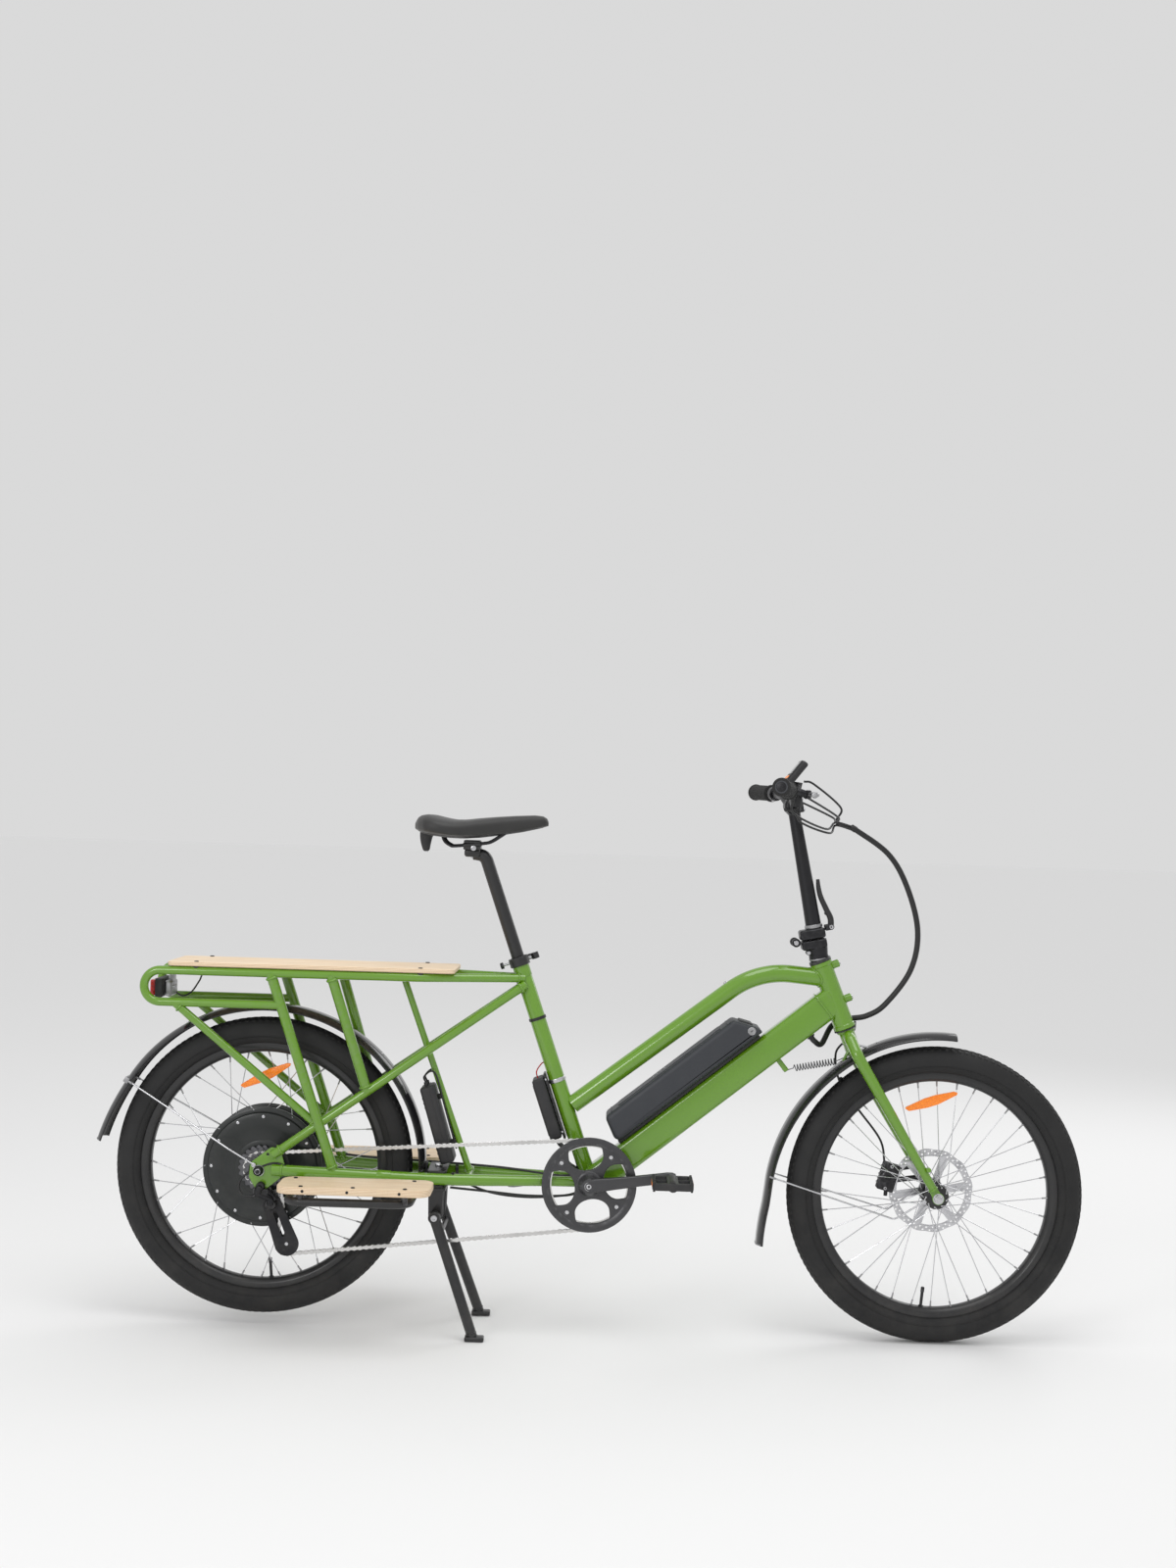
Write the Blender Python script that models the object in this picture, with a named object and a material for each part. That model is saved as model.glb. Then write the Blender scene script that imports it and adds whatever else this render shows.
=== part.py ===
"""Electric longtail cargo bike, as separate solids at rest on its centre stand.

Metres. X points forward, Y to the rider's left and Z up. The origin lies on the ground, below the middle of
the bike. The drive side is the right, at -Y. Each moving piece hangs from an empty on its joint's axis.
"""

import math

import bmesh
import bpy
from mathutils import Matrix, Vector

# Wheels and stance
WHEELBASE = 1.4186
TYRE_RADIUS = 0.3125
TYRE_WIDTH = 0.060
TYRE_HEIGHT = 0.053
RIM_DEPTH = 0.0205
RIM_OUTER_RADIUS = TYRE_RADIUS - TYRE_HEIGHT
RIM_INNER_RADIUS = RIM_OUTER_RADIUS - RIM_DEPTH
RIM_WIDTH = 0.034
REAR_LIFT = 0.020
WHEEL_SEGMENTS = 32
SPOKES = 36
SPOKE_RADIUS = 0.0011
SPOKE_SPREAD = 0.0035
GAP = 0.0003
RUNNING_GAP = 0.0005

# Bottom bracket and seat tube
BRACKET_CLEARANCE = 0.3755
CHAINSTAY_REACH = TYRE_RADIUS + BRACKET_CLEARANCE
BRACKET_DROP = 0.0125
BRACKET_SHELL_RADIUS = 0.0215
BRACKET_SHELL_WIDTH = 0.073
SEAT_ANGLE = 70.5
SEAT_TUBE_LENGTH = 0.484
SEAT_TUBE_RADIUS = 0.0170
SEATPOST_RADIUS = 0.0136
SEATPOST_INSERTION = 0.220
SEATPOST_BORE_DEPTH = 0.345
SEATPOST_SHOWN = 0.235

# Head tube, fork and stem
HEAD_ANGLE = 68.0
HEAD_TUBE_LENGTH = 0.150
HEAD_TUBE_RADIUS = 0.0220
CUP_HEIGHT = 0.004
STEERER_RADIUS = 0.0143
CROWN_CLEARANCE = 0.078
FORK_LENGTH = TYRE_RADIUS + CROWN_CLEARANCE
FORK_RAKE = 0.055
FORK_LEG_RADIUS = 0.0128
FORK_TIP_RADIUS = 0.0090
FRONT_HUB_WIDTH = 0.100
STEM_ANGLE = 78.6
STEM_LENGTH = 0.326
STEM_BASE_HEIGHT = 0.040
STEM_POST_RADIUS = 0.0165
STEM_TOP_RADIUS = 0.0125
STEM_BLOCK_DEPTH = 0.054
STEM_BLOCK_WIDTH = 0.046

# Frame tubes
TOP_TUBE_RADIUS = 0.0190
TOP_TUBE_SEAT_HEIGHT = 0.158
TOP_TUBE_DROP = 0.037
TOP_TUBE_FLAT = 0.146
TOP_TUBE_FLAT_RISE = 5.0
TOP_TUBE_BEND = 0.210
DOWN_TUBE_HEIGHT = 0.062
DOWN_TUBE_WIDTH = 0.056
DOWN_TUBE_DROP = 0.084
DOWN_TUBE_CHAMFER = 0.010
BOSS_RADIUS = 0.0085
BOSS_REACH = 0.036
CHAINSTAY_RADIUS = 0.0122
CHAINSTAY_FRONT_RADIUS = 0.0108
STAY_RADIUS = 0.0095
STRUT_REAR_RADIUS = 0.0085
STRUT_RADIUS = 0.0108
DROPOUT_SPACING = 0.135
DROPOUT_THICKNESS = 0.006
REAR_AXLE_RADIUS = 0.0060

# Rack, boards and mudguards
RACK_CLEARANCE = 0.099
RACK_HEIGHT = TYRE_RADIUS + RACK_CLEARANCE
RACK_HALF_WIDTH = 0.078
RAIL_RADIUS = 0.0090
RAIL_LOOP_RADIUS = 0.033
RACK_REAR_REACH = 0.216
CROSS_TUBE_RADIUS = 0.0080
CENTRE_STRUT_RADIUS = 0.0070
DECK_LENGTH = 0.597
DECK_WIDTH = 0.172
DECK_THICKNESS = 0.009
DECK_CLEARANCE = 0.001
DECK_OVERHANG = 0.015
FOOTBOARD_LENGTH = 0.308
FOOTBOARD_WIDTH = 0.120
FOOTBOARD_THICKNESS = 0.014
FOOTBOARD_OUTER = 0.238
FOOTBOARD_CLEARANCE = 0.0595
FOOTBOARD_TUBE_RADIUS = 0.0085
MUDGUARD_CLEARANCE = 0.030
MUDGUARD_RADIUS = TYRE_RADIUS + MUDGUARD_CLEARANCE
MUDGUARD_HALF_WIDTH = 0.0345
MUDGUARD_DEPTH = 0.011
MUDGUARD_SHEET = 0.002
MUDGUARD_STEPS = 12
MUDGUARD_TAIL_FLARE = 0.0145
MUDGUARD_TAIL_RADIUS = MUDGUARD_RADIUS + MUDGUARD_TAIL_FLARE
MUDGUARD_TAIL_ANGLE = 172.3
STAY_WIRE_RADIUS = 0.0019

# Drive
CHAIN_PITCH = 0.0127
CHAINRING_TEETH = 46
COG_TEETH = 16
PULLEY_TEETH = 11
CHAIN_LINE = 0.050
CHAIN_HALF_HEIGHT = 0.0040
CHAIN_INNER_HALF = 0.0014
CHAIN_OUTER_HALF = 0.0030
COG_HALF_THICKNESS = 0.0009
GUARD_RADIUS = 0.0995
CRANK_LENGTH = 0.1725
CRANK_ANGLE = 8.0
CRANK_INNER = 0.066
CRANK_THICKNESS = 0.014
SPINDLE_RADIUS = 0.0085
PEDAL_LENGTH = 0.084
PEDAL_WIDTH = 0.095
PEDAL_HEIGHT = 0.022
MOTOR_RADIUS = 0.1255
MOTOR_HALF_WIDTH = 0.036
FRONT_ROTOR_RADIUS = 0.090
REAR_ROTOR_RADIUS = 0.080
ROTOR_THICKNESS = 0.002
FRONT_ROTOR_Y = 0.039
REAR_ROTOR_Y = 0.0525
FRONT_FLANGE = (0.0260, 0.0310)
REAR_FLANGE = (0.1200, 0.0270)
REFLECTOR_HALF_LENGTH = 0.058
REFLECTOR_HALF_HEIGHT = 0.0095

# Battery and boxes
BATTERY_LENGTH = 0.386
BATTERY_HEIGHT = 0.058
BATTERY_WIDTH = 0.085
BATTERY_REAR = 0.101
BATTERY_RAIL_HEIGHT = 0.008
CONTROLLER_LENGTH = 0.133
CONTROLLER_DEPTH = 0.034
CONTROLLER_WIDTH = 0.064
CONVERTER_LENGTH = 0.168
CONVERTER_DEPTH = 0.031
CONVERTER_WIDTH = 0.060

# Handlebar and controls
BAR_RADIUS = 0.0111
BAR_HALF_WIDTH = 0.320
BAR_RISE = 0.032
BAR_SWEEP = 0.055
GRIP_LENGTH = 0.130
GRIP_RADIUS = 0.0170
PERCH_CLEARANCE = 0.022
PERCH_SPOT = BAR_HALF_WIDTH - GRIP_LENGTH - PERCH_CLEARANCE
LEVER_REACH = 0.052
LEVER_LENGTH = 0.115

# Saddle
SADDLE_LENGTH = 0.279
SADDLE_HALF_WIDTH = 0.088
SADDLE_RAIL_RADIUS = 0.0035
SADDLE_RAIL_SPACING = 0.022

# Centre stand
STAND_CLEARANCE = 0.0561
STAND_PIVOT_FORWARD = TYRE_RADIUS + STAND_CLEARANCE
STAND_PIVOT_DROP = 0.0856
STAND_PIVOT_HEIGHT = TYRE_RADIUS + REAR_LIFT - STAND_PIVOT_DROP
STAND_AXLE_RADIUS = 0.0090
STAND_LEG_RADIUS = 0.0095
STAND_TOP_SPREAD = 0.077
STAND_FOOT_SPREAD = 0.104
STAND_FOOT_FORWARD = 0.088

# Cable loom and stabiliser spring
LOOM_RADIUS = 0.006
SPRING_COILS = 14
SPRING_COIL_RADIUS = 0.0068
SPRING_WIRE_RADIUS = 0.0011
SPRING_POINTS_PER_COIL = 8

# Points that the sizes above set
FRONT_X = (WHEELBASE + MUDGUARD_TAIL_RADIUS * -math.cos(math.radians(MUDGUARD_TAIL_ANGLE)) - TYRE_RADIUS) / 2
FRONT_AXLE = Vector((FRONT_X, 0, TYRE_RADIUS))
REAR_AXLE = Vector((FRONT_X - WHEELBASE, 0, TYRE_RADIUS + REAR_LIFT))
BRACKET = REAR_AXLE + Vector((CHAINSTAY_REACH, 0, -BRACKET_DROP))
SEAT_LINE = Vector((-math.cos(math.radians(SEAT_ANGLE)), 0, math.sin(math.radians(SEAT_ANGLE))))
SEAT_BACK = Vector((-SEAT_LINE.z, 0, SEAT_LINE.x))
STEER_LINE = Vector((-math.cos(math.radians(HEAD_ANGLE)), 0, math.sin(math.radians(HEAD_ANGLE))))
STEER_FORWARD = Vector((STEER_LINE.z, 0, -STEER_LINE.x))
STEM_LINE = Vector((-math.cos(math.radians(STEM_ANGLE)), 0, math.sin(math.radians(STEM_ANGLE))))
STEM_FORWARD = Vector((STEM_LINE.z, 0, -STEM_LINE.x))
CROWN = FRONT_AXLE - FORK_RAKE * STEER_FORWARD + FORK_LENGTH * STEER_LINE
HEAD_TOP = CROWN + (CUP_HEIGHT + HEAD_TUBE_LENGTH) * STEER_LINE
STEM_FOOT = HEAD_TOP + (2.5 * CUP_HEIGHT) * STEER_LINE
BAR_CENTRE = STEM_FOOT + STEM_LENGTH * STEM_LINE
DOWN_TUBE_TOP = HEAD_TOP - DOWN_TUBE_DROP * STEER_LINE
DOWN_TUBE_FOOT = BRACKET + Vector((0, 0, -0.008))
DOWN_LINE = (DOWN_TUBE_TOP - DOWN_TUBE_FOOT).normalized()
DOWN_UP = Vector((-DOWN_LINE.z, 0, DOWN_LINE.x))
RAIL_Z = REAR_AXLE.z + RACK_HEIGHT
LOOP_X = REAR_AXLE.x - RACK_REAR_REACH
LOOP_Z = RAIL_Z - RAIL_LOOP_RADIUS
DROPOUT_INNER = DROPOUT_SPACING / 2
DROPOUT_OUTER = DROPOUT_INNER + DROPOUT_THICKNESS
STAY_TOP = BRACKET + 0.437 * SEAT_LINE
STAND_PIVOT = Vector((REAR_AXLE.x + STAND_PIVOT_FORWARD, 0, STAND_PIVOT_HEIGHT))
CHAINRING_RADIUS = CHAIN_PITCH / 2 / math.sin(math.pi / CHAINRING_TEETH)
COG_RADIUS = CHAIN_PITCH / 2 / math.sin(math.pi / COG_TEETH)
PULLEY_RADIUS = CHAIN_PITCH / 2 / math.sin(math.pi / PULLEY_TEETH)
GUIDE_PULLEY = REAR_AXLE + Vector((0.026, 0, -0.0705))
TENSION_PULLEY = REAR_AXLE + Vector((0.060, 0, -0.1545))
PEDAL_CRANK = Vector((math.cos(math.radians(CRANK_ANGLE)), 0, math.sin(math.radians(CRANK_ANGLE))))
CRANK_OUTER = CRANK_INNER + CRANK_THICKNESS
PEDAL_INNER = CRANK_OUTER + 0.010
FOLD_PIN = STEM_FOOT + STEM_BASE_HEIGHT * STEM_LINE - 0.044 * STEM_FORWARD
LATCH_PIN = STEM_FOOT + (STEM_BASE_HEIGHT + 0.020) * STEM_LINE + 0.036 * STEM_FORWARD
SADDLE_CLAMP = BRACKET + (SEAT_TUBE_LENGTH + SEATPOST_SHOWN) * SEAT_LINE + Vector((-0.0288, 0, 0.020))
SEAT_LEVER_PIN = BRACKET + (SEAT_TUBE_LENGTH + 0.003) * SEAT_LINE - 0.034 * SEAT_BACK + Vector((0, 0.0275, 0))
FORK_TAB = CROWN - 0.058 * STEER_LINE - 0.026 * STEER_FORWARD
SPRING_ANCHOR = DOWN_TUBE_FOOT + 0.478 * DOWN_LINE - (DOWN_TUBE_HEIGHT / 2 + 0.026) * DOWN_UP

FINISHES = {
    "green_paint": ((0.10, 0.25, 0.02), 0.25, 0.0),
    "black_paint": ((0.012, 0.012, 0.013), 0.40, 0.0),
    "black_plastic": ((0.018, 0.018, 0.019), 0.55, 0.0),
    "rubber": ((0.010, 0.010, 0.010), 0.80, 0.0),
    "vinyl": ((0.020, 0.020, 0.020), 0.60, 0.0),
    "steel": ((0.45, 0.45, 0.46), 0.35, 1.0),
    "plywood": ((0.68, 0.52, 0.36), 0.60, 0.0),
    "orange_lens": ((0.90, 0.26, 0.02), 0.25, 0.0),
    "red_lens": ((0.55, 0.01, 0.02), 0.20, 0.0),
    "dark_metal": ((0.030, 0.030, 0.032), 0.40, 0.8),
}

# Each moving body's parent and the point that its joint turns about or slides from
BODIES = {
    "frame": (None, Vector((0, 0, 0))),
    "battery_pack": ("frame", DOWN_TUBE_FOOT + BATTERY_REAR * DOWN_LINE),
    "seat_assembly": ("frame", BRACKET + SEAT_TUBE_LENGTH * SEAT_LINE),
    "seat_lever": ("frame", SEAT_LEVER_PIN),
    "steering": ("frame", CROWN),
    "folding_stem": ("steering", FOLD_PIN),
    "latch": ("folding_stem", LATCH_PIN),
    "right_brake_lever": ("folding_stem", None),
    "left_brake_lever": ("folding_stem", None),
    "gear_lever": ("folding_stem", None),
    "front_wheel": ("steering", FRONT_AXLE),
    "rear_wheel": ("frame", REAR_AXLE),
    "sprockets": ("frame", REAR_AXLE),
    "cranks": ("frame", BRACKET),
    "right_pedal": ("cranks", BRACKET + CRANK_LENGTH * PEDAL_CRANK),
    "left_pedal": ("cranks", BRACKET - CRANK_LENGTH * PEDAL_CRANK),
    "cage": ("frame", GUIDE_PULLEY),
    "stand": ("frame", STAND_PIVOT),
}


def across(point, y):
    """The same point of the side view, moved sideways to y."""
    return Vector((point.x, y, point.z))


def down_tube_point(along, up, y=0.0):
    return across(DOWN_TUBE_FOOT + along * DOWN_LINE + up * DOWN_UP, y)


def rounded(points, radius, steps=3):
    """The path with each inner corner turned into an arc of this radius, or less where the legs are short."""
    path = [points[0]]
    for before, corner, after in zip(points, points[1:], points[2:]):
        a = (before - corner).normalized()
        b = (after - corner).normalized()
        half = (math.pi - a.angle(b)) / 2
        room = 0.49 * min((before - corner).length, (after - corner).length)
        reach = min(radius * math.tan(half), room)
        actual = reach / math.tan(half)
        centre = corner + (a + b).normalized() * actual / math.cos(half)
        first = corner + reach * a - centre
        turn = Matrix.Rotation(1.0, 3, first.cross(corner + reach * b - centre).normalized())
        axis = turn.to_quaternion().axis
        for i in range(steps + 1):
            path.append(centre + Matrix.Rotation(2 * half * i / steps, 3, axis) @ first)
    path.append(points[-1])
    return path


def closed_shape(shape):
    bmesh.ops.remove_doubles(shape, verts=shape.verts, dist=1e-6)
    bmesh.ops.recalc_face_normals(shape, faces=shape.faces)
    if shape.calc_volume(signed=True) < 0:
        bmesh.ops.reverse_faces(shape, faces=shape.faces)
    return shape


def skinned(rings):
    """A closed solid over rings of points, with flat ends."""
    shape = bmesh.new()
    rows = [[shape.verts.new(point) for point in ring] for ring in rings]
    count = len(rows[0])
    for row, following in zip(rows, rows[1:]):
        for i in range(count):
            j = (i + 1) % count
            shape.faces.new((row[i], row[j], following[j], following[i]))
    shape.faces.new(rows[0])
    shape.faces.new(rows[-1])
    return closed_shape(shape)


def swept(path, sections, up=Vector((0, 1, 0))):
    """Sections, each a list of (across, up) offsets, carried along a path with mitred corners."""
    headings = [(b - a).normalized() for a, b in zip(path, path[1:])]
    rings = []
    side = None
    for i, point in enumerate(path):
        before = headings[max(i - 1, 0)]
        after = headings[min(i, len(headings) - 1)]
        along = (before + after).normalized()
        if side is None:
            side = up - up.dot(along) * along
            if side.length < 1e-3:
                side = Vector((1, 0, 0)) - along.x * along
        side = (side - side.dot(along) * along).normalized()
        other = along.cross(side)
        bend = before.cross(after)
        stretch = 1 / max(math.sqrt((1 + before.dot(after)) / 2), 0.3)
        inward = bend.normalized().cross(along) if bend.length > 1e-6 else None
        ring = []
        for u, v in sections[i]:
            offset = u * side + v * other
            if inward is not None:
                offset += (stretch - 1) * offset.dot(inward) * inward
            ring.append(point + offset)
        rings.append(ring)
    return skinned(rings)


def tube(path, radius, sides=8):
    """A round tube along a path, of one radius or of one for each point."""
    radii = radius if isinstance(radius, (list, tuple)) else [radius] * len(path)
    turn = 2 * math.pi / sides
    sections = [[(r * math.cos(turn * k), r * math.sin(turn * k)) for k in range(sides)] for r in radii]
    return swept(path, sections)


def crossbar(centre, y0, y1, radius, sides=10):
    """A round bar along Y between y0 and y1."""
    return tube([across(centre, y0), across(centre, y1)], radius, sides)


def box(centre, size, pitch=0.0):
    """A block of size (x, y, z), its front raised by pitch degrees."""
    shape = bmesh.new()
    bmesh.ops.create_cube(shape, size=1.0)
    bmesh.ops.scale(shape, vec=size, verts=shape.verts)
    bmesh.ops.rotate(shape, matrix=Matrix.Rotation(-math.radians(pitch), 3, "Y"), verts=shape.verts)
    bmesh.ops.translate(shape, vec=centre, verts=shape.verts)
    return shape


def plate(outline, y0, y1):
    """A flat outline of the side view, given as points, made solid between y0 and y1."""
    return skinned([[across(point, y0) for point in outline], [across(point, y1) for point in outline]])


def softened(shape, width):
    """The shape with each sharp edge cut back by this width."""
    sharp = [edge for edge in shape.edges if edge.calc_face_angle(0) > 0.6]
    bmesh.ops.bevel(shape, geom=sharp, offset=width, segments=1, affect="EDGES", clamp_overlap=True)
    return closed_shape(shape)


def turned(profile, base, axis, segments):
    """A ring: a closed outline of (radius, distance along the axis) points, spun about the axis."""
    shape = bmesh.new()
    down = Vector((0, 0, -1)) if abs(axis.z) < 0.5 else Vector((0, 1, 0))
    outward = (down - down.dot(axis) * axis).normalized()
    corners = [shape.verts.new(base + r * outward + d * axis) for r, d in profile]
    edges = [shape.edges.new((a, b)) for a, b in zip(corners, corners[1:] + corners[:1])]
    bmesh.ops.spin(
        shape,
        geom=corners + edges,
        cent=base,
        axis=axis,
        angle=2 * math.pi,
        steps=segments,
        use_merge=True,
        use_duplicate=False,
    )
    return closed_shape(shape)


def temporary(shape):
    mesh = bpy.data.meshes.new("shape")
    shape.to_mesh(mesh)
    holder = bpy.data.objects.new("shape", mesh)
    bpy.context.scene.collection.objects.link(holder)
    return holder


def welded(shape, add=(), cut=()):
    """The shape with others joined to it, and then others cut from it."""
    base = temporary(shape)
    tools = []
    for operation, others in (("UNION", add), ("DIFFERENCE", cut)):
        for other in others:
            tool = temporary(other)
            tools.append(tool)
            modifier = base.modifiers.new("join", "BOOLEAN")
            modifier.operation = operation
            modifier.solver = "EXACT"
            modifier.object = tool
    graph = bpy.context.evaluated_depsgraph_get()
    result = bmesh.new()
    result.from_mesh(base.evaluated_get(graph).to_mesh())
    for holder in [base] + tools:
        mesh = holder.data
        bpy.data.objects.remove(holder)
        bpy.data.meshes.remove(mesh)
    bmesh.ops.remove_doubles(result, verts=result.verts, dist=1e-6)
    return result


def material(finish):
    found = bpy.data.materials.get(finish)
    if found:
        return found
    colour, roughness, metallic = FINISHES[finish]
    made = bpy.data.materials.new(finish)
    made.use_nodes = True
    surface = made.node_tree.nodes["Principled BSDF"]
    surface.inputs["Base Color"].default_value = (*colour, 1.0)
    surface.inputs["Roughness"].default_value = roughness
    surface.inputs["Metallic"].default_value = metallic
    made.diffuse_color = (*colour, 1.0)
    return made


def add_bodies():
    """One empty for each body, on its joint's axis."""
    for name, (parent, pivot) in BODIES.items():
        holder = bpy.data.objects.new(name + "_axis", None)
        holder.empty_display_size = 0.05
        bpy.context.scene.collection.objects.link(holder)
        holder.location = pivot
        if parent:
            holder.parent = bpy.data.objects[parent + "_axis"]
            holder.location = pivot - BODIES[parent][1]


def node(name, shape, finish, body="frame"):
    """The shape as a named object of a body, with its origin on the body's axis."""
    bmesh.ops.translate(shape, vec=-BODIES[body][1], verts=shape.verts)
    mesh = bpy.data.meshes.new(name)
    shape.to_mesh(mesh)
    shape.free()
    mesh.materials.append(material(finish))
    mesh.shade_smooth()
    mesh.set_sharp_from_angle(angle=math.radians(35))
    made = bpy.data.objects.new(name, mesh)
    bpy.context.scene.collection.objects.link(made)
    made.parent = bpy.data.objects[body + "_axis"]
    return made


def top_tube_path():
    seat_end = BRACKET + TOP_TUBE_SEAT_HEIGHT * SEAT_LINE
    head_end = HEAD_TOP - TOP_TUBE_DROP * STEER_LINE
    rise = math.radians(TOP_TUBE_FLAT_RISE)
    corner = head_end + TOP_TUBE_FLAT * Vector((-math.cos(rise), 0, math.sin(rise)))
    return rounded([seat_end, corner, head_end], TOP_TUBE_BEND, 5)


def seat_tube(extra=0.0):
    return tube([BRACKET, BRACKET + SEAT_TUBE_LENGTH * SEAT_LINE], SEAT_TUBE_RADIUS + extra, 14)


def bracket_shell(extra=0.0):
    half = BRACKET_SHELL_WIDTH / 2
    return crossbar(BRACKET, -half, half, BRACKET_SHELL_RADIUS + extra, 16)


def flat_bar(start, end, width, end_width, height, chamfer=0.0):
    """A box section, with cut corners where chamfer is given, from start to end."""
    def section(full):
        w, h, c = full / 2, height / 2, chamfer
        if not c:
            return [(w, -h), (w, h), (-w, h), (-w, -h)]
        upper = [(w, h - c), (w - c, h), (c - w, h), (-w, h - c)]
        return upper + [(x, -z) for x, z in reversed(upper)]
    return swept([start, end], [section(width), section(end_width)])


def make_main_frame():
    head_base = CROWN + CUP_HEIGHT * STEER_LINE
    head = tube([head_base, HEAD_TOP], HEAD_TUBE_RADIUS, 16)
    top = tube(top_tube_path(), TOP_TUBE_RADIUS, 12)
    down = flat_bar(
        DOWN_TUBE_FOOT,
        DOWN_TUBE_TOP,
        DOWN_TUBE_WIDTH,
        HEAD_TUBE_RADIUS * 1.96,
        DOWN_TUBE_HEIGHT,
        DOWN_TUBE_CHAMFER,
    )
    bosses = []
    for up in (0.0625, 0.1390):
        foot = CROWN + up * STEER_LINE
        bosses.append(tube([foot, foot + BOSS_REACH * STEER_FORWARD], BOSS_RADIUS))
    tab_top = down_tube_point(0.478, -DOWN_TUBE_HEIGHT / 2 + 0.004)
    tab = flat_bar(tab_top, SPRING_ANCHOR, 0.004, 0.004, 0.014)
    steerer_bore = tube(
        [head_base - 0.01 * STEER_LINE, HEAD_TOP + 0.01 * STEER_LINE], STEERER_RADIUS + RUNNING_GAP, 14
    )
    post_top = BRACKET + SEAT_TUBE_LENGTH * SEAT_LINE
    post_bore = tube(
        [post_top - SEATPOST_BORE_DEPTH * SEAT_LINE, post_top + 0.01 * SEAT_LINE], SEATPOST_RADIUS + GAP, 14
    )
    half = BRACKET_SHELL_WIDTH / 2
    spindle_bore = crossbar(BRACKET, -half - 0.01, half + 0.01, SPINDLE_RADIUS + RUNNING_GAP, 12)
    frame = welded(
        down,
        add=[head, top, seat_tube(), bracket_shell(), *bosses, tab],
        cut=[steerer_bore, post_bore, spindle_bore],
    )
    node("main_frame", frame, "green_paint")


def chainstay_path(side):
    places = (
        (0.028, 0.0762, 0.0025),
        (TYRE_RADIUS + 0.0175, 0.0640, -0.0080),
        (TYRE_RADIUS + 0.1535, 0.0500, -0.0105),
        (CHAINSTAY_REACH - 0.090, 0.0320, -BRACKET_DROP + 0.001),
        (CHAINSTAY_REACH, 0.0250, -BRACKET_DROP),
    )
    return [REAR_AXLE + Vector((x, side * y, z)) for x, y, z in places]


def chainstay_tube(side, extra=0.0):
    rear, front = CHAINSTAY_RADIUS + extra, CHAINSTAY_FRONT_RADIUS + extra
    return tube(chainstay_path(side), [rear, rear, rear, front, front])


def dropout(side, extra=0.0):
    """The plate that holds the rear axle, grown by extra all round when it serves as a cutter."""
    corners = [(-0.020, -0.014), (-0.006, -0.038), (0.014, -0.040), (0.046, -0.014)]
    corners += [(0.054, 0.012), (0.044, 0.044), (0.026, 0.050), (-0.018, 0.016)]
    middle = Vector((0.016, 0, 0.004))
    outline = []
    for x, z in corners:
        arm = Vector((x, 0, z)) - middle
        outline.append(REAR_AXLE + middle + arm * (1 + 2 * extra / arm.length))
    return plate(outline, side * (DROPOUT_INNER - extra), side * (DROPOUT_OUTER + extra))


def make_chainstays():
    for side, name in ((-1, "chainstay_right"), (1, "chainstay_left")):
        hole = crossbar(REAR_AXLE, side * 0.05, side * 0.10, REAR_AXLE_RADIUS + GAP, 12)
        stay = welded(chainstay_tube(side), add=[dropout(side)], cut=[bracket_shell(GAP), hole])
        node(name, stay, "green_paint")


def stay_point(side, forward):
    """The point of the long stay at this distance ahead of the rear axle."""
    low = REAR_AXLE + Vector((0.028, side * 0.0775, 0.033))
    high = across(STAY_TOP, side * 0.0185)
    share = (REAR_AXLE.x + forward - low.x) / (high.x - low.x)
    return low + share * (high - low)


def strut_lines(side):
    """Foot and head of the rear, middle and front struts of the rack."""
    rail = Vector((REAR_AXLE.x, side * RACK_HALF_WIDTH, RAIL_Z))
    loop = Vector((REAR_AXLE.x, side * RACK_HALF_WIDTH, LOOP_Z - RAIL_LOOP_RADIUS))
    middle_foot = REAR_AXLE + Vector((0.156, side * 0.0712, 0.001))
    return {
        "rear": (stay_point(side, 0.118), loop + Vector((-0.186, 0, 0))),
        "middle": (middle_foot, rail + Vector((0.0132, 0, 0))),
        "front": (stay_point(side, 0.218), rail + Vector((0.139, 0, 0))),
    }


def rail_path(side):
    y = side * RACK_HALF_WIDTH
    path = [Vector((REAR_AXLE.x + 0.036, y, LOOP_Z - RAIL_LOOP_RADIUS))]
    for i in range(7):
        angle = math.pi * i / 6
        back, up = -math.sin(angle), -math.cos(angle)
        path.append(Vector((LOOP_X + RAIL_LOOP_RADIUS * back, y, LOOP_Z + RAIL_LOOP_RADIUS * up)))
    seat = BRACKET + (RAIL_Z - BRACKET.z) / SEAT_LINE.z * SEAT_LINE
    turn_in = Vector((REAR_AXLE.x + TYRE_RADIUS + 0.0175, y, RAIL_Z))
    front = [Vector((LOOP_X, y, RAIL_Z)), turn_in, across(seat, side * 0.012)]
    return path + rounded(front, 0.12, 2)[1:]


def rail(side, extra=0.0):
    return tube(rail_path(side), RAIL_RADIUS + extra)


def make_side_frames():
    for side, name in ((-1, "side_frame_right"), (1, "side_frame_left")):
        lines = strut_lines(side)
        struts = [
            tube(list(lines["rear"]), STRUT_REAR_RADIUS),
            tube(list(lines["middle"]), STRUT_RADIUS),
            tube(list(lines["front"]), STRUT_RADIUS),
        ]
        frame = welded(
            tube([stay_point(side, 0.028), across(STAY_TOP, side * 0.0185)], STAY_RADIUS),
            add=struts,
            cut=[seat_tube(GAP), chainstay_tube(side, GAP), dropout(side, GAP), rail(side, GAP)],
        )
        node(name, frame, "green_paint")


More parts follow.
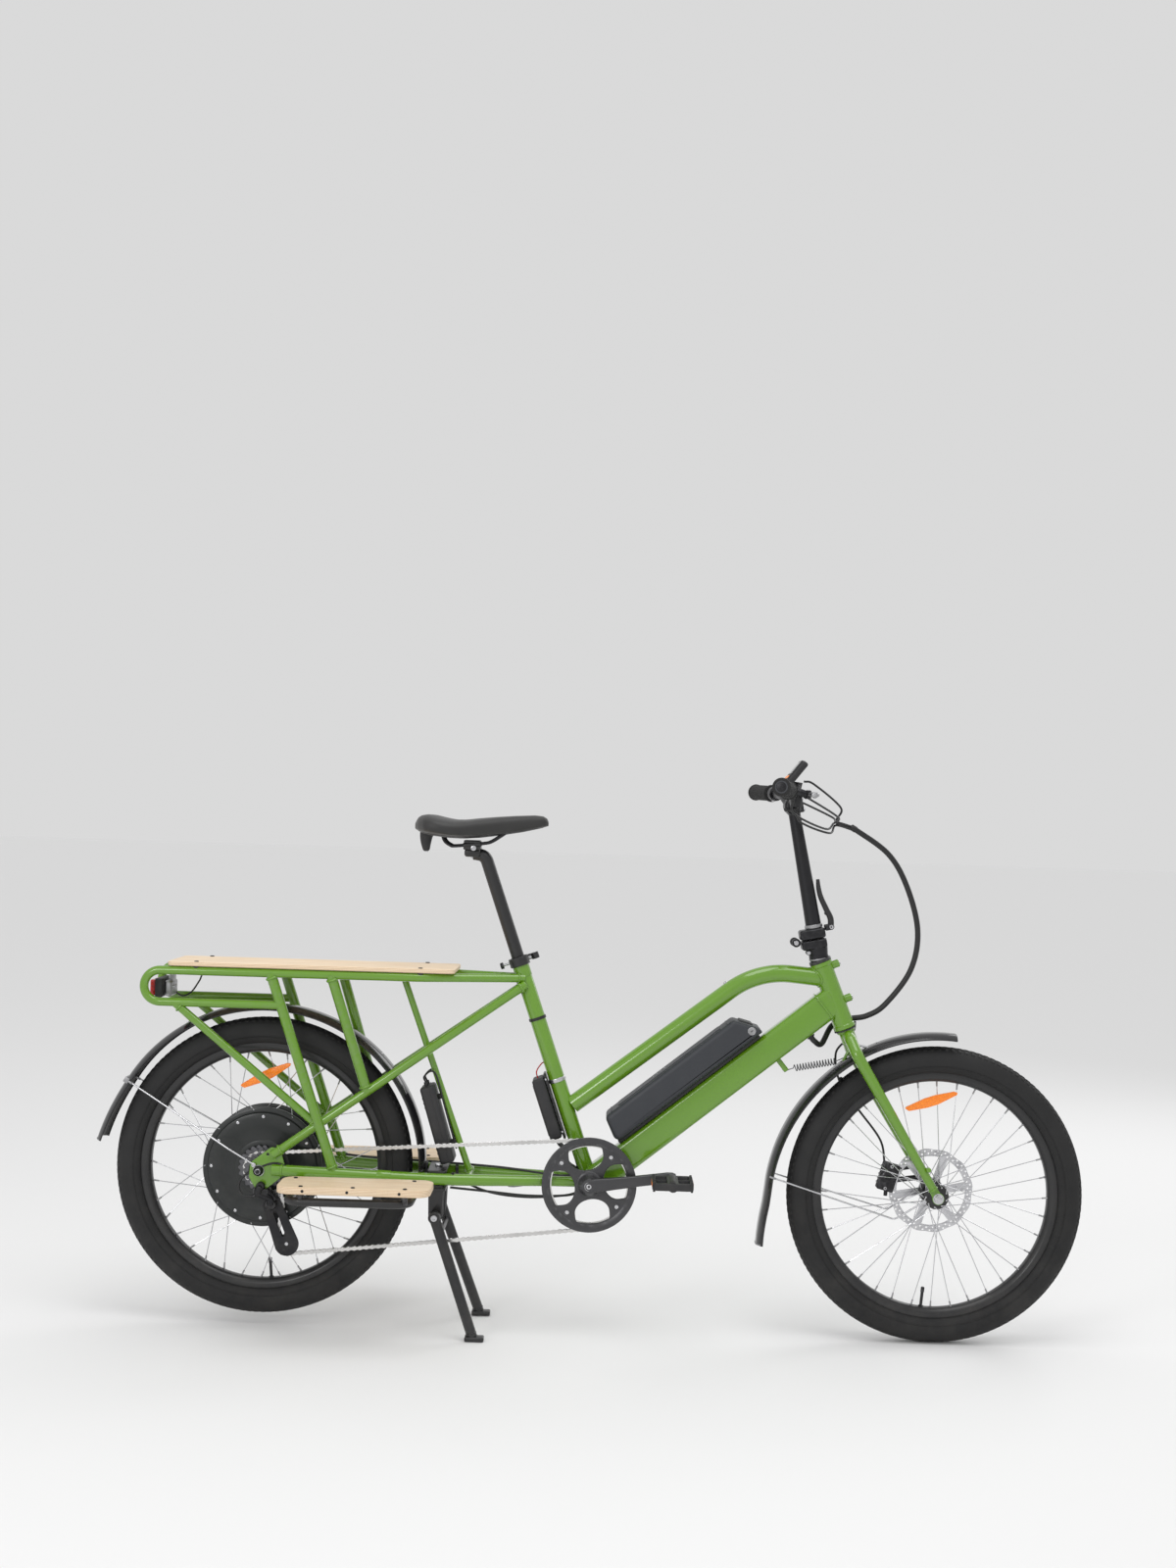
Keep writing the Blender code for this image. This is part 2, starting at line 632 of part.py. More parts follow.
def make_rack_rails():
    half = RACK_HALF_WIDTH
    for side, name in ((-1, "rack_rail_right"), (1, "rack_rail_left")):
        foot, head = strut_lines(side)["middle"]
        lower = tube([foot, foot.lerp(head, 0.92)], STRUT_RADIUS + GAP)
        bars = []
        if side < 0:
            rear_bar = Vector((LOOP_X + 0.012, 0, RAIL_Z))
            middle_bar = Vector((REAR_AXLE.x + 0.040, 0, RAIL_Z))
            bars = [crossbar(bar, -half, half, CROSS_TUBE_RADIUS, 8) for bar in (rear_bar, middle_bar)]
        shape = welded(rail(side), add=bars, cut=[lower, seat_tube(GAP)] + ([rail(1, GAP)] if bars else []))
        node(name, shape, "green_paint")


def centre_strut_ends():
    top = Vector((REAR_AXLE.x + TYRE_RADIUS - 0.0325, 0, RAIL_Z))
    foot = Vector((REAR_AXLE.x + TYRE_RADIUS + 0.1230, 0, BRACKET.z + 0.006))
    return top, foot


def make_centre_strut():
    top, foot = centre_strut_ends()
    upper = crossbar(top, -RACK_HALF_WIDTH, RACK_HALF_WIDTH, CROSS_TUBE_RADIUS, 8)
    lower = crossbar(foot, -0.052, 0.052, CROSS_TUBE_RADIUS, 8)
    strut = welded(
        tube([top, foot], CENTRE_STRUT_RADIUS),
        add=[upper, lower],
        cut=[rail(-1, GAP), rail(1, GAP), chainstay_tube(-1, GAP), chainstay_tube(1, GAP)],
    )
    node("centre_strut", strut, "green_paint")


def make_deck_board():
    underside = RAIL_Z + RAIL_RADIUS + DECK_CLEARANCE
    middle_x = LOOP_X + DECK_OVERHANG + DECK_LENGTH / 2
    board = box(
        Vector((middle_x, 0, underside + DECK_THICKNESS / 2)), (DECK_LENGTH, DECK_WIDTH, DECK_THICKNESS)
    )
    corners = [edge for edge in board.edges if abs((edge.verts[0].co - edge.verts[1].co).z) > 1e-6]
    bmesh.ops.bevel(board, geom=corners, offset=0.012, segments=3, affect="EDGES")
    spacers = []
    for x in (middle_x - 0.40 * DECK_LENGTH, middle_x, middle_x + 0.38 * DECK_LENGTH):
        for side in (-1, 1):
            foot = Vector((x, side * RACK_HALF_WIDTH, RAIL_Z + RAIL_RADIUS + GAP))
            head = Vector((x, side * RACK_HALF_WIDTH, underside + DECK_THICKNESS / 2))
            if abs(x - middle_x) > 0.01:
                spacers.append(tube([foot, head], 0.007, 8))
    node("deck_board", welded(board, add=spacers), "plywood")


def footboard_tube_height():
    """The level of the footboard frame, hung just below the chainstays."""
    stay = chainstay_path(1)[1]
    return stay.z - CHAINSTAY_RADIUS - GAP - FOOTBOARD_TUBE_RADIUS


def make_footboards():
    level = footboard_tube_height()
    top = level + FOOTBOARD_TUBE_RADIUS + 0.008
    front = REAR_AXLE.x + TYRE_RADIUS + FOOTBOARD_CLEARANCE
    rear = front - FOOTBOARD_LENGTH
    for side, name in ((-1, "footboard_right"), (1, "footboard_left")):
        outline = []
        near, far = FOOTBOARD_OUTER + 0.012, FOOTBOARD_OUTER + 0.012 - FOOTBOARD_WIDTH
        corner = 0.045
        for x, y, start in (
            (front - corner, near - corner, 0),
            (rear + corner, near - corner, 90),
            (rear + corner, far + corner, 180),
            (front - corner, far + corner, 270),
        ):
            for i in range(4):
                angle = math.radians(start + 30 * i)
                outline.append((x + corner * math.cos(angle), side * (y + corner * math.sin(angle))))
        board = skinned([[Vector((x, y, z)) for x, y in outline] for z in (top, top + FOOTBOARD_THICKNESS)])
        feet = []
        for x in (rear + 0.05, front - 0.05):
            low = Vector((x, side * FOOTBOARD_OUTER, level + FOOTBOARD_TUBE_RADIUS + GAP))
            feet.append(tube([low, low + Vector((0, 0, 0.012))], 0.007, 8))
        node(name, welded(board, add=feet), "plywood")
    corners = [
        (rear + 0.022, 0.0745),
        (rear + 0.022, FOOTBOARD_OUTER),
        (front - 0.042, FOOTBOARD_OUTER),
        (front - 0.042, -FOOTBOARD_OUTER),
        (rear + 0.022, -FOOTBOARD_OUTER),
        (rear + 0.022, -0.0745),
    ]
    path = [Vector((x, y, level)) for x, y in corners]
    posts = []
    for side in (-1, 1):
        foot = Vector((rear + 0.022, side * 0.0745, level))
        posts.append(tube([foot, foot + Vector((0, 0, 0.030))], 0.0065))
    frame = welded(
        tube(rounded(path, 0.030, 2), FOOTBOARD_TUBE_RADIUS),
        add=posts,
        cut=[chainstay_tube(-1, GAP), chainstay_tube(1, GAP)],
    )
    node("footboard_frame", frame, "black_paint")


def mudguard(axle, stations):
    """An arched sheet round a wheel: stations are (angle, radius) pairs."""
    rings = []
    for angle, radius in stations:
        outward = Vector((math.cos(math.radians(angle)), 0, math.sin(math.radians(angle))))
        ring = []
        for sheet, order in ((0.0, (-1, -0.6, 0.6, 1)), (MUDGUARD_SHEET, (1, 0.6, -0.6, -1))):
            for share in order:
                drop = MUDGUARD_DEPTH * (abs(share) - 0.6) / 0.4 + sheet
                width = (MUDGUARD_HALF_WIDTH - sheet / 2) * share
                ring.append(axle + (radius - drop) * outward + Vector((0, width, 0)))
        rings.append(ring)
    return skinned(rings)


def polar(axle, angle, radius, y=0.0):
    turn = math.radians(angle)
    return axle + Vector((radius * math.cos(turn), y, radius * math.sin(turn)))


def make_rear_mudguard():
    bolt_angle = 148.6
    stations = [(bolt_angle * i / MUDGUARD_STEPS, MUDGUARD_RADIUS) for i in range(MUDGUARD_STEPS + 1)]
    for i in range(1, 4):
        share = i / 3
        angle = bolt_angle + (MUDGUARD_TAIL_ANGLE - bolt_angle) * share
        stations.append((angle, MUDGUARD_RADIUS + (MUDGUARD_TAIL_RADIUS - MUDGUARD_RADIUS) * share))
    wires = []
    for side in (-1, 1):
        end = REAR_AXLE + Vector((-0.010, side * (DROPOUT_OUTER + GAP + STAY_WIRE_RADIUS), 0.012))
        eye = polar(REAR_AXLE, 149.0, MUDGUARD_RADIUS - MUDGUARD_DEPTH, side * (MUDGUARD_HALF_WIDTH - 0.001))
        knee = across(eye.lerp(end, 0.30), side * 0.047)
        hip = across(eye.lerp(end, 0.80), end.y)
        wires.append(tube([eye, knee, hip, end], STAY_WIRE_RADIUS, 6))
    clip = box(REAR_AXLE + Vector((STAND_PIVOT_FORWARD - 0.0263, 0, 0.005)), (0.0118, 0.020, 0.014))
    node("rear_mudguard", welded(mudguard(REAR_AXLE, stations), add=wires + [clip]), "black_plastic")


def make_front_mudguard():
    stations = []
    for i in range(MUDGUARD_STEPS + 1):
        share = i / MUDGUARD_STEPS
        stations.append((84 + 92 * share, MUDGUARD_RADIUS + 0.016 * max(0.0, share - 0.5) / 0.5))
    for angle, flare in ((184, 0.024), (191, 0.036), (197, 0.050)):
        stations.append((angle, MUDGUARD_RADIUS + flare))
    wires = []
    for side in (-1, 1):
        end = FRONT_AXLE + Vector((-0.030, side * (fork_plate_outer() + GAP + STAY_WIRE_RADIUS), -0.006))
        knee = FRONT_AXLE + Vector((-0.090, side * 0.052, -0.046))
        edge_radius = MUDGUARD_RADIUS + 0.016 - MUDGUARD_DEPTH
        eye = polar(FRONT_AXLE, 175.0, edge_radius, side * (MUDGUARD_HALF_WIDTH - 0.001))
        wires.append(tube([eye, knee, end], STAY_WIRE_RADIUS, 6))
    hanger_foot = polar(FRONT_AXLE, 116.0, MUDGUARD_RADIUS - 0.0013)
    hanger = flat_bar(hanger_foot, CROWN - 0.030 * STEER_LINE, 0.014, 0.014, 0.004)
    guard = welded(mudguard(FRONT_AXLE, stations), add=wires + [hanger], cut=fork_crown_shapes(GAP))
    node("front_mudguard", guard, "black_plastic", "steering")


def make_tail_light():
    rear_bar = Vector((LOOP_X + 0.012, 0, RAIL_Z))
    housing = softened(box(Vector((LOOP_X - 0.003, 0, LOOP_Z - 0.008)), (0.030, 0.090, 0.040)), 0.004)
    bracket = box(Vector((rear_bar.x - 0.001, 0, LOOP_Z + 0.006)), (0.003, 0.030, 0.060))
    seat = crossbar(rear_bar, -0.03, 0.03, CROSS_TUBE_RADIUS + GAP, 12)
    joined = welded(housing, add=[bracket], cut=[seat])
    node("tail_light", joined, "black_plastic")
    lens = softened(box(Vector((LOOP_X - 0.0183 - 0.0055, 0, LOOP_Z - 0.008)), (0.011, 0.084, 0.034)), 0.003)
    node("tail_lens", lens, "red_lens")


def make_controller_case():
    near = SEAT_TUBE_RADIUS + GAP
    middle = BRACKET + (0.107 + CONTROLLER_LENGTH / 2) * SEAT_LINE
    pitch = -(90 - SEAT_ANGLE)
    case_depth = CONTROLLER_DEPTH - 0.007
    plate_part = box(middle + (near + 0.004) * SEAT_BACK, (0.008, 0.044, CONTROLLER_LENGTH + 0.012), -pitch)
    case_middle = middle + (near + 0.007 + case_depth / 2) * SEAT_BACK
    case = box(case_middle, (case_depth, CONTROLLER_WIDTH, CONTROLLER_LENGTH), -pitch)
    node("controller_case", welded(softened(case, 0.003), add=[plate_part]), "black_plastic")


def make_converter_case():
    front_top = REAR_AXLE + Vector((TYRE_RADIUS + 0.0415, 0, 0.183))
    line = Vector((0.2981, 0, -0.9545))
    back = Vector((-0.9545, 0, -0.2981))
    pitch = math.degrees(math.atan2(line.x, -line.z))
    middle = front_top + CONVERTER_LENGTH / 2 * line + CONVERTER_DEPTH / 2 * back
    case = softened(box(middle, (CONVERTER_DEPTH, CONVERTER_WIDTH, CONVERTER_LENGTH), pitch), 0.003)
    top, foot = centre_strut_ends()
    strut_line = (foot - top).normalized()
    feet = []
    for along in (0.030, 0.130):
        start = front_top + along * line + 0.004 * back
        reach = top + (start - top).dot(strut_line) * strut_line
        feet.append(tube([start, reach], 0.006, 8))
    strut = tube([top, foot], CENTRE_STRUT_RADIUS + GAP)
    node("converter_case", welded(case, add=feet, cut=[strut]), "black_plastic")


def make_battery():
    low = DOWN_TUBE_HEIGHT / 2 + GAP
    high = low + BATTERY_RAIL_HEIGHT
    middle = down_tube_point(BATTERY_REAR + 0.190, (low + high) / 2)
    pitch = math.degrees(math.atan2(DOWN_LINE.z, DOWN_LINE.x))
    rail_block = softened(box(middle, (0.372, 0.046, BATTERY_RAIL_HEIGHT), pitch), 0.002)
    node("battery_rail", rail_block, "black_plastic")
    base = high + GAP
    top = base + BATTERY_HEIGHT
    outline = [
        down_tube_point(BATTERY_REAR, base),
        down_tube_point(BATTERY_REAR + BATTERY_LENGTH, base),
        down_tube_point(BATTERY_REAR + BATTERY_LENGTH, base + 0.012),
        down_tube_point(BATTERY_REAR + BATTERY_LENGTH - 0.034, top),
        down_tube_point(BATTERY_REAR + 0.014, top),
    ]
    pack = softened(plate(outline, -BATTERY_WIDTH / 2, BATTERY_WIDTH / 2), 0.008)
    node("battery", pack, "black_plastic", "battery_pack")


def make_seat_clamp():
    low = BRACKET + (SEAT_TUBE_LENGTH - 0.008) * SEAT_LINE
    tube_bore, post_bore = SEAT_TUBE_RADIUS + 3 * GAP, SEATPOST_RADIUS + 3 * GAP
    outer = SEAT_TUBE_RADIUS + 0.0045
    profile = [(tube_bore, 0), (outer, 0), (outer, 0.019)]
    profile += [(post_bore, 0.019), (post_bore, 0.0083), (tube_bore, 0.0083)]
    ring = turned(profile, low, SEAT_LINE, 12)
    middle = BRACKET + (SEAT_TUBE_LENGTH + 0.003) * SEAT_LINE
    ears = box(middle + Vector((0, outer + 0.005, 0)), (0.022, 0.014, 0.014), 90 - SEAT_ANGLE)
    beside = across(middle, SEAT_LEVER_PIN.y)
    skewer = tube([beside + 0.036 * SEAT_BACK, beside - 0.025 * SEAT_BACK], 0.0028, 6)
    nut = tube([beside + 0.037 * SEAT_BACK, beside + 0.024 * SEAT_BACK], 0.0075, 8)
    node("seat_clamp", welded(ring, add=[ears, skewer, nut]), "black_paint")
    cam = tube([SEAT_LEVER_PIN - 0.007 * SEAT_LINE, SEAT_LEVER_PIN + 0.007 * SEAT_LINE], 0.0085, 12)
    blade_path = [
        SEAT_LEVER_PIN,
        SEAT_LEVER_PIN + Vector((0, 0.016, 0)) + 0.006 * SEAT_BACK,
        SEAT_LEVER_PIN + Vector((0, 0.017, 0)) + 0.055 * SEAT_BACK,
    ]
    blade = tube(rounded(blade_path, 0.010, 3), 0.0042, 8)
    node("seat_clamp_lever", welded(cam, add=[blade]), "black_paint", "seat_lever")


def saddle_rail_path(side):
    places = [(-0.066, 0.032), (-0.058, 0.010), (-0.034, 0.0015), (0.026, 0.0085), (0.058, 0.024), (0.084, 0.042)]
    path = [SADDLE_CLAMP + Vector((x, side * SADDLE_RAIL_SPACING, z)) for x, z in places]
    return rounded(path, 0.020, 1)


def make_seatpost():
    seat_top = BRACKET + SEAT_TUBE_LENGTH * SEAT_LINE
    post = tube(
        [seat_top - SEATPOST_INSERTION * SEAT_LINE, seat_top + SEATPOST_SHOWN * SEAT_LINE],
        SEATPOST_RADIUS,
        14,
    )
    neck_foot = seat_top + (SEATPOST_SHOWN - 0.012) * SEAT_LINE
    neck = tube([neck_foot, SADDLE_CLAMP + Vector((0.004, 0, -0.012))], [SEATPOST_RADIUS * 0.98, 0.0115], 14)
    lower = box(SADDLE_CLAMP + Vector((0, 0, 0.003)), (0.036, 0.056, 0.020))
    bolt = tube([SADDLE_CLAMP + Vector((0, 0, -0.026)), SADDLE_CLAMP + Vector((0, 0, 0.010))], 0.0045, 8)
    rails = [tube(saddle_rail_path(side), SADDLE_RAIL_RADIUS + GAP, 6) for side in (-1, 1)]
    node("seatpost", welded(post, add=[neck, lower, bolt], cut=rails), "black_paint", "seat_assembly")


def saddle_section(share):
    """One cross-section of the saddle, as points, at this share of its length from the rear."""
    widths = [(0.0, 0.52), (0.06, 0.86), (0.20, 1.0), (0.34, 0.90)]
    widths += [(0.50, 0.56), (0.66, 0.33), (0.85, 0.25), (1.0, 0.17)]
    tops = [(0.0, 0.048), (0.06, 0.062), (0.12, 0.0665), (0.34, 0.0575)]
    tops += [(0.70, 0.068), (0.90, 0.0715), (1.0, 0.064)]
    bottoms = [(0.0, 0.036), (0.06, 0.025), (0.27, 0.0185), (0.43, 0.0195), (0.63, 0.0265), (0.80, 0.035), (1.0, 0.050)]

    def at(table):
        for (x0, v0), (x1, v1) in zip(table, table[1:]):
            if share <= x1 + 1e-9:
                t = (share - x0) / (x1 - x0)
                t = t * t * (3 - 2 * t)
                return v0 + (v1 - v0) * t
        return table[-1][1]

    half, top, bottom = SADDLE_HALF_WIDTH * at(widths), at(tops), at(bottoms)
    x = SADDLE_CLAMP.x - 0.1195 + SADDLE_LENGTH * share
    crown = [(-1.0, 0.0), (-0.96, 0.50), (-0.76, 0.86), (-0.38, 0.98), (0.0, 0.975)]
    arch = crown + [(-u, v) for u, v in reversed(crown[:-1])]
    under = [(0.80, -0.03), (0.35, 0.11), (-0.35, 0.11), (-0.80, -0.03)]
    return [
        Vector((x, half * u, SADDLE_CLAMP.z + bottom + (top - bottom) * v)) for u, v in arch + under
    ]


def make_saddle():
    shares = [0.0, 0.025, 0.07, 0.14, 0.23, 0.33, 0.43, 0.53, 0.64, 0.78, 0.92, 1.0]
    pad = skinned([saddle_section(share) for share in shares])
    rails = [tube(saddle_rail_path(side), SADDLE_RAIL_RADIUS, 6) for side in (-1, 1)]
    bumper_top = SADDLE_CLAMP + Vector((-0.093, 0, 0.034))
    bumper = tube([bumper_top, SADDLE_CLAMP + Vector((-0.098, 0, -0.012))], [0.013, 0.009])
    node("saddle", welded(pad, add=rails + [bumper]), "vinyl", "seat_assembly")


def fork_leg_path(side):
    shoulder = CROWN - 0.050 * STEER_LINE + Vector((0.0, side * 0.0580, 0))
    crown_side = CROWN - 0.014 * STEER_LINE + Vector((0, side * 0.030, 0))
    centre = CROWN - 0.010 * STEER_LINE
    tip = FRONT_AXLE + Vector((0, side * (fork_plate_inner() + FORK_TIP_RADIUS), 0))
    end = tip + 0.020 * (shoulder - tip).normalized()
    return rounded([centre, crown_side, shoulder, end], 0.030, 1)


def fork_plate_inner():
    return FRONT_HUB_WIDTH / 2 + GAP


def fork_plate_outer():
    return fork_plate_inner() + 0.006


def fork_leg(side, extra=0.0):
    path = fork_leg_path(side)
    top, low = FORK_LEG_RADIUS, FORK_TIP_RADIUS
    radii = []
    for point in path:
        share = min(1.0, max(0.0, (CROWN.z - 0.06 - point.z) / (CROWN.z - 0.06 - FRONT_AXLE.z)))
        radii.append(top + (low - top) * share + extra)
    return tube(path, radii)


def fork_crown_shapes(extra=0.0):
    """What stands over the mudguard: crown, bridge between the legs, spring tab and legs."""
    crown = tube([CROWN - 0.024 * STEER_LINE, CROWN - 0.004 * STEER_LINE], 0.0165 + extra, 14)
    root = CROWN - 0.030 * STEER_LINE
    bridge = crossbar(root, -0.040, 0.040, 0.0085 + extra, 12)
    tab = flat_bar(
        root + 0.004 * STEER_FORWARD, FORK_TAB, 0.004 + 2 * extra, 0.004 + 2 * extra, 0.014 + 2 * extra
    )
    return [crown, bridge, tab, fork_leg(-1, extra), fork_leg(1, extra)]


def steerer(extra=0.0):
    """The fork's tube, up through the head tube into the stem's base."""
    top = STEM_FOOT + (0.020 + extra) * STEER_LINE
    return tube([CROWN - 0.020 * STEER_LINE, top], STEERER_RADIUS + extra, 14)


def make_fork():
    race = tube([CROWN - 0.006 * STEER_LINE, CROWN + (CUP_HEIGHT - GAP) * STEER_LINE], 0.0200, 16)
    extras = [race, *fork_crown_shapes()]
    holes = []
    for side in (-1, 1):
        tip = across(FRONT_AXLE, 0)
        heading = (across(fork_leg_path(side)[-1], 0) - tip).normalized()
        beside = Vector((-heading.z, 0, heading.x))
        outline = [tip + 0.046 * heading + 0.006 * beside, tip + 0.046 * heading - 0.006 * beside]
        start = math.atan2(-beside.z, -beside.x)
        for i in range(6):
            angle = start - math.pi * i / 5
            outline.append(tip + 0.0125 * Vector((math.cos(angle), 0, math.sin(angle))))
        extras.append(plate(outline, side * fork_plate_inner(), side * fork_plate_outer()))
        holes.append(crossbar(FRONT_AXLE, side * 0.04, side * 0.07, 0.0048 + 2 * GAP, 8))
    node("fork", welded(steerer(), add=extras, cut=holes), "green_paint", "steering")


def make_front_axle():
    rod = crossbar(FRONT_AXLE, -0.0665, 0.0665, 0.0048, 8)
    nuts = []
    for side in (-1, 1):
        nuts.append(crossbar(FRONT_AXLE, side * (fork_plate_outer() + GAP), side * 0.0640, 0.0095, 6))
    node("front_axle", welded(rod, add=nuts), "dark_metal", "steering")


def make_stem():
    foot = STEM_FOOT
    block_middle = foot + (STEM_BASE_HEIGHT - 0.010) * STEM_LINE - 0.006 * STEM_FORWARD
    pitch = 90 - STEM_ANGLE
    collar_top = foot + (STEM_BASE_HEIGHT - 0.002) * STEM_LINE
    collar = tube([foot + 0.003 * STEM_LINE, collar_top], [0.0205, 0.0225], 12)
    cup = tube([HEAD_TOP + GAP * STEER_LINE, foot + 0.010 * STEER_LINE], 0.0203, 14)
    block = softened(
        box(block_middle, (STEM_BLOCK_DEPTH, STEM_BLOCK_WIDTH, 0.020), pitch), 0.003
    )
    pin = crossbar(FOLD_PIN, -STEM_BLOCK_WIDTH / 2 - 0.003, STEM_BLOCK_WIDTH / 2 + 0.003, 0.0042, 12)
    lugs = []
    gaps = []
    for side in (-1, 1):
        lugs.append(crossbar(FOLD_PIN, side * 0.0130, side * (STEM_BLOCK_WIDTH / 2 - 0.0008), 0.0095, 10))
        arm = FOLD_PIN.lerp(block_middle, 0.5)
        lugs.append(box(across(arm - 0.003 * STEM_LINE, side * 0.0179), (0.034, 0.0084, 0.012), pitch))
    gaps.append(crossbar(FOLD_PIN, -0.0128, 0.0128, 0.0103, 10))
    base = welded(collar, add=[cup, block, *lugs], cut=[steerer(GAP), *gaps])
    node("stem_base", welded(base, add=[pin]), "black_paint", "steering")

    hinge_top = STEM_BASE_HEIGHT + 0.024
    upper_middle = foot + (STEM_BASE_HEIGHT + GAP + 0.0117) * STEM_LINE - 0.006 * STEM_FORWARD
    upper = softened(box(upper_middle, (STEM_BLOCK_DEPTH, STEM_BLOCK_WIDTH, 0.0226), pitch), 0.003)
    knuckle = crossbar(FOLD_PIN, -0.0124, 0.0124, 0.0095, 10)
    knuckle_arm = box(FOLD_PIN + 0.0070 * STEM_LINE + 0.016 * STEM_FORWARD, (0.032, 0.0244, 0.012), pitch)
    post = tube(
        [foot + (hinge_top - 0.004) * STEM_LINE, foot + (STEM_LENGTH - 0.004) * STEM_LINE],
        [STEM_POST_RADIUS, STEM_TOP_RADIUS],
        14,
    )
    clamp = crossbar(BAR_CENTRE, -0.024, 0.024, 0.0195, 14)
    ear = LATCH_PIN - 0.011 * STEM_FORWARD
    latch_ears = [box(across(ear, side * 0.0120), (0.026, 0.006, 0.016), pitch) for side in (-1, 1)]
    latch_pin = crossbar(LATCH_PIN, -0.0150, 0.0150, 0.0030, 10)
    swing = crossbar(FOLD_PIN, -0.0126, 0.0126, 0.0042 + RUNNING_GAP, 12)
    bar_bore = tube(
        [across(BAR_CENTRE, -0.026), across(BAR_CENTRE, 0.026)], BAR_RADIUS + 2 * GAP, 12
    )
    bolt_room = []
    for side in (-1, 1):
        bolt_room.append(crossbar(FOLD_PIN, side * 0.0126, side * 0.03, 0.0103, 10))
    parts = [upper, knuckle, knuckle_arm, clamp, *latch_ears, latch_pin]
    shape = welded(post, add=parts, cut=[swing, bar_bore, *bolt_room])
    node("stem_post", shape, "black_paint", "folding_stem")

    eye = crossbar(LATCH_PIN, -0.0086, 0.0086, 0.0070, 12)
    hole = crossbar(LATCH_PIN, -0.02, 0.02, 0.0030 + RUNNING_GAP, 10)
    grip_path = [
        LATCH_PIN,
        LATCH_PIN + 0.040 * STEM_LINE - 0.004 * STEM_FORWARD,
        LATCH_PIN + 0.085 * STEM_LINE - 0.012 * STEM_FORWARD,
        LATCH_PIN + 0.104 * STEM_LINE - 0.012 * STEM_FORWARD,
    ]
    path = rounded(grip_path, 0.060, 3)
    widths = []
    for i in range(len(path)):
        share = i / (len(path) - 1)
        w, h = 0.0082 - 0.0012 * share, 0.0045 - 0.0010 * share
        widths.append([(w, h * 0.4), (w * 0.6, h), (-w * 0.6, h), (-w, h * 0.4), (-w, -h), (w, -h)])
    blade = swept(path, widths)
    node("stem_latch", welded(eye, add=[blade], cut=[hole]), "black_paint", "latch")


def bar_path():
    places = [(0.0, 0.0, 0.0), (0.050, 0.0, 0.0), (0.112, 0.012, 0.026)]
    places.append((BAR_HALF_WIDTH, BAR_SWEEP, BAR_RISE))
    half = [BAR_CENTRE + Vector((-back, y, rise)) for y, back, rise in places]
    corners = [across(point, -point.y) for point in reversed(half[1:])] + half[1:]
    return rounded(corners, 0.050, 1)


def bar_point(y):
    """The point of the handlebar at this distance to one side, on its straight outer run."""
    inner = BAR_CENTRE + Vector((-0.012, 0.112, 0.026))
    outer = BAR_CENTRE + Vector((-BAR_SWEEP, BAR_HALF_WIDTH, BAR_RISE))
    share = (abs(y) - inner.y) / (outer.y - inner.y)
    point = inner + share * (outer - inner)
    return across(point, math.copysign(point.y, y))


def bar_heading(side):
    return (bar_point(side * 0.30) - bar_point(side * 0.20)).normalized()


def lever_pin(side):
    return bar_point(side * PERCH_SPOT) + Vector((LEVER_REACH * 0.72, 0, -0.006))


def make_handlebar():
    bar = tube(bar_path(), BAR_RADIUS, 10)
    extras = []
    for side in (-1, 1):
        spot = bar_point(side * PERCH_SPOT)
        heading = bar_heading(side)
        extras.append(tube([spot - 0.009 * heading, spot + 0.009 * heading], 0.0160, 10))
        pin = lever_pin(side)
        inside = Vector((0, -side * 0.004, 0))
        for up in (-0.0085, 0.0085):
            arm_end = pin + Vector((0.003, 0, up))
            arm_start = Vector((spot.x + 0.006, spot.y, pin.z + up)) + inside
            arm = flat_bar(arm_start, arm_end, 0.012, 0.010, 0.0045)
            extras.append(arm)
        extras.append(tube([pin + Vector((0, 0, -0.0095)), pin + Vector((0, 0, 0.0095))], 0.0025, 8))
    shift = shifter_pin()
    extras.append(tube([shift + Vector((0, 0, 0.030)), shift + Vector((0, 0, -0.006))], [0.0120, 0.0105], 10))
    node("handlebar", welded(bar, add=extras), "black_paint", "folding_stem")


def make_grips():
    for side, name in ((-1, "grip_right"), (1, "grip_left")):
        end = bar_point(side * BAR_HALF_WIDTH)
        heading = bar_heading(side)
        start = end - GRIP_LENGTH * heading
        bore, outer, length = BAR_RADIUS + 2 * GAP, GRIP_RADIUS, GRIP_LENGTH
        profile = [
            (bore, 0.0),
            (outer + 0.002, 0.0),
            (outer + 0.002, 0.006),
            (outer - 0.001, 0.010),
            (outer, length - 0.004),
            (outer - 0.004, length),
            (bore, length),
        ]
        node(name, turned(profile, start, heading, 12), "rubber", "folding_stem")


def make_display():
    base = BAR_CENTRE + Vector((0.004, 0, 0.0195 + 0.024))
    case = softened(box(base + Vector((0.0, 0, 0.026)), (0.018, 0.078, 0.060), -38), 0.005)
    neck = box(base + Vector((0.002, 0, -0.008)), (0.022, 0.024, 0.034))
    clamp_room = crossbar(BAR_CENTRE, -0.03, 0.03, 0.0195 + GAP, 18)
    node("display", welded(case, add=[neck], cut=[clamp_room]), "black_plastic", "folding_stem")


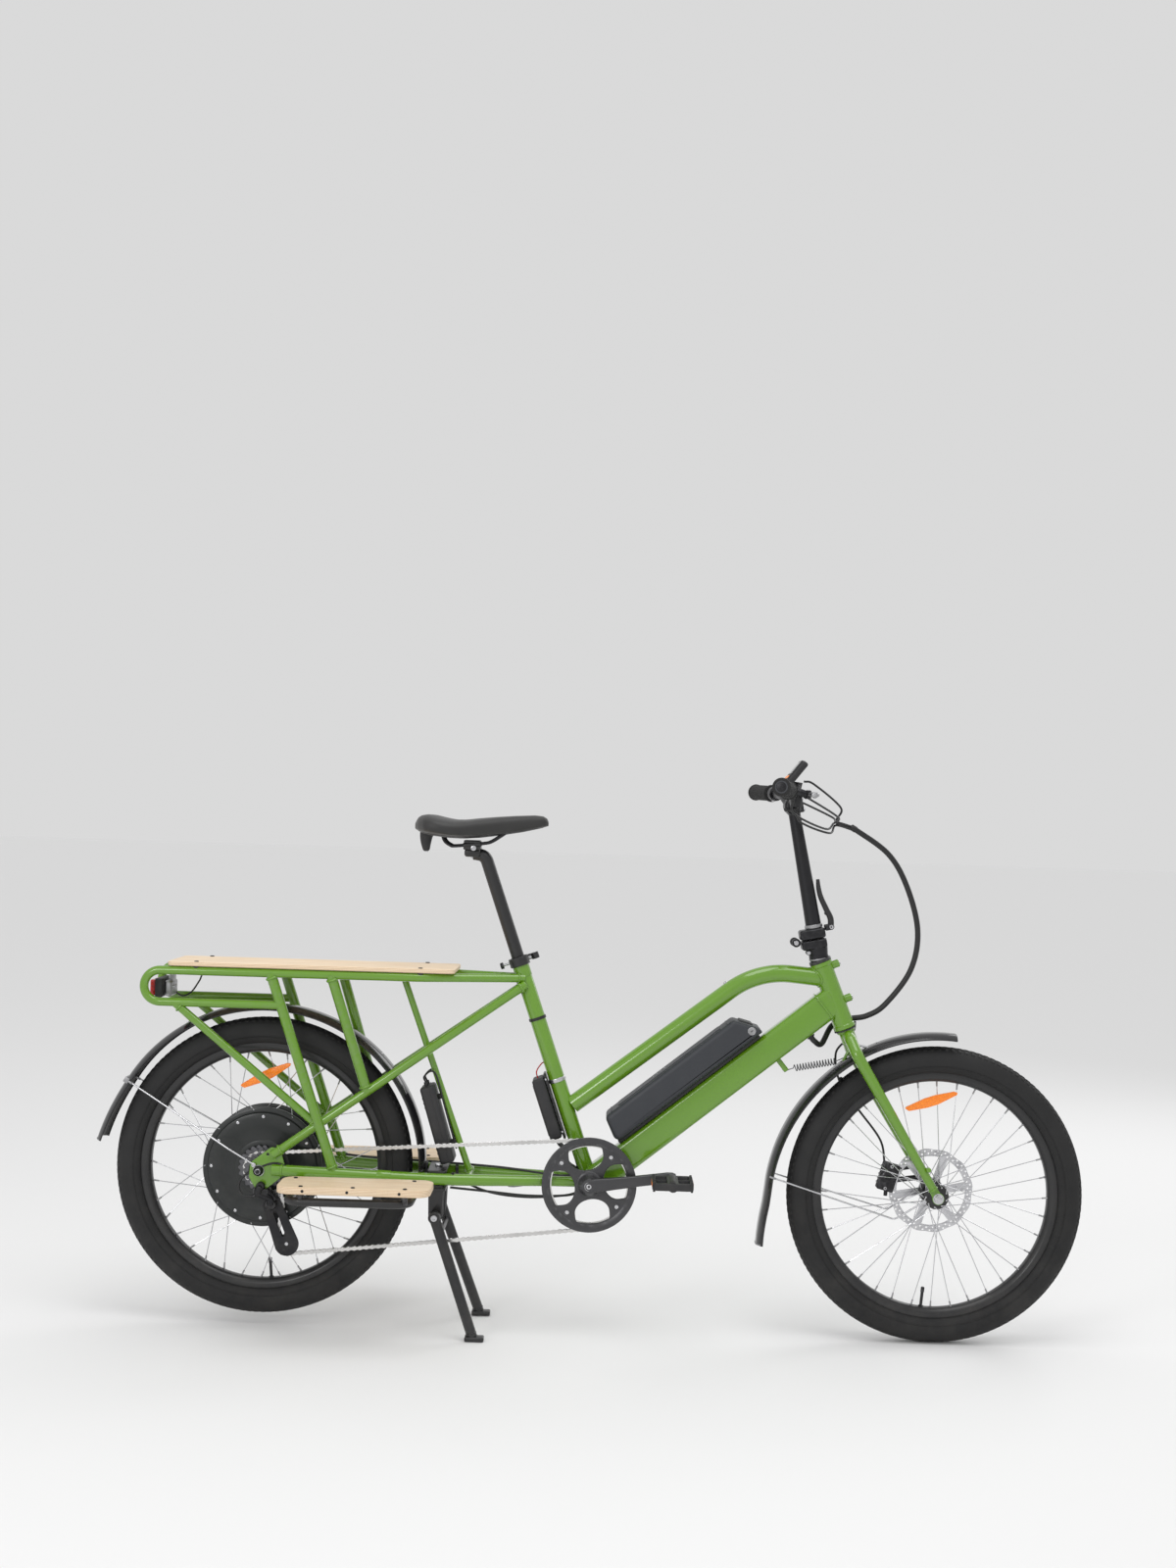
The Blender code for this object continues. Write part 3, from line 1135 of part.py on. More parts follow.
def make_brake_levers():
    for side, word in ((-1, "right"), (1, "left")):
        name, body = f"brake_lever_{word}", f"{word}_brake_lever"
        pin = lever_pin(side)
        eye = tube([pin + Vector((0, 0, -0.0058)), pin + Vector((0, 0, 0.0058))], 0.0065, 12)
        hole = tube([pin + Vector((0, 0, -0.02)), pin + Vector((0, 0, 0.02))], 0.0025 + RUNNING_GAP, 8)
        heading = bar_heading(side)
        root = pin + 0.012 * heading + Vector((0.010, 0, 0))
        elbow = pin + 0.045 * heading + Vector((0.022, 0, -0.002))
        tip = pin + LEVER_LENGTH * heading + Vector((0.024, 0, -0.006))
        path = rounded([pin, root, elbow, tip], 0.030, 1)
        blade = tube(path, [0.0048] * (len(path) - 2) + [0.0042, 0.0060], 8)
        node(name, welded(eye, add=[blade], cut=[hole]), "dark_metal", body)


def shifter_pin():
    return bar_point(-(PERCH_SPOT - 0.034)) + Vector((0.010, 0, -0.026))


def make_shift_lever():
    pin = shifter_pin()
    top = pin.z - 0.006 - RUNNING_GAP
    disc = tube([Vector((pin.x, pin.y, top)), Vector((pin.x, pin.y, top - 0.005))], 0.0100, 14)
    arm_start = Vector((pin.x, pin.y, top - 0.0025))
    paddle_end = arm_start + Vector((-0.022, -0.016, -0.003))
    arm = flat_bar(arm_start, paddle_end, 0.011, 0.013, 0.0042)
    node("shift_lever", welded(disc, add=[arm]), "black_plastic", "gear_lever")


def spoke_line(axle, side, hub_angle, rim_angle, flange_radius, flange_y, offset):
    """A spoke from its flange to just short of the rim."""
    reach = RIM_INNER_RADIUS * math.cos(math.pi / WHEEL_SEGMENTS) - GAP
    start = polar(axle, hub_angle, flange_radius, side * (flange_y + offset))
    end = polar(axle, rim_angle, reach, side * (0.0040 + offset * 0.6))
    return start, end


def spokes(axle, flange_radius, flange_y, lead):
    """All spokes of a wheel, as lines: half lead and half trail, outside and inside their flange."""
    lines = []
    step = 360 / SPOKES
    for k in range(SPOKES):
        side = 1 if k % 2 else -1
        leading = (k // 2) % 2 == 0
        rim_angle = step * k
        hub_angle = rim_angle - lead if leading else rim_angle + lead
        offset = SPOKE_SPREAD if leading else -SPOKE_SPREAD
        lines.append(spoke_line(axle, side, hub_angle, rim_angle, flange_radius, flange_y, offset))
    return lines


def gathered(shapes):
    """Separate shapes as one, for a single join."""
    whole = bmesh.new()
    for shape in shapes:
        mesh = bpy.data.meshes.new("part")
        shape.to_mesh(mesh)
        whole.from_mesh(mesh)
        shape.free()
        bpy.data.meshes.remove(mesh)
    return whole


def make_tyre(name, axle, body):
    base = RIM_OUTER_RADIUS + GAP
    height = TYRE_RADIUS - base
    half = TYRE_WIDTH / 2
    side = [(0.0, 0.60), (0.36, 1.0), (0.78, 0.78), (1.0, 0.24)]
    profile = [(base + height * up, half * out) for up, out in side]
    profile += [(r, -y) for r, y in reversed(profile)]
    node(name, turned(profile, axle, Vector((0, 1, 0)), WHEEL_SEGMENTS), "rubber", body)


def make_rim(name, axle, body):
    half = RIM_WIDTH / 2
    step = 0.011
    profile = [
        (RIM_OUTER_RADIUS, -half),
        (RIM_OUTER_RADIUS, half),
        (RIM_OUTER_RADIUS - step, half),
        (RIM_INNER_RADIUS, half * 0.45),
        (RIM_INNER_RADIUS, -half * 0.45),
        (RIM_OUTER_RADIUS - step, -half),
    ]
    node(name, turned(profile, axle, Vector((0, 1, 0)), WHEEL_SEGMENTS), "black_paint", body)


def make_rotor(name, axle, body, radius, bore, y):
    flat = ROTOR_THICKNESS / 2
    band = turned(
        [(radius - 0.019, y - flat), (radius, y - flat), (radius, y + flat), (radius - 0.019, y + flat)],
        axle,
        Vector((0, 1, 0)),
        18,
    )
    ring = turned(
        [(bore, y - flat), (bore + 0.011, y - flat), (bore + 0.011, y + flat), (bore, y + flat)],
        axle,
        Vector((0, 1, 0)),
        12,
    )
    arms = []
    for k in range(5):
        start = polar(axle, 72 * k, bore + 0.007, y)
        end = polar(axle, 72 * k + 24, radius - 0.010, y)
        arms.append(flat_bar(start, end, ROTOR_THICKNESS * 0.98, ROTOR_THICKNESS * 0.98, 0.008))
    node(name, welded(band, add=[ring, *arms]), "steel", body)


def make_front_hub():
    radius, y = FRONT_FLANGE
    half = FRONT_HUB_WIDTH / 2
    bore = 0.0048 + RUNNING_GAP
    t = 0.003
    profile = [
        (bore, -half),
        (0.0095, -half),
        (0.0120, -y - t - 0.002),
        (radius, -y - t),
        (radius, -y + t),
        (0.0165, -y + t + 0.003),
        (0.0165, y - t - 0.003),
        (radius, y - t),
        (radius, y + t),
        (0.0165, y + t),
        (0.0165, 0.0450),
        (0.0095, half),
        (bore, half),
    ]
    hub = turned(profile, FRONT_AXLE, Vector((0, 1, 0)), 12)
    lines = spokes(FRONT_AXLE, radius - 0.004, y, 58)
    laced = gathered([tube([a, b], SPOKE_RADIUS, 3) for a, b in lines])
    node("front_hub", welded(hub, add=[laced]), "dark_metal", "front_wheel")
    make_reflector("front_reflector", FRONT_AXLE, "front_wheel", lines, 93.5, 0.0414, 19, (0.0035, 0.0105))
    make_rotor("front_rotor", FRONT_AXLE, "front_wheel", FRONT_ROTOR_RADIUS, 0.0169, FRONT_ROTOR_Y)


def make_hub_motor():
    radius, y = REAR_FLANGE
    bore = REAR_AXLE_RADIUS + RUNNING_GAP
    side = MOTOR_HALF_WIDTH
    t = 0.003
    profile = [
        (bore, -side - 0.004),
        (0.0300, -side - 0.004),
        (0.0420, -side),
        (0.1080, -side + 0.002),
        (radius - 0.006, -y - t),
        (MOTOR_RADIUS, -y - t),
        (MOTOR_RADIUS, y + t),
        (radius - 0.006, y + t),
        (0.1080, side - 0.002),
        (0.0420, side),
        (0.0200, side + 0.006),
        (0.0200, REAR_ROTOR_Y + 0.003),
        (0.0165, DROPOUT_INNER - RUNNING_GAP - 0.001),
        (bore, DROPOUT_INNER - RUNNING_GAP - 0.001),
    ]
    shell = turned(profile, REAR_AXLE, Vector((0, 1, 0)), 18)
    lines = spokes(REAR_AXLE, radius, y, 20)
    laced = gathered([tube([a, b], SPOKE_RADIUS, 3) for a, b in lines])
    node("hub_motor", welded(shell, add=[laced]), "dark_metal", "rear_wheel")
    make_reflector("rear_reflector", REAR_AXLE, "rear_wheel", lines, 90.4, 0.0492, 26, (0.0070, 0.0145))
    make_rotor("rear_rotor", REAR_AXLE, "rear_wheel", REAR_ROTOR_RADIUS, 0.0210, REAR_ROTOR_Y)


def make_reflector(name, axle, body, laced, angle, inset, tilt, depth):
    """A lens-shaped reflector clipped over the spokes of the right side, with a groove for each."""
    centre = polar(axle, angle, RIM_INNER_RADIUS - inset)
    along = Vector((math.cos(math.radians(tilt)), 0, math.sin(math.radians(tilt))))
    up = Vector((-along.z, 0, along.x))
    outline = []
    for k in range(14):
        turn = 2 * math.pi * k / 14
        across_lens, up_lens = REFLECTOR_HALF_LENGTH * math.cos(turn), REFLECTOR_HALF_HEIGHT * math.sin(turn)
        outline.append(centre + across_lens * along + up_lens * up)
    near, far = depth
    close = [(a, b) for a, b in laced if (a.lerp(b, 0.7) - centre).length < 0.09]
    near_spokes = [tube([a, b], SPOKE_RADIUS + 1.5 * GAP, 3) for a, b in close]
    lens = plate(outline, -near, -far)
    node(name, welded(lens, cut=[gathered(near_spokes)]), "orange_lens", body)


def make_rear_axle():
    reach = DROPOUT_OUTER + 0.016
    rod = crossbar(REAR_AXLE, -reach, reach, REAR_AXLE_RADIUS, 8)
    near, far = DROPOUT_OUTER + GAP, DROPOUT_OUTER + 0.011
    nuts = [crossbar(REAR_AXLE, side * near, side * far, 0.0100, 6) for side in (-1, 1)]
    node("rear_axle", welded(rod, add=nuts), "dark_metal")


def caliper(axle, angle, radius, y, rotor_y, size, slot_half):
    """A block over a rotor's edge, with the slot that the rotor runs in."""
    centre = polar(axle, angle, radius, y)
    body = softened(box(centre, size, angle), 0.003)
    inward = polar(axle, angle, radius - 0.022, rotor_y)
    slot = box(inward, (size[0] * 1.3, 2 * slot_half, size[2] * 1.5), angle)
    return body, slot


def make_front_caliper():
    body, slot = caliper(FRONT_AXLE, 164, 0.096, 0.0408, FRONT_ROTOR_Y, (0.040, 0.024, 0.062), 0.0032)
    arm_start = polar(FRONT_AXLE, 156, 0.098, 0.0465)
    arm_end = FRONT_AXLE + Vector((-0.028, 0.0465, 0.052))
    arm = flat_bar(arm_start, arm_end, 0.0048, 0.0048, 0.016)
    low_end = FRONT_AXLE + Vector((-0.012, 0.0465, 0.028))
    low_arm = flat_bar(polar(FRONT_AXLE, 170, 0.094, 0.0465), low_end, 0.0048, 0.0048, 0.012)
    hose_start = polar(FRONT_AXLE, 152, 0.112, 0.046)
    hose_end = CROWN + Vector((-0.012, 0.062, -0.060))
    hose_path = [hose_start, hose_start + Vector((-0.010, 0.010, 0.050))]
    hose_path += [hose_end + Vector((0.012, 0.010, -0.06)), hose_end]
    hose = tube(rounded(hose_path, 0.06, 3), 0.0024, 6)
    shape = welded(body, add=[arm, low_arm, hose], cut=[slot, fork_leg(1, GAP)])
    node("front_caliper", shape, "black_paint", "steering")


def make_rear_caliper():
    body, slot = caliper(REAR_AXLE, 26, 0.086, 0.0525, REAR_ROTOR_Y, (0.034, 0.021, 0.046), 0.0030)
    foot = box(REAR_AXLE + Vector((0.082, 0.0640, 0.020)), (0.020, 0.020, 0.016))
    cutters = [slot, chainstay_tube(1, GAP)]
    node("rear_caliper", welded(body, add=[foot], cut=cutters), "black_paint")


def chain_circles():
    """The wheels that the chain runs round, in its own direction: centre, radius and turning sense."""
    return [
        (BRACKET, CHAINRING_RADIUS, -1),
        (TENSION_PULLEY, PULLEY_RADIUS, -1),
        (GUIDE_PULLEY, PULLEY_RADIUS, 1),
        (REAR_AXLE, COG_RADIUS, -1),
    ]


def chain_loop():
    """The chain's path as (point, left-hand normal, on a wheel) along tangents and arcs."""
    circles = chain_circles()
    runs = []
    for (a, ra, sa), (b, rb, sb) in zip(circles, circles[1:] + circles[:1]):
        gap = b - a
        delta = sb * rb - sa * ra
        heading = math.atan2(gap.z, gap.x) - math.asin(delta / gap.length)
        normal = Vector((-math.sin(heading), 0, math.cos(heading)))
        runs.append((a - sa * ra * normal, b - sb * rb * normal, normal))
    path = []
    for i, (centre, radius, sense) in enumerate(circles):
        arrive, leave = runs[i - 1], runs[i]
        first = math.atan2(arrive[1].z - centre.z, arrive[1].x - centre.x)
        last = math.atan2(leave[0].z - centre.z, leave[0].x - centre.x)
        sweep = (last - first) * sense % (2 * math.pi)
        steps = max(3, round(sweep * (7 if radius > 0.05 else 3) / math.pi))
        for k in range(steps + 1):
            angle = first + sense * sweep * k / steps
            outward = Vector((math.cos(angle), 0, math.sin(angle)))
            path.append((centre + radius * outward, -sense * outward))
    return path, runs


def make_chain():
    path, runs = chain_loop()
    bands = []
    for side in (-1, 1):
        near = -CHAIN_LINE + side * CHAIN_INNER_HALF
        far = -CHAIN_LINE + side * CHAIN_OUTER_HALF
        rings = []
        for point, normal in path:
            half = CHAIN_HALF_HEIGHT
            edges = [(half, near), (half, far), (-half, far), (-half, near)]
            rings.append([across(point + h * normal, y) for h, y in edges])
        shape = bmesh.new()
        rows = [[shape.verts.new(point) for point in ring] for ring in rings]
        for row, following in zip(rows, rows[1:] + rows[:1]):
            for i in range(4):
                j = (i + 1) % 4
                shape.faces.new((row[i], row[j], following[j], following[i]))
        bands.append(closed_shape(shape))
    pins = []
    for start, end, _ in (runs[0], runs[3]):
        count = int((end - start).length / (12 * CHAIN_PITCH))
        for k in range(1, count):
            spot = start.lerp(end, k / count)
            pins.append(crossbar(spot, -CHAIN_LINE - 0.0022, -CHAIN_LINE + 0.0022, 0.0022, 6))
    node("chain", welded(bands[0], add=[bands[1], gathered(pins)]), "steel")


def make_cassette():
    bore = REAR_AXLE_RADIUS + RUNNING_GAP
    inner = MOTOR_HALF_WIDTH + 0.004 + RUNNING_GAP
    line = CHAIN_LINE
    cog = COG_HALF_THICKNESS
    core = COG_RADIUS - 0.0070
    outer = DROPOUT_INNER - RUNNING_GAP
    profile = [
        (bore, -inner),
        (0.0480, -inner),
        (0.0480, -inner - 0.0018),
        (core, -inner - 0.0018),
        (core, -line + cog),
        (COG_RADIUS + 0.0030, -line + cog),
        (COG_RADIUS + 0.0030, -line - cog),
        (core, -line - cog),
        (core, -line - 0.0046),
        (core + 0.0020, -line - 0.0046),
        (core + 0.0020, -line - 0.0064),
        (core - 0.0040, -line - 0.0064),
        (core - 0.0060, -outer),
        (bore, -outer),
    ]
    node("cassette", turned(profile, REAR_AXLE, Vector((0, 1, 0)), 14), "dark_metal", "sprockets")


def make_derailleur():
    hanger = REAR_AXLE + Vector((0.006, 0, -0.031))
    outer = -(DROPOUT_OUTER + GAP)
    bolt = crossbar(hanger, outer, outer - 0.012, 0.0085, 12)
    knuckle = crossbar(GUIDE_PULLEY, outer - 0.002, -(CHAIN_LINE + 0.0078), 0.0125, 14)
    link = flat_bar(
        across(hanger, outer - 0.006), across(GUIDE_PULLEY, outer - 0.004), 0.010, 0.010, 0.019, 0.002
    )
    node("derailleur_body", welded(bolt, add=[link, knuckle]), "black_paint")

    plates = []
    for y0, y1 in ((0.0060, 0.0075), (-0.0062, -0.0048)):
        rim = []
        for centre, start in ((GUIDE_PULLEY, 0), (TENSION_PULLEY, 180)):
            line = (TENSION_PULLEY - GUIDE_PULLEY).normalized()
            base = math.degrees(math.atan2(line.z, line.x)) + 90
            for i in range(5):
                rim.append(polar(centre, base + start + 45 * i, 0.0125))
        plates.append(plate(rim, -CHAIN_LINE - y0, -CHAIN_LINE - y1))
    wheels = []
    line_y = -CHAIN_LINE
    for centre in (GUIDE_PULLEY, TENSION_PULLEY):
        wheels.append(crossbar(centre, line_y - 0.0010, line_y + 0.0010, PULLEY_RADIUS + 0.0015, 14))
        wheels.append(crossbar(centre, line_y - 0.0066, line_y + 0.0056, 0.0050, 8))
    cage = welded(plates[0], add=[*wheels, plates[1]])
    node("derailleur_cage", cage, "black_paint", "cage")


def make_crankset():
    outer = -CRANK_OUTER
    chain_y = -CHAIN_LINE
    flat = COG_HALF_THICKNESS
    outer_radius = CHAINRING_RADIUS + 0.0022
    band = [
        (0.0775, chain_y - flat),
        (outer_radius, chain_y - flat),
        (outer_radius, chain_y + flat),
        (0.0775, chain_y + flat),
    ]
    ring = turned(band, BRACKET, Vector((0, 1, 0)), 30)
    guard_y = chain_y - CHAIN_OUTER_HALF - 0.0030
    guard_face = guard_y - 0.0025
    guard_band = [(0.0790, guard_y), (GUARD_RADIUS, guard_y), (GUARD_RADIUS, guard_face), (0.0790, guard_face)]
    guard = turned(guard_band, BRACKET, Vector((0, 1, 0)), 24)
    arms = []
    for k in range(4):
        angle = CRANK_ANGLE + 45 + 90 * k
        middle_y = (chain_y + guard_y - 0.0025) / 2
        arms.append(
            flat_bar(
                polar(BRACKET, angle, 0.012, middle_y),
                polar(BRACKET, angle, 0.0845, middle_y),
                abs(guard_y - 0.0025 - chain_y) + 0.0012,
                abs(guard_y - 0.0025 - chain_y) + 0.0012,
                0.022,
            )
        )
    boss = crossbar(BRACKET, chain_y + 0.003, outer - 0.002, 0.0235, 14)
    spindle = crossbar(BRACKET, -CRANK_OUTER + 0.004, CRANK_OUTER - 0.004, SPINDLE_RADIUS, 12)
    left_boss = crossbar(BRACKET, 0.046, CRANK_OUTER + 0.002, 0.0165, 12)
    blades = []
    for side, sense in ((-1, 1), (1, -1)):
        end = BRACKET + sense * CRANK_LENGTH * PEDAL_CRANK
        middle = side * (CRANK_INNER + CRANK_THICKNESS / 2)
        blades.append(
            swept(
                [across(BRACKET, middle), across(end, middle)],
                [arm_section(CRANK_THICKNESS, 0.030), arm_section(CRANK_THICKNESS * 0.92, 0.022)],
            )
        )
        blades.append(crossbar(end, side * (CRANK_INNER + 0.001), side * (CRANK_OUTER + 0.002), 0.0130, 12))
        pin_start, pin_end = CRANK_INNER + 0.002, PEDAL_INNER + PEDAL_WIDTH - 0.010
        blades.append(crossbar(end, side * pin_start, side * pin_end, 0.0055, 8))
    parts = [boss, left_boss, ring, guard, *arms, *blades]
    node("crankset", welded(spindle, add=parts), "black_paint", "cranks")


def arm_section(width, height):
    w, h = width / 2, height / 2
    return [(w, h * 0.55), (w * 0.55, h), (-w * 0.55, h), (-w, h * 0.55), (-w, -h * 0.55), (-w * 0.55, -h),
            (w * 0.55, -h), (w, -h * 0.55)]


def make_pedals():
    for side, sense, word in ((-1, 1, "right"), (1, -1, "left")):
        name, body = f"pedal_{word}", f"{word}_pedal"
        centre = BRACKET + sense * CRANK_LENGTH * PEDAL_CRANK
        middle = side * (PEDAL_INNER + PEDAL_WIDTH / 2)
        block = softened(box(across(centre, middle), (PEDAL_LENGTH, PEDAL_WIDTH, PEDAL_HEIGHT)), 0.005)
        bore_length = PEDAL_WIDTH / 2 + 0.02
        bore = crossbar(centre, middle - bore_length, middle + bore_length, 0.0055 + RUNNING_GAP, 12)
        windows = []
        for end in (-1, 1):
            for share in (-1, 1):
                spot = centre + Vector((end * PEDAL_LENGTH * 0.26, middle + share * PEDAL_WIDTH * 0.22, 0))
                windows.append(box(spot, (PEDAL_LENGTH * 0.24, PEDAL_WIDTH * 0.26, PEDAL_HEIGHT * 2)))
        node(name, welded(block, cut=[bore, *windows]), "black_plastic", body)


def make_stand():
    pivot = STAND_PIVOT
    stay = chainstay_path(1)[1]
    high = stay.z + CHAINSTAY_RADIUS + GAP
    low = high - 2 * CHAINSTAY_RADIUS - 2 * GAP
    half = 0.020
    top_plate = box(Vector((pivot.x, 0, high + 0.003)), (2 * half, 0.120, 0.006))
    low_plate = box(Vector((pivot.x, 0, low - 0.004)), (2 * half, 0.130, 0.006))
    bolt = tube([Vector((pivot.x, 0, low - 0.004)), Vector((pivot.x, 0, high + 0.0085))], 0.0055, 8)
    hanger = box(Vector((pivot.x, 0, (pivot.z - 0.014 + low) / 2)), (0.032, 0.056, low - pivot.z + 0.014))
    bore = crossbar(pivot, -0.05, 0.05, STAND_AXLE_RADIUS + RUNNING_GAP, 12)
    stays = [chainstay_tube(side, GAP) for side in (-1, 1)]
    node("stand_bracket", welded(hanger, add=[low_plate, top_plate, bolt], cut=[bore, *stays]), "black_paint")

    axle = crossbar(pivot, -STAND_TOP_SPREAD, STAND_TOP_SPREAD, STAND_AXLE_RADIUS, 12)
    extras = []
    trims = []
    foot_x = pivot.x + STAND_FOOT_FORWARD
    for side in (-1, 1):
        knee = across(pivot, side * STAND_TOP_SPREAD)
        foot = Vector((foot_x, side * STAND_FOOT_SPREAD, 0.006))
        extras.append(tube([knee, foot], STAND_LEG_RADIUS, 10))
        inner, outer = side * (STAND_TOP_SPREAD - 0.011), side * (STAND_TOP_SPREAD + 0.011)
        extras.append(crossbar(knee, inner, outer, 0.0125, 12))
        pad = Vector((foot_x + 0.004, side * (STAND_FOOT_SPREAD + 0.004), 0.005))
        extras.append(box(pad, (0.040, 0.022, 0.010)))
        trims.append(box(Vector((foot_x, side * STAND_FOOT_SPREAD, -0.020)), (0.10, 0.08, 0.040)))
    low = pivot.lerp(Vector((foot_x, 0, 0.006)), 0.145)
    spread = STAND_TOP_SPREAD + (STAND_FOOT_SPREAD - STAND_TOP_SPREAD) * 0.145
    extras.append(crossbar(low, -spread, spread, 0.0055, 10))
    node("kickstand", welded(axle, add=extras, cut=trims), "black_paint", "stand")


def smooth_path(points, spacing):
    """Points at an even spacing along a Catmull-Rom curve through the given ones."""
    ends = [2 * points[0] - points[1]] + list(points) + [2 * points[-1] - points[-2]]
    fine = []
    for p0, p1, p2, p3 in zip(ends, ends[1:], ends[2:], ends[3:]):
        for i in range(24):
            t = i / 24
            square = 2 * p0 - 5 * p1 + 4 * p2 - p3
            cube = 3 * p1 - p0 - 3 * p2 + p3
            fine.append(0.5 * (2 * p1 + (p2 - p0) * t + square * t**2 + cube * t**3))
    fine.append(points[-1])
    kept = [fine[0]]
    travelled = 0.0
    for a, b in zip(fine, fine[1:]):
        travelled += (b - a).length
        if travelled >= spacing and (points[-1] - b).length > spacing * 0.6:
            kept.append(b)
            travelled = 0.0
    kept.append(points[-1])
    return kept


def curve_tube(path, radius, resolution):
    """A round cord: a curve with a bevel and filled ends, turned into a shape."""
    curve = bpy.data.curves.new("cord", "CURVE")
    curve.dimensions = "3D"
    curve.bevel_depth = radius
    curve.bevel_resolution = resolution
    curve.use_fill_caps = True
    spline = curve.splines.new("POLY")
    spline.points.add(len(path) - 1)
    for spot, point in zip(spline.points, path):
        spot.co = (*point, 1.0)
    holder = bpy.data.objects.new("cord", curve)
    bpy.context.scene.collection.objects.link(holder)
    graph = bpy.context.evaluated_depsgraph_get()
    shape = bmesh.new()
    shape.from_mesh(holder.evaluated_get(graph).to_mesh())
    bpy.data.objects.remove(holder)
    bpy.data.curves.remove(curve)
    return closed_shape(shape)


def loom_route():
    port = down_tube_point(0.563, -DOWN_TUBE_HEIGHT / 2 - GAP)
    start = BAR_CENTRE + Vector((0.0195 + 0.0012, 0, 0.002))
    return [
        start,
        start + Vector((0.020, 0.000, 0.004)),
        BAR_CENTRE + Vector((0.080, 0.004, -0.010)),
        BAR_CENTRE + Vector((0.134, 0.006, -0.046)),
        BAR_CENTRE + Vector((0.206, 0.008, -0.096)),
        BAR_CENTRE + Vector((0.248, 0.008, -0.165)),
        CROWN + Vector((0.1475, 0.008, 0.2145)),
        CROWN + Vector((0.1355, 0.010, 0.1310)),
        CROWN + Vector((0.0858, 0.018, 0.0568)),
        CROWN + Vector((0.0480, 0.029, 0.0290)),
        CROWN + Vector((0.0080, 0.0345, 0.0200)),
        CROWN + Vector((-0.0250, 0.0345, 0.0050)),
        port + Vector((0.026, 0.014, -0.018)),
        port - 0.014 * DOWN_UP,
        port,
    ]


def make_cable_loom():
    route = loom_route()
    path = smooth_path(route[:-1], 0.034) + route[-1:]
    node("cable_loom", curve_tube(path, LOOM_RADIUS, 2), "black_plastic", "steering")


def spring_path():
    """Hook, coils and hook of the stabiliser spring, from the frame's tab to the fork's."""
    line = (FORK_TAB - SPRING_ANCHOR).normalized()
    side = Vector((0, 1, 0))
    up = line.cross(side)
    beside = (0.002 + GAP + SPRING_WIRE_RADIUS) * side
    start = SPRING_ANCHOR + 0.003 * DOWN_UP + beside
    end = FORK_TAB + 0.003 * (CROWN - 0.030 * STEER_LINE - FORK_TAB).normalized() + beside
    coil_start, coil_end = SPRING_ANCHOR + 0.020 * line, FORK_TAB - 0.020 * line
    path = [start, start + 0.012 * line]
    total = SPRING_COILS * SPRING_POINTS_PER_COIL
    for i in range(total + 1):
        turn = 2 * math.pi * i / SPRING_POINTS_PER_COIL
        centre = coil_start.lerp(coil_end, i / total)
        path.append(centre + SPRING_COIL_RADIUS * (math.cos(turn) * side + math.sin(turn) * up))
    path += [end - 0.012 * line, end]
    return path


def least_self_gap(path, radius, apart):
    """The least distance between a tube's own surfaces, for points further apart than apart along it."""
    least = 1.0
    for i, a in enumerate(path):
        for b in path[i + apart:]:
            least = min(least, (a - b).length - 2 * radius)
    return least


def make_steering_spring():
    path = spring_path()
    gap = least_self_gap(path, SPRING_WIRE_RADIUS, SPRING_POINTS_PER_COIL - 2)
    print(f"steering_spring: least gap to itself {1000 * gap:.2f} mm")
    node("steering_spring", curve_tube(path, SPRING_WIRE_RADIUS, 1), "dark_metal", "steering")


def main():
    for old in list(bpy.data.objects):
        bpy.data.objects.remove(old)
    BODIES["right_brake_lever"] = ("folding_stem", lever_pin(-1))
    BODIES["left_brake_lever"] = ("folding_stem", lever_pin(1))
    BODIES["gear_lever"] = ("folding_stem", shifter_pin())
    add_bodies()
    make_main_frame()
    make_chainstays()
    make_side_frames()
    make_rack_rails()
    make_centre_strut()
    make_deck_board()
    make_footboards()
    make_rear_mudguard()
    make_front_mudguard()
    make_tail_light()
    make_controller_case()
    make_converter_case()
    make_battery()
    make_seat_clamp()
    make_seatpost()
    make_saddle()
    make_fork()
    make_front_axle()
    make_stem()
    make_handlebar()
    make_grips()
    make_display()
    make_brake_levers()
    make_shift_lever()
    make_tyre("front_tyre", FRONT_AXLE, "front_wheel")
    make_tyre("rear_tyre", REAR_AXLE, "rear_wheel")
    make_rim("front_rim", FRONT_AXLE, "front_wheel")
    make_rim("rear_rim", REAR_AXLE, "rear_wheel")
    make_front_hub()
    make_hub_motor()
    make_rear_axle()
    make_front_caliper()
    make_rear_caliper()
    make_chain()
    make_cassette()
    make_derailleur()
    make_crankset()
    make_pedals()
    make_stand()
    make_cable_loom()
    make_steering_spring()


main()
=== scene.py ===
from math import asin, atan2, copysign, cos, degrees, exp, hypot, pi, radians, sin, sqrt, tan

import bmesh
import bpy
from mathutils import Matrix, Vector


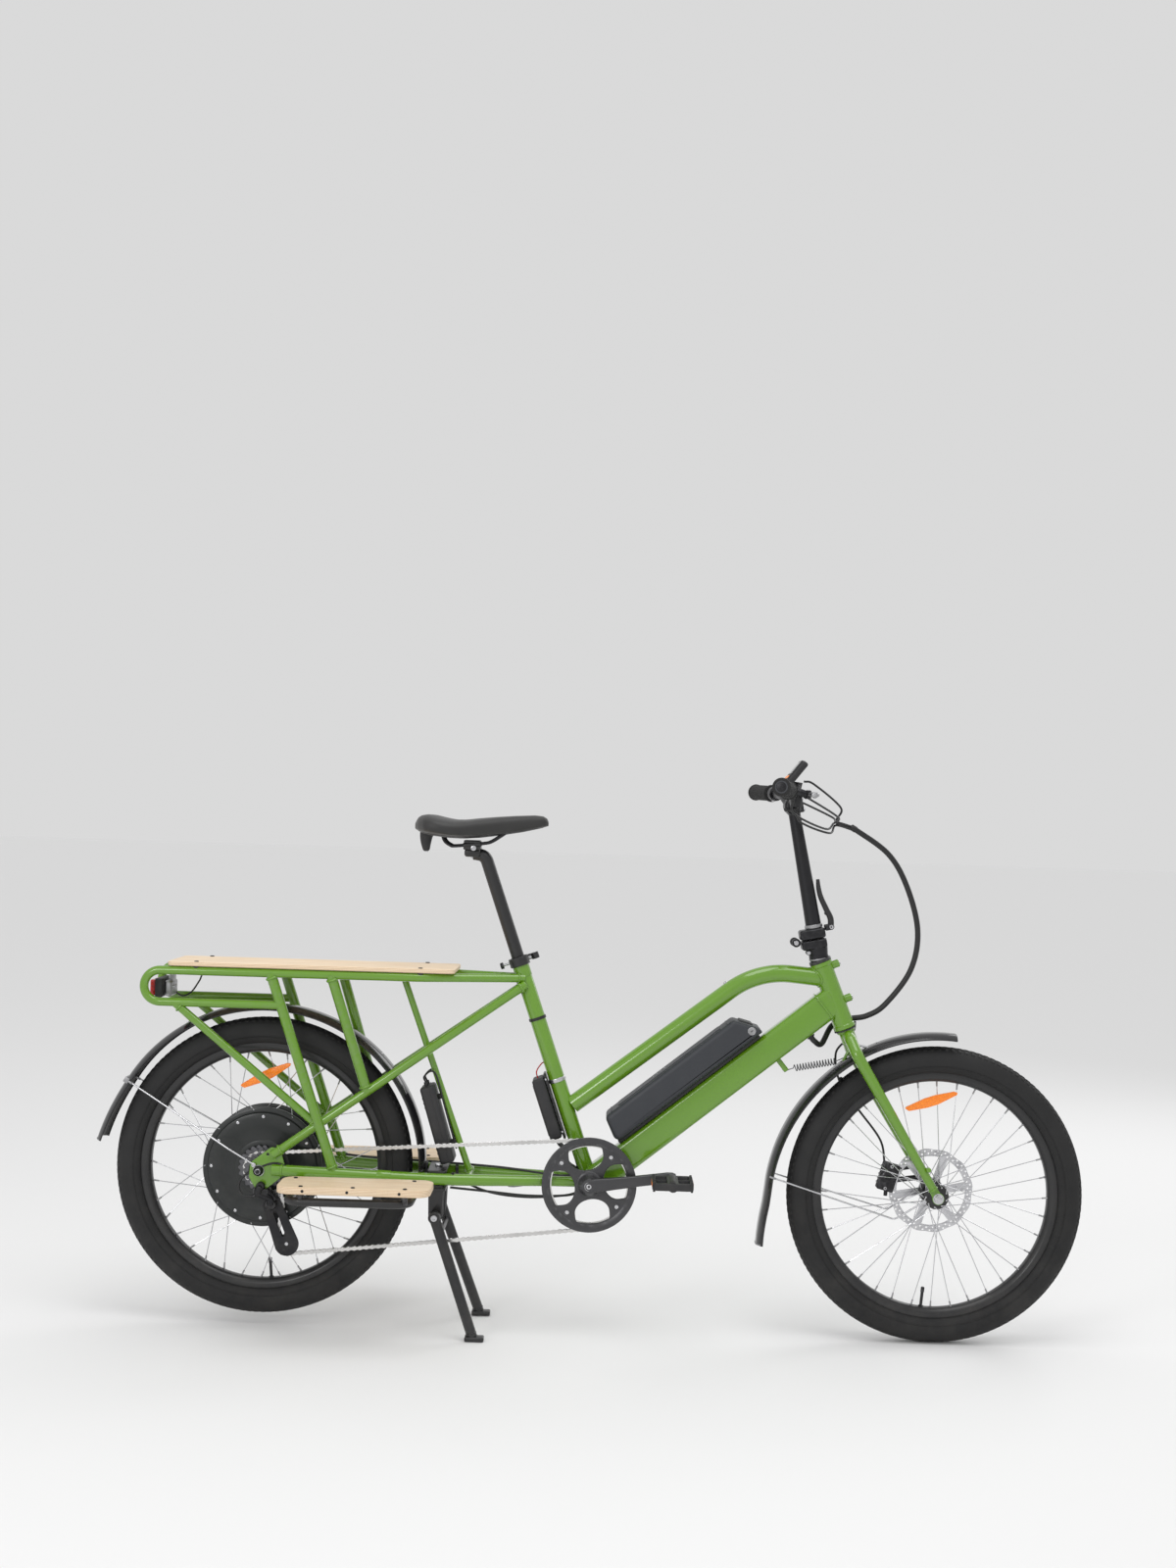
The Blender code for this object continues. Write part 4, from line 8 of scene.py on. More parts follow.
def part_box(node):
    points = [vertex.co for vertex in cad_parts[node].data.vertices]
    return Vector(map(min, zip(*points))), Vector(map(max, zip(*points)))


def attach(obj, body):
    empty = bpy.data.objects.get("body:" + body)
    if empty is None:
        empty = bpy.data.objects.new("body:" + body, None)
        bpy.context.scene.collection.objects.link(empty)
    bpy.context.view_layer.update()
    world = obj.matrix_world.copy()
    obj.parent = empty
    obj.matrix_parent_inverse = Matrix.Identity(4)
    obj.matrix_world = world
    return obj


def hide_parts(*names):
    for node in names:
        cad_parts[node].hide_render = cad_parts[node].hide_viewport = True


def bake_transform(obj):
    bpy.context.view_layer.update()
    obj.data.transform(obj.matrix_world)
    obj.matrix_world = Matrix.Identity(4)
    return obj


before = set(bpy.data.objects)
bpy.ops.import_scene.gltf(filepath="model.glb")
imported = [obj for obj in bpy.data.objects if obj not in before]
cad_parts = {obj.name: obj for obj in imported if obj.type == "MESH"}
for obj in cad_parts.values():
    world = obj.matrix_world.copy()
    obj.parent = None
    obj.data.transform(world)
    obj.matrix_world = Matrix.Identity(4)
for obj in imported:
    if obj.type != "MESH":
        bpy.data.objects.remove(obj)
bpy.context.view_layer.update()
print("frame loaded:", len(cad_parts), "nodes")

# Metres throughout: X forward, Y to the rider's left, Z up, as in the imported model
bike = {
    "wheelbase": 1.4186, "tyreRadius": 0.3125, "frontX": 0.72994, "rearLift": 0.02,
    "bracketReach": 0.688, "bracketDrop": 0.0125, "rackRise": 0.4115,
    "seatAngle": 70.5, "headAngle": 68.0, "stemAngle": 78.6, "crankAngle": 8,
    "forkLength": 0.3905, "forkRake": 0.055, "headTubeLength": 0.15, "headGap": 0.004,
    "stemLength": 0.326, "seatTubeLength": 0.484, "seatPostShown": 0.235,
}


def lineAt(angle):
    turn = radians(angle)
    return Vector((-cos(turn), 0, sin(turn)))


side = Vector((0, 1, 0))
frontAxle = Vector((bike["frontX"], 0, bike["tyreRadius"]))
rearAxle = Vector((bike["frontX"] - bike["wheelbase"], 0, bike["tyreRadius"] + bike["rearLift"]))
bracket = rearAxle + Vector((bike["bracketReach"], 0, -bike["bracketDrop"]))
seatLine, steerLine, stemLine = (lineAt(bike[k]) for k in ("seatAngle", "headAngle", "stemAngle"))
seatBack = Vector((-seatLine.z, 0, seatLine.x))
steerForward = Vector((steerLine.z, 0, -steerLine.x))
stemForward = Vector((stemLine.z, 0, -stemLine.x))
crown = frontAxle - bike["forkRake"] * steerForward + bike["forkLength"] * steerLine
headFoot = crown + bike["headGap"] * steerLine
headTop = crown + (bike["headGap"] + bike["headTubeLength"]) * steerLine
stemFoot = headTop + 0.01 * steerLine
barCentre = stemFoot + bike["stemLength"] * stemLine
seatTop = bracket + bike["seatTubeLength"] * seatLine
downFoot = bracket + Vector((0, 0, -0.008))
downTop = headTop - 0.084 * steerLine
downLine = (downTop - downFoot).normalized()
downUp = Vector((-downLine.z, 0, downLine.x))
railHeight = rearAxle.z + bike["rackRise"]
loopX = rearAxle.x - 0.216
saddleClamp = seatTop + bike["seatPostShown"] * seatLine + Vector((-0.0288, 0, 0.02))
stayTop = bracket + 0.437 * seatLine
guidePulley = rearAxle + Vector((0.026, 0, -0.0705))
tensionPulley = rearAxle + Vector((0.06, 0, -0.1545))
crankTurn = Vector((cos(radians(bike["crankAngle"])), 0, sin(radians(bike["crankAngle"]))))
standPivot = Vector((rearAxle.x + 0.3686, 0, 0.2469))
foldPin = stemFoot + 0.04 * stemLine - 0.044 * stemForward
latchPin = stemFoot + 0.06 * stemLine + 0.036 * stemForward
springAnchor = Vector((0.407841, 0, 0.566677))
shiftPod = Vector((0.400242, -0.134, 1.126223))
chainY = -0.05


def aside(point, y):
    return Vector((point.x, y, point.z))


def onDownTube(along, up, y=0.0):
    return aside(downFoot + along * downLine + up * downUp, y)


def polar(axle, angle, radius, y=0.0):
    turn = radians(angle)
    return axle + Vector((radius * cos(turn), y, radius * sin(turn)))


def leverPin(hand):
    return Vector((0.420653, hand * 0.168, 1.147204))


cablePort = onDownTube(0.563, -0.0313)


def around(base, *offsets):
    return [base + Vector(p) for p in offsets]


def addObject(name, data):
    made = bpy.data.objects.new(name, data)
    bpy.context.scene.collection.objects.link(made)
    return made


# Camera: level view of the drive side, rolled as the photograph is
cameraSizes = {"place": (0.015, -4.0, 1.0768), "lens": 43.33, "roll": -1.75, "shiftX": -0.0125, "shiftY": 0.025}
cameraData = bpy.data.cameras.new("photoCamera")
cameraData.lens = cameraSizes["lens"]
cameraData.sensor_width = 36
cameraData.shift_x, cameraData.shift_y = cameraSizes["shiftX"], cameraSizes["shiftY"]
camera = addObject("photoCamera", cameraData)
camera.location = cameraSizes["place"]
camera.rotation_euler = (radians(90), radians(cameraSizes["roll"]), 0)
bpy.context.scene.camera = camera
bpy.context.scene.view_settings.view_transform = "Standard"


def feed(tree, node, inputs):
    # an input takes a plain value, a socket, or the first output of another node
    for key, value in inputs.items():
        if isinstance(value, bpy.types.Node):
            value = value.outputs[0]
        if isinstance(value, bpy.types.NodeSocket):
            tree.links.new(value, node.inputs[key])
        else:
            node.inputs[key].default_value = value


def addNode(tree, kind, inputs=None, **settings):
    made = tree.nodes.new(kind)
    for key, value in settings.items():
        setattr(made, key, value)
    feed(tree, made, inputs or {})
    return made


def mathNode(tree, operation, *values, clamp=False):
    return addNode(tree, "ShaderNodeMath", dict(enumerate(values)), operation=operation, use_clamp=clamp)


def mapRange(tree, value, given=(0.0, 1.0), wanted=(0.0, 1.0)):
    return addNode(tree, "ShaderNodeMapRange", {"Value": value, "From Min": given[0], "From Max": given[1],
        "To Min": wanted[0], "To Max": wanted[1]})


def mixColor(tree, share, first, second):
    return addNode(tree, "ShaderNodeMix", {0: share, 6: first, 7: second}, data_type="RGBA").outputs[2]


# Flat pale floor whose far part has the tone of the sky, and soft lamps
stageSizes = {"floorTone": 0.8, "worldTone": 0.7, "worldStrength": 0.86, "floorReach": 60.0, "floorHeight": -0.0005,
              "lamps": [("lampAbove", (0.2, -0.9, 3.4), (0.0, 0.0, 0.4), 2.0, 30.0),
                        ("lampFront", (-2.6, -4.4, 2.4), (0.0, 0.0, 0.5), 1.5, 44.0),
                        ("lampBehind", (2.6, 2.8, 2.8), (0.0, 0.0, 0.6), 1.8, 26.0)]}


def makeStage():
    world = bpy.data.worlds.new("paleStudio")
    bpy.context.scene.world = world
    world.use_nodes = True
    tree = world.node_tree
    tree.nodes.clear()
    path = addNode(tree, "ShaderNodeLightPath")
    seen = mathNode(tree, "MAXIMUM", path.outputs["Is Camera Ray"], path.outputs["Is Glossy Ray"])
    light = addNode(tree, "ShaderNodeBackground", {"Color": (1, 1, 1, 1), "Strength": stageSizes["worldStrength"]})
    pale = addNode(tree, "ShaderNodeBackground", {"Color": (*[stageSizes["worldTone"]] * 3, 1), "Strength": 1.0})
    mixed = addNode(tree, "ShaderNodeMixShader", {0: seen, 1: light, 2: pale})
    addNode(tree, "ShaderNodeOutputWorld", {"Surface": mixed})
    reach = stageSizes["floorReach"]
    mesh = bpy.data.meshes.new("studioFloor")
    corners = [(-reach, -reach), (reach, -reach), (reach, reach), (-reach, reach)]
    mesh.from_pydata([(x, y, stageSizes["floorHeight"]) for x, y in corners], [], [(0, 1, 2, 3)])
    floor = addObject("studioFloor", mesh)
    finish = bpy.data.materials.new("floorPaper")
    finish.use_nodes = True
    feed(finish.node_tree, finish.node_tree.nodes["Principled BSDF"], {
        "Base Color": (*[stageSizes["floorTone"]] * 3, 1), "Roughness": 0.9, "Specular IOR Level": 0.1})
    mesh.materials.append(finish)
    for name, place, aim, size, power in stageSizes["lamps"]:
        data = bpy.data.lights.new(name, "AREA")
        data.size = size
        data.energy = power
        lamp = addObject(name, data)
        lamp.location = place
        lamp.rotation_euler = (Vector(aim) - Vector(place)).to_track_quat("-Z", "Y").to_euler()


makeStage()
print("stage, lamps and camera ready")


# Shader groups shared by several finishes
def newGroup(name, inputs, outputs, kind="ShaderNodeTree"):
    group = bpy.data.node_groups.new(name, kind)
    for label, content, value in inputs:
        socket = group.interface.new_socket(label, in_out="INPUT", socket_type="NodeSocket" + content)
        if value is not None:
            socket.default_value = value
    for label, content in outputs:
        group.interface.new_socket(label, in_out="OUTPUT", socket_type="NodeSocket" + content)
    return group, group.nodes.new("NodeGroupInput").outputs, group.nodes.new("NodeGroupOutput")


def noiseNode(tree, where, scale, detail, **more):
    inputs = {"Vector": where, "Scale": scale, "Detail": detail}
    inputs.update({key.capitalize(): value for key, value in more.items()})
    return addNode(tree, "ShaderNodeTexNoise", inputs)


def makeGrainGroup():
    group, given, made = newGroup("fineGrain", [("Vector", "Vector", None), ("Scale", "Float", 600.0),
        ("Patch scale", "Float", 14.0)], [("Height", "Float"), ("Patches", "Float")])
    fine = noiseNode(group, given[0], given[1], 3.0)
    broad = noiseNode(group, given[0], given[2], 4.0)
    feed(group, made, {0: fine.outputs["Fac"], 1: broad.outputs["Fac"]})
    return group


def makeMask(group, made, first, second, amount):
    # two shares multiplied, then scaled by the amount
    both = mathNode(group, "MULTIPLY", first, second)
    feed(group, made, {0: mathNode(group, "MULTIPLY", both, amount, clamp=True)})
    return group


def makeWearGroup():
    group, given, made = newGroup("edgeWear", [("Vector", "Vector", None), ("Amount", "Float", 0.5),
        ("Break-up scale", "Float", 90.0)], [("Mask", "Float")])
    shape = addNode(group, "ShaderNodeNewGeometry")
    edge = mapRange(group, shape.outputs["Pointiness"], (0.53, 0.62))
    noise = noiseNode(group, given[0], given[2], 5.0, roughness=0.6)
    broken = mapRange(group, noise.outputs["Fac"], (0.48, 0.66))
    return makeMask(group, made, edge, broken, given[1])


def makeDustGroup():
    group, given, made = newGroup("settledDust", [("Vector", "Vector", None), ("Amount", "Float", 0.2),
        ("Top height", "Float", 0.45)], [("Mask", "Float")])
    split = addNode(group, "ShaderNodeSeparateXYZ", {0: given[0]})
    low = mapRange(group, split.outputs[2], (0.0, given[2]), (1.0, 0.15))
    noise = noiseNode(group, given[0], 26.0, 8.0, roughness=0.7)
    patchy = mapRange(group, noise.outputs["Fac"], (0.42, 0.75))
    return makeMask(group, made, low, patchy, given[1])


grainGroup, wearGroup, dustGroup = makeGrainGroup(), makeWearGroup(), makeDustGroup()

# Finishes: base colour, roughness, metal, grain scale and bump, how much the roughness and colour vary, wear and dust
finishSizes = {
    "greenPaint": {"base": (0.122, 0.285, 0.007), "rough": 0.2, "grain": 260, "bump": 0.01, "vary": 0.08, "tint": 0.1,
                   "wear": 0.25, "bare": (0.2, 0.21, 0.17), "dust": 0.05, "coat": 0.9},
    "blackPaint": {"base": (0.0135, 0.0135, 0.0145), "rough": 0.38, "grain": 700, "bump": 0.02, "vary": 0.12,
                   "tint": 0.25, "wear": 0.5, "bare": (0.16, 0.16, 0.17), "dust": 0.08, "coat": 0.15},
    "motorBlack": {"base": (0.0105, 0.0135, 0.013), "rough": 0.42, "grain": 900, "bump": 0.03, "vary": 0.12,
                   "tint": 0.25, "wear": 0.4, "bare": (0.14, 0.14, 0.15), "dust": 0.1, "coat": 0.1},
    "blackPlastic": {"base": (0.019, 0.019, 0.021), "rough": 0.52, "grain": 1400, "bump": 0.06, "vary": 0.1,
                     "tint": 0.2, "wear": 0.25, "bare": (0.06, 0.06, 0.062), "dust": 0.2},
    "glossPlastic": {"base": (0.012, 0.012, 0.014), "rough": 0.17, "grain": 300, "bump": 0.006, "vary": 0.08,
                     "tint": 0.15, "wear": 0.15, "bare": (0.05, 0.05, 0.055), "dust": 0.18, "coat": 0.3},
    "caseGrey": {"base": (0.03, 0.033, 0.04), "rough": 0.48, "grain": 1200, "bump": 0.045, "vary": 0.1,
                 "tint": 0.15, "wear": 0.35, "bare": (0.12, 0.12, 0.13), "dust": 0.1},
    "tyreRubber": {"base": (0.0125, 0.0125, 0.013), "rough": 0.74, "grain": 900, "bump": 0.1, "vary": 0.1,
                   "tint": 0.3, "wear": 0.3, "bare": (0.035, 0.034, 0.032), "dust": 0.06},
    "gripRubber": {"base": (0.014, 0.014, 0.014), "rough": 0.78, "grain": 1500, "bump": 0.12, "vary": 0.08,
                   "tint": 0.2, "wear": 0.2, "bare": (0.04, 0.04, 0.04), "dust": 0.05},
    "saddleVinyl": {"base": (0.02, 0.0195, 0.019), "rough": 0.5, "grain": 750, "bump": 0.16, "vary": 0.12,
                    "tint": 0.25, "wear": 0.3, "bare": (0.055, 0.053, 0.05), "dust": 0.05, "sheen": 0.15},
    "brightSteel": {"base": (0.62, 0.62, 0.64), "rough": 0.24, "metal": 1.0, "grain": 800, "bump": 0.015,
                    "vary": 0.14, "tint": 0.12, "wear": 0.0, "bare": (0.5, 0.5, 0.5), "dust": 0.1},
    "chainSteel": {"base": (0.76, 0.75, 0.74), "rough": 0.26, "metal": 1.0, "grain": 900, "bump": 0.03, "vary": 0.18,
                   "tint": 0.3, "wear": 0.0, "bare": (0.5, 0.5, 0.5), "dust": 0.15},
    "darkMetal": {"base": (0.036, 0.036, 0.039), "rough": 0.34, "metal": 0.85, "grain": 800, "bump": 0.02,
                  "vary": 0.14, "tint": 0.25, "wear": 0.6, "bare": (0.3, 0.3, 0.31), "dust": 0.15},
    "castAlloy": {"base": (0.4, 0.4, 0.41), "rough": 0.42, "metal": 1.0, "grain": 600, "bump": 0.05, "vary": 0.14,
                  "tint": 0.15, "wear": 0.0, "bare": (0.5, 0.5, 0.5), "dust": 0.12},
    "guardGrey": {"base": (0.066, 0.066, 0.07), "rough": 0.33, "metal": 0.55, "grain": 700, "bump": 0.03,
                  "vary": 0.12, "tint": 0.15, "wear": 0.5, "bare": (0.35, 0.35, 0.36), "dust": 0.08},
    "springSteel": {"base": (0.16, 0.16, 0.17), "rough": 0.34, "metal": 1.0, "grain": 900, "bump": 0.02, "vary": 0.14,
                    "tint": 0.25, "wear": 0.0, "bare": (0.5, 0.5, 0.5), "dust": 0.1},
    "cableBlack": {"base": (0.011, 0.011, 0.012), "rough": 0.4, "grain": 1000, "bump": 0.04, "vary": 0.1,
                   "tint": 0.2, "wear": 0.0, "bare": (0.04, 0.04, 0.04), "dust": 0.12},
    "screenGlass": {"base": (0.01, 0.012, 0.014), "rough": 0.07, "grain": 200, "bump": 0.0, "vary": 0.04,
                    "tint": 0.1, "wear": 0.0, "bare": (0.05, 0.05, 0.05), "dust": 0.06, "coat": 0.5},
}
finishes = {}


def startFinish(name):
    made = bpy.data.materials.new(name)
    made.use_nodes = True
    tree = made.node_tree
    where = addNode(tree, "ShaderNodeTexCoord")
    placed = addNode(tree, "ShaderNodeMapping", {"Vector": where.outputs["Object"]})
    finishes[name] = made
    return tree, tree.nodes["Principled BSDF"], placed.outputs[0]


def groupNode(tree, group, inputs):
    made = tree.nodes.new("ShaderNodeGroup")
    made.node_tree = group
    feed(tree, made, inputs)
    return made.outputs


def plainFinish(name):
    sizes = finishSizes[name]
    tree, shader, where = startFinish(name)
    grain = groupNode(tree, grainGroup, {"Vector": where, "Scale": sizes["grain"]})
    darker = tuple(v * (1 - sizes["tint"]) for v in sizes["base"]) + (1,)
    color = mixColor(tree, grain["Patches"], (*sizes["base"], 1), darker)
    if sizes["wear"] > 0:
        wear = groupNode(tree, wearGroup, {"Vector": where, "Amount": sizes["wear"]})
        color = mixColor(tree, wear["Mask"], color, (*sizes["bare"], 1))
    dust = groupNode(tree, dustGroup, {"Vector": where, "Amount": sizes["dust"]})
    color = mixColor(tree, dust["Mask"], color, (0.3, 0.27, 0.23, 1))
    swing = sizes["vary"] / 2
    rough = mapRange(tree, grain["Patches"], (0.3, 0.7), (sizes["rough"] - swing, sizes["rough"] + swing))
    dusty = mathNode(tree, "MULTIPLY_ADD", dust["Mask"], 0.35, rough, clamp=True)
    bump = addNode(tree, "ShaderNodeBump", {"Height": grain["Height"], "Strength": min(1.0, sizes["bump"] * 8),
        "Distance": 0.0004})
    feed(tree, shader, {"Base Color": color, "Roughness": dusty, "Metallic": sizes.get("metal", 0.0),
                        "Coat Weight": sizes.get("coat", 0.0), "Coat Roughness": 0.06,
                        "Sheen Weight": sizes.get("sheen", 0.0)})
    if sizes["bump"] > 0:
        feed(tree, shader, {"Normal": bump})


for finishName in finishSizes:
    plainFinish(finishName)


boardSizes = {"ply": 0.0014, "glueLine": 0.00012, "pale": (0.86, 0.71, 0.52, 1), "dark": (0.66, 0.47, 0.29, 1),
              "glue": (0.36, 0.22, 0.12, 1), "dust": (0.5, 0.4, 0.3, 1)}


def makeBirchPly():
    tree, shader, where = startFinish("birchPly")
    ply, pale, dark = boardSizes["ply"], boardSizes["pale"], boardSizes["dark"]
    stretched = addNode(tree, "ShaderNodeMapping", {"Vector": where, "Scale": (1.0, 14.0, 14.0)})
    fibre = noiseNode(tree, stretched, 9.0, 8.0, roughness=0.62, distortion=0.6).outputs["Fac"]
    rings = addNode(tree, "ShaderNodeTexWave", {"Vector": stretched, "Scale": 0.9, "Distortion": 5.0, "Detail": 3.0},
                    bands_direction="Y")
    speck = noiseNode(tree, where, 420.0, 2.0)
    face = mixColor(tree, mapRange(tree, fibre, (0.35, 0.75)), pale, dark)
    face = mixColor(tree, mathNode(tree, "MULTIPLY", rings.outputs["Fac"], 0.16), face, dark)
    height = addNode(tree, "ShaderNodeSeparateXYZ", {0: where}).outputs[2]
    layer = mathNode(tree, "MODULO", height, 2 * ply)
    edge = mixColor(tree, mathNode(tree, "GREATER_THAN", layer, ply), pale, dark)
    line = mathNode(tree, "PINGPONG", height, ply)
    edge = mixColor(tree, mathNode(tree, "LESS_THAN", line, boardSizes["glueLine"]), edge, boardSizes["glue"])
    facing = addNode(tree, "ShaderNodeTexCoord")
    up = addNode(tree, "ShaderNodeSeparateXYZ", {0: facing.outputs["Normal"]})
    isFace = mapRange(tree, mathNode(tree, "ABSOLUTE", up.outputs[2]), (0.55, 0.75))
    dust = groupNode(tree, dustGroup, {"Vector": where, "Amount": 0.25, "Top height": 2.0})
    color = mixColor(tree, dust["Mask"], mixColor(tree, isFace, edge, face), boardSizes["dust"])
    relief = mathNode(tree, "ADD", fibre, speck.outputs["Fac"])
    bump = addNode(tree, "ShaderNodeBump", {"Height": relief, "Strength": 0.25, "Distance": 0.0003})
    rough = mapRange(tree, fibre, wanted=(0.42, 0.62))
    feed(tree, shader, {"Base Color": color, "Roughness": rough, "Normal": bump})


def makeLens(name, base, cell, deep, paintedGlow):
    tree, shader, where = startFinish(name)
    prisms = addNode(tree, "ShaderNodeTexVoronoi", {"Vector": where, "Scale": cell}, feature="F1",
                     distance="MANHATTAN").outputs["Distance"]
    color = mixColor(tree, mapRange(tree, prisms), (*base, 1), (*deep, 1))
    grain = groupNode(tree, grainGroup, {"Vector": where, "Scale": 300.0})
    rough = mapRange(tree, grain["Patches"], wanted=(0.1, 0.24))
    bump = addNode(tree, "ShaderNodeBump", {"Height": prisms, "Strength": 0.5, "Distance": 0.0006})
    # Emission paints a glow into these lens finishes, so the reflectors, display keys, pedal lenses and the red wire
    # that wear them shine though they are no lamps
    feed(tree, shader, {"Base Color": color, "Roughness": rough, "Normal": bump, "Emission Color": color,
                        "Emission Strength": paintedGlow, "Coat Weight": 0.6, "Coat Roughness": 0.04})


makeBirchPly()
# the last number of each is the strength of the painted glow
makeLens("orangeLens", (0.98, 0.3, 0.006), 420.0, (0.74, 0.17, 0.003), 0.22)
makeLens("redLens", (0.62, 0.012, 0.014), 360.0, (0.26, 0.003, 0.004), 0.05)
makeLens("clearLens", (0.62, 0.64, 0.66), 380.0, (0.34, 0.35, 0.37), 0.0)
print("finishes made:", len(finishes))


# Shapes are (points, faces) pairs; piece() joins them into one mesh
def roundedPath(points, radius, steps=8):
    points = [Vector(p) for p in points]
    made = [points[0]]
    for k in range(1, len(points) - 1):
        before, corner, after = points[k - 1], points[k], points[k + 1]
        back, ahead = (before - corner), (after - corner)
        turn = back.angle(ahead)
        reach = radius / tan(turn / 2) if turn < pi - 1e-4 else 0
        reach = min(reach, back.length * 0.49, ahead.length * 0.49)
        if reach < 1e-6:
            made.append(corner)
            continue
        first, last = corner + back.normalized() * reach, corner + ahead.normalized() * reach
        bend = reach * tan(turn / 2)
        centre = corner + (back.normalized() + ahead.normalized()).normalized() * (bend / sin(turn / 2))
        start, end = first - centre, last - centre
        sweepTurn = start.angle(end)
        for j in range(steps + 1):
            share = j / steps
            made.append(centre + (start * sin((1 - share) * sweepTurn) + end * sin(share * sweepTurn))
                        / sin(sweepTurn))
    made.append(points[-1])
    return made


def smoothPath(points, steps=10):
    points = [Vector(p) for p in points]
    ends = [2 * points[0] - points[1]] + points + [2 * points[-1] - points[-2]]
    made = []
    for k in range(1, len(ends) - 2):
        a, b, c, d = ends[k - 1:k + 3]
        for j in range(steps):
            t = j / steps
            made.append(0.5 * (2 * b + (c - a) * t + (2 * a - 5 * b + 4 * c - d) * t ** 2
                               + (3 * b - a - 3 * c + d) * t ** 3))
    made.append(points[-1])
    return made


def spread(values, count):
    # values given at even shares along a path, read off at count places
    if not isinstance(values, (list, tuple)):
        return [values] * count
    made = []
    for k in range(count):
        spot = k / (count - 1) * (len(values) - 1)
        low = min(int(spot), len(values) - 2)
        made.append(values[low] + (values[low + 1] - values[low]) * (spot - low))
    return made


def sweep(path, sections, closed=False, up=None):
    path = [Vector(p) for p in path]
    count = len(path)
    many = isinstance(sections[0], list)
    ring = len(sections[0]) if many else len(sections)
    points, faces, normal = [], [], None
    for k, spot in enumerate(path):
        before = path[(k - 1) % count] if closed or k else path[0]
        after = path[(k + 1) % count] if closed or k < count - 1 else path[-1]
        along = (after - before).normalized()
        if normal is None:
            normal = Vector(up) if up else (Vector((0, 0, 1)) if abs(along.z) < 0.9 else Vector((0, 1, 0)))
        normal = (normal - normal.dot(along) * along).normalized()
        cross = along.cross(normal)
        points += [spot + u * normal + v * cross for u, v in (sections[k] if many else sections)]
    for k in range(count if closed else count - 1):
        a, b = k * ring, ((k + 1) % count) * ring
        faces += [(a + j, a + (j + 1) % ring, b + (j + 1) % ring, b + j) for j in range(ring)]
    if not closed:
        faces += [tuple(range(ring))[::-1], tuple(range((count - 1) * ring, count * ring))]
    return points, faces


def circle(radius, ring=24, flat=1.0):
    return [(radius * cos(2 * pi * j / ring), radius * flat * sin(2 * pi * j / ring))
            for j in range(ring)]


def tube(path, radii, ring=24, edge=0.0, flat=1.0, up=None):
    path = [Vector(p) for p in path]
    radii = spread(radii, len(path))
    if edge:  # rounded rims at both ends
        for turned in (False, True):
            path, radii = path[::-1], radii[::-1]
            ahead = (path[1] - path[0]).normalized()
            rim = [(path[0] + ahead * edge * (1 - cos(a)), radii[0] - edge * (1 - sin(a)))
                   for a in (0, pi / 6, pi / 3, pi / 2)]
            path = [p for p, r in rim] + path[1:]
            radii = [r for p, r in rim] + radii[1:]
    return sweep(path, [circle(r, ring, flat) for r in radii], up=up)


def rod(start, end, radii, ring=24, edge=0.0):
    return tube([start, end], radii, ring, edge=edge)


def squareTo(axis):
    # the axis and two directions square to it
    axis = Vector(axis).normalized()
    first = axis.orthogonal().normalized()
    return axis, first, axis.cross(first)


def lathe(centre, axis, profile, steps=64, closed=False):
    # profile: (along the axis, radius)
    axis, first, second = squareTo(axis)
    points, faces, rings = [], [], []
    for along, radius in profile:
        base = Vector(centre) + axis * along
        if radius < 1e-7:
            rings.append([len(points)])
            points.append(base)
            continue
        rings.append(list(range(len(points), len(points) + steps)))
        points += [base + radius * (cos(2 * pi * j / steps) * first + sin(2 * pi * j / steps) * second)
                   for j in range(steps)]
    pairs = list(zip(rings, rings[1:])) + ([(rings[-1], rings[0])] if closed else [])
    for a, b in pairs:
        if len(a) == 1 and len(b) == 1:
            continue
        for j in range(steps):
            nextJ = (j + 1) % steps
            corners = [a[0]] if len(a) == 1 else [a[j], a[nextJ]]
            corners += [b[0]] if len(b) == 1 else [b[nextJ], b[j]]
            faces.append(tuple(corners))
    if not closed:
        faces += [tuple(r) for r in (rings[0], rings[-1]) if len(r) > 1]
    return points, faces


def fromBmesh(work, place=None):
    if place is not None:
        work.transform(place)
    points = [v.co.copy() for v in work.verts]
    work.verts.index_update()
    faces = [tuple(v.index for v in f.verts) for f in work.faces]
    work.free()
    return points, faces


def toBmesh(shape):
    work = bmesh.new()
    spots = [work.verts.new(p) for p in shape[0]]
    for face in shape[1]:
        work.faces.new([spots[i] for i in face])
    bmesh.ops.recalc_face_normals(work, faces=work.faces)
    return work


def soften(shape, width, steps=3, above=30):
    work = toBmesh(shape)
    sharp = [e for e in work.edges if e.is_manifold and e.calc_face_angle(0) > radians(above)]
    bmesh.ops.bevel(work, geom=sharp, offset=width, segments=steps, profile=0.5, affect="EDGES", clamp_overlap=True)
    return fromBmesh(work)


def turned(angle, axis="Y"):
    return Matrix.Rotation(radians(angle), 4, axis)


def placed(centre):
    return Matrix.Translation(Vector(centre))


def axes(centre, first, second):
    # local X along first, local Y towards second
    x = Vector(first).normalized()
    z = x.cross(Vector(second)).normalized()
    y = z.cross(x)
    made = Matrix((x, y, z)).transposed().to_4x4()
    made.translation = Vector(centre)
    return made


def moved(shape, place):
    return [place @ Vector(p) for p in shape[0]], shape[1]


def merged(shapes):
    points, faces = [], []
    for shape in shapes:
        faces += [tuple(i + len(points) for i in f) for f in shape[1]]
        points += list(shape[0])
    return points, faces


def box(place, size, bevel=0.0, steps=3):
    # place: the centre or a matrix
    half = Vector(size) / 2
    points = [Vector((x, y, z)) for x in (-half.x, half.x) for y in (-half.y, half.y) for z in (-half.z, half.z)]
    shape = points, [(0, 1, 3, 2), (4, 6, 7, 5), (0, 4, 5, 1), (2, 3, 7, 6), (0, 2, 6, 4), (1, 5, 7, 3)]
    if bevel:
        shape = soften(shape, bevel, steps)
    return moved(shape, place if isinstance(place, Matrix) else placed(place))


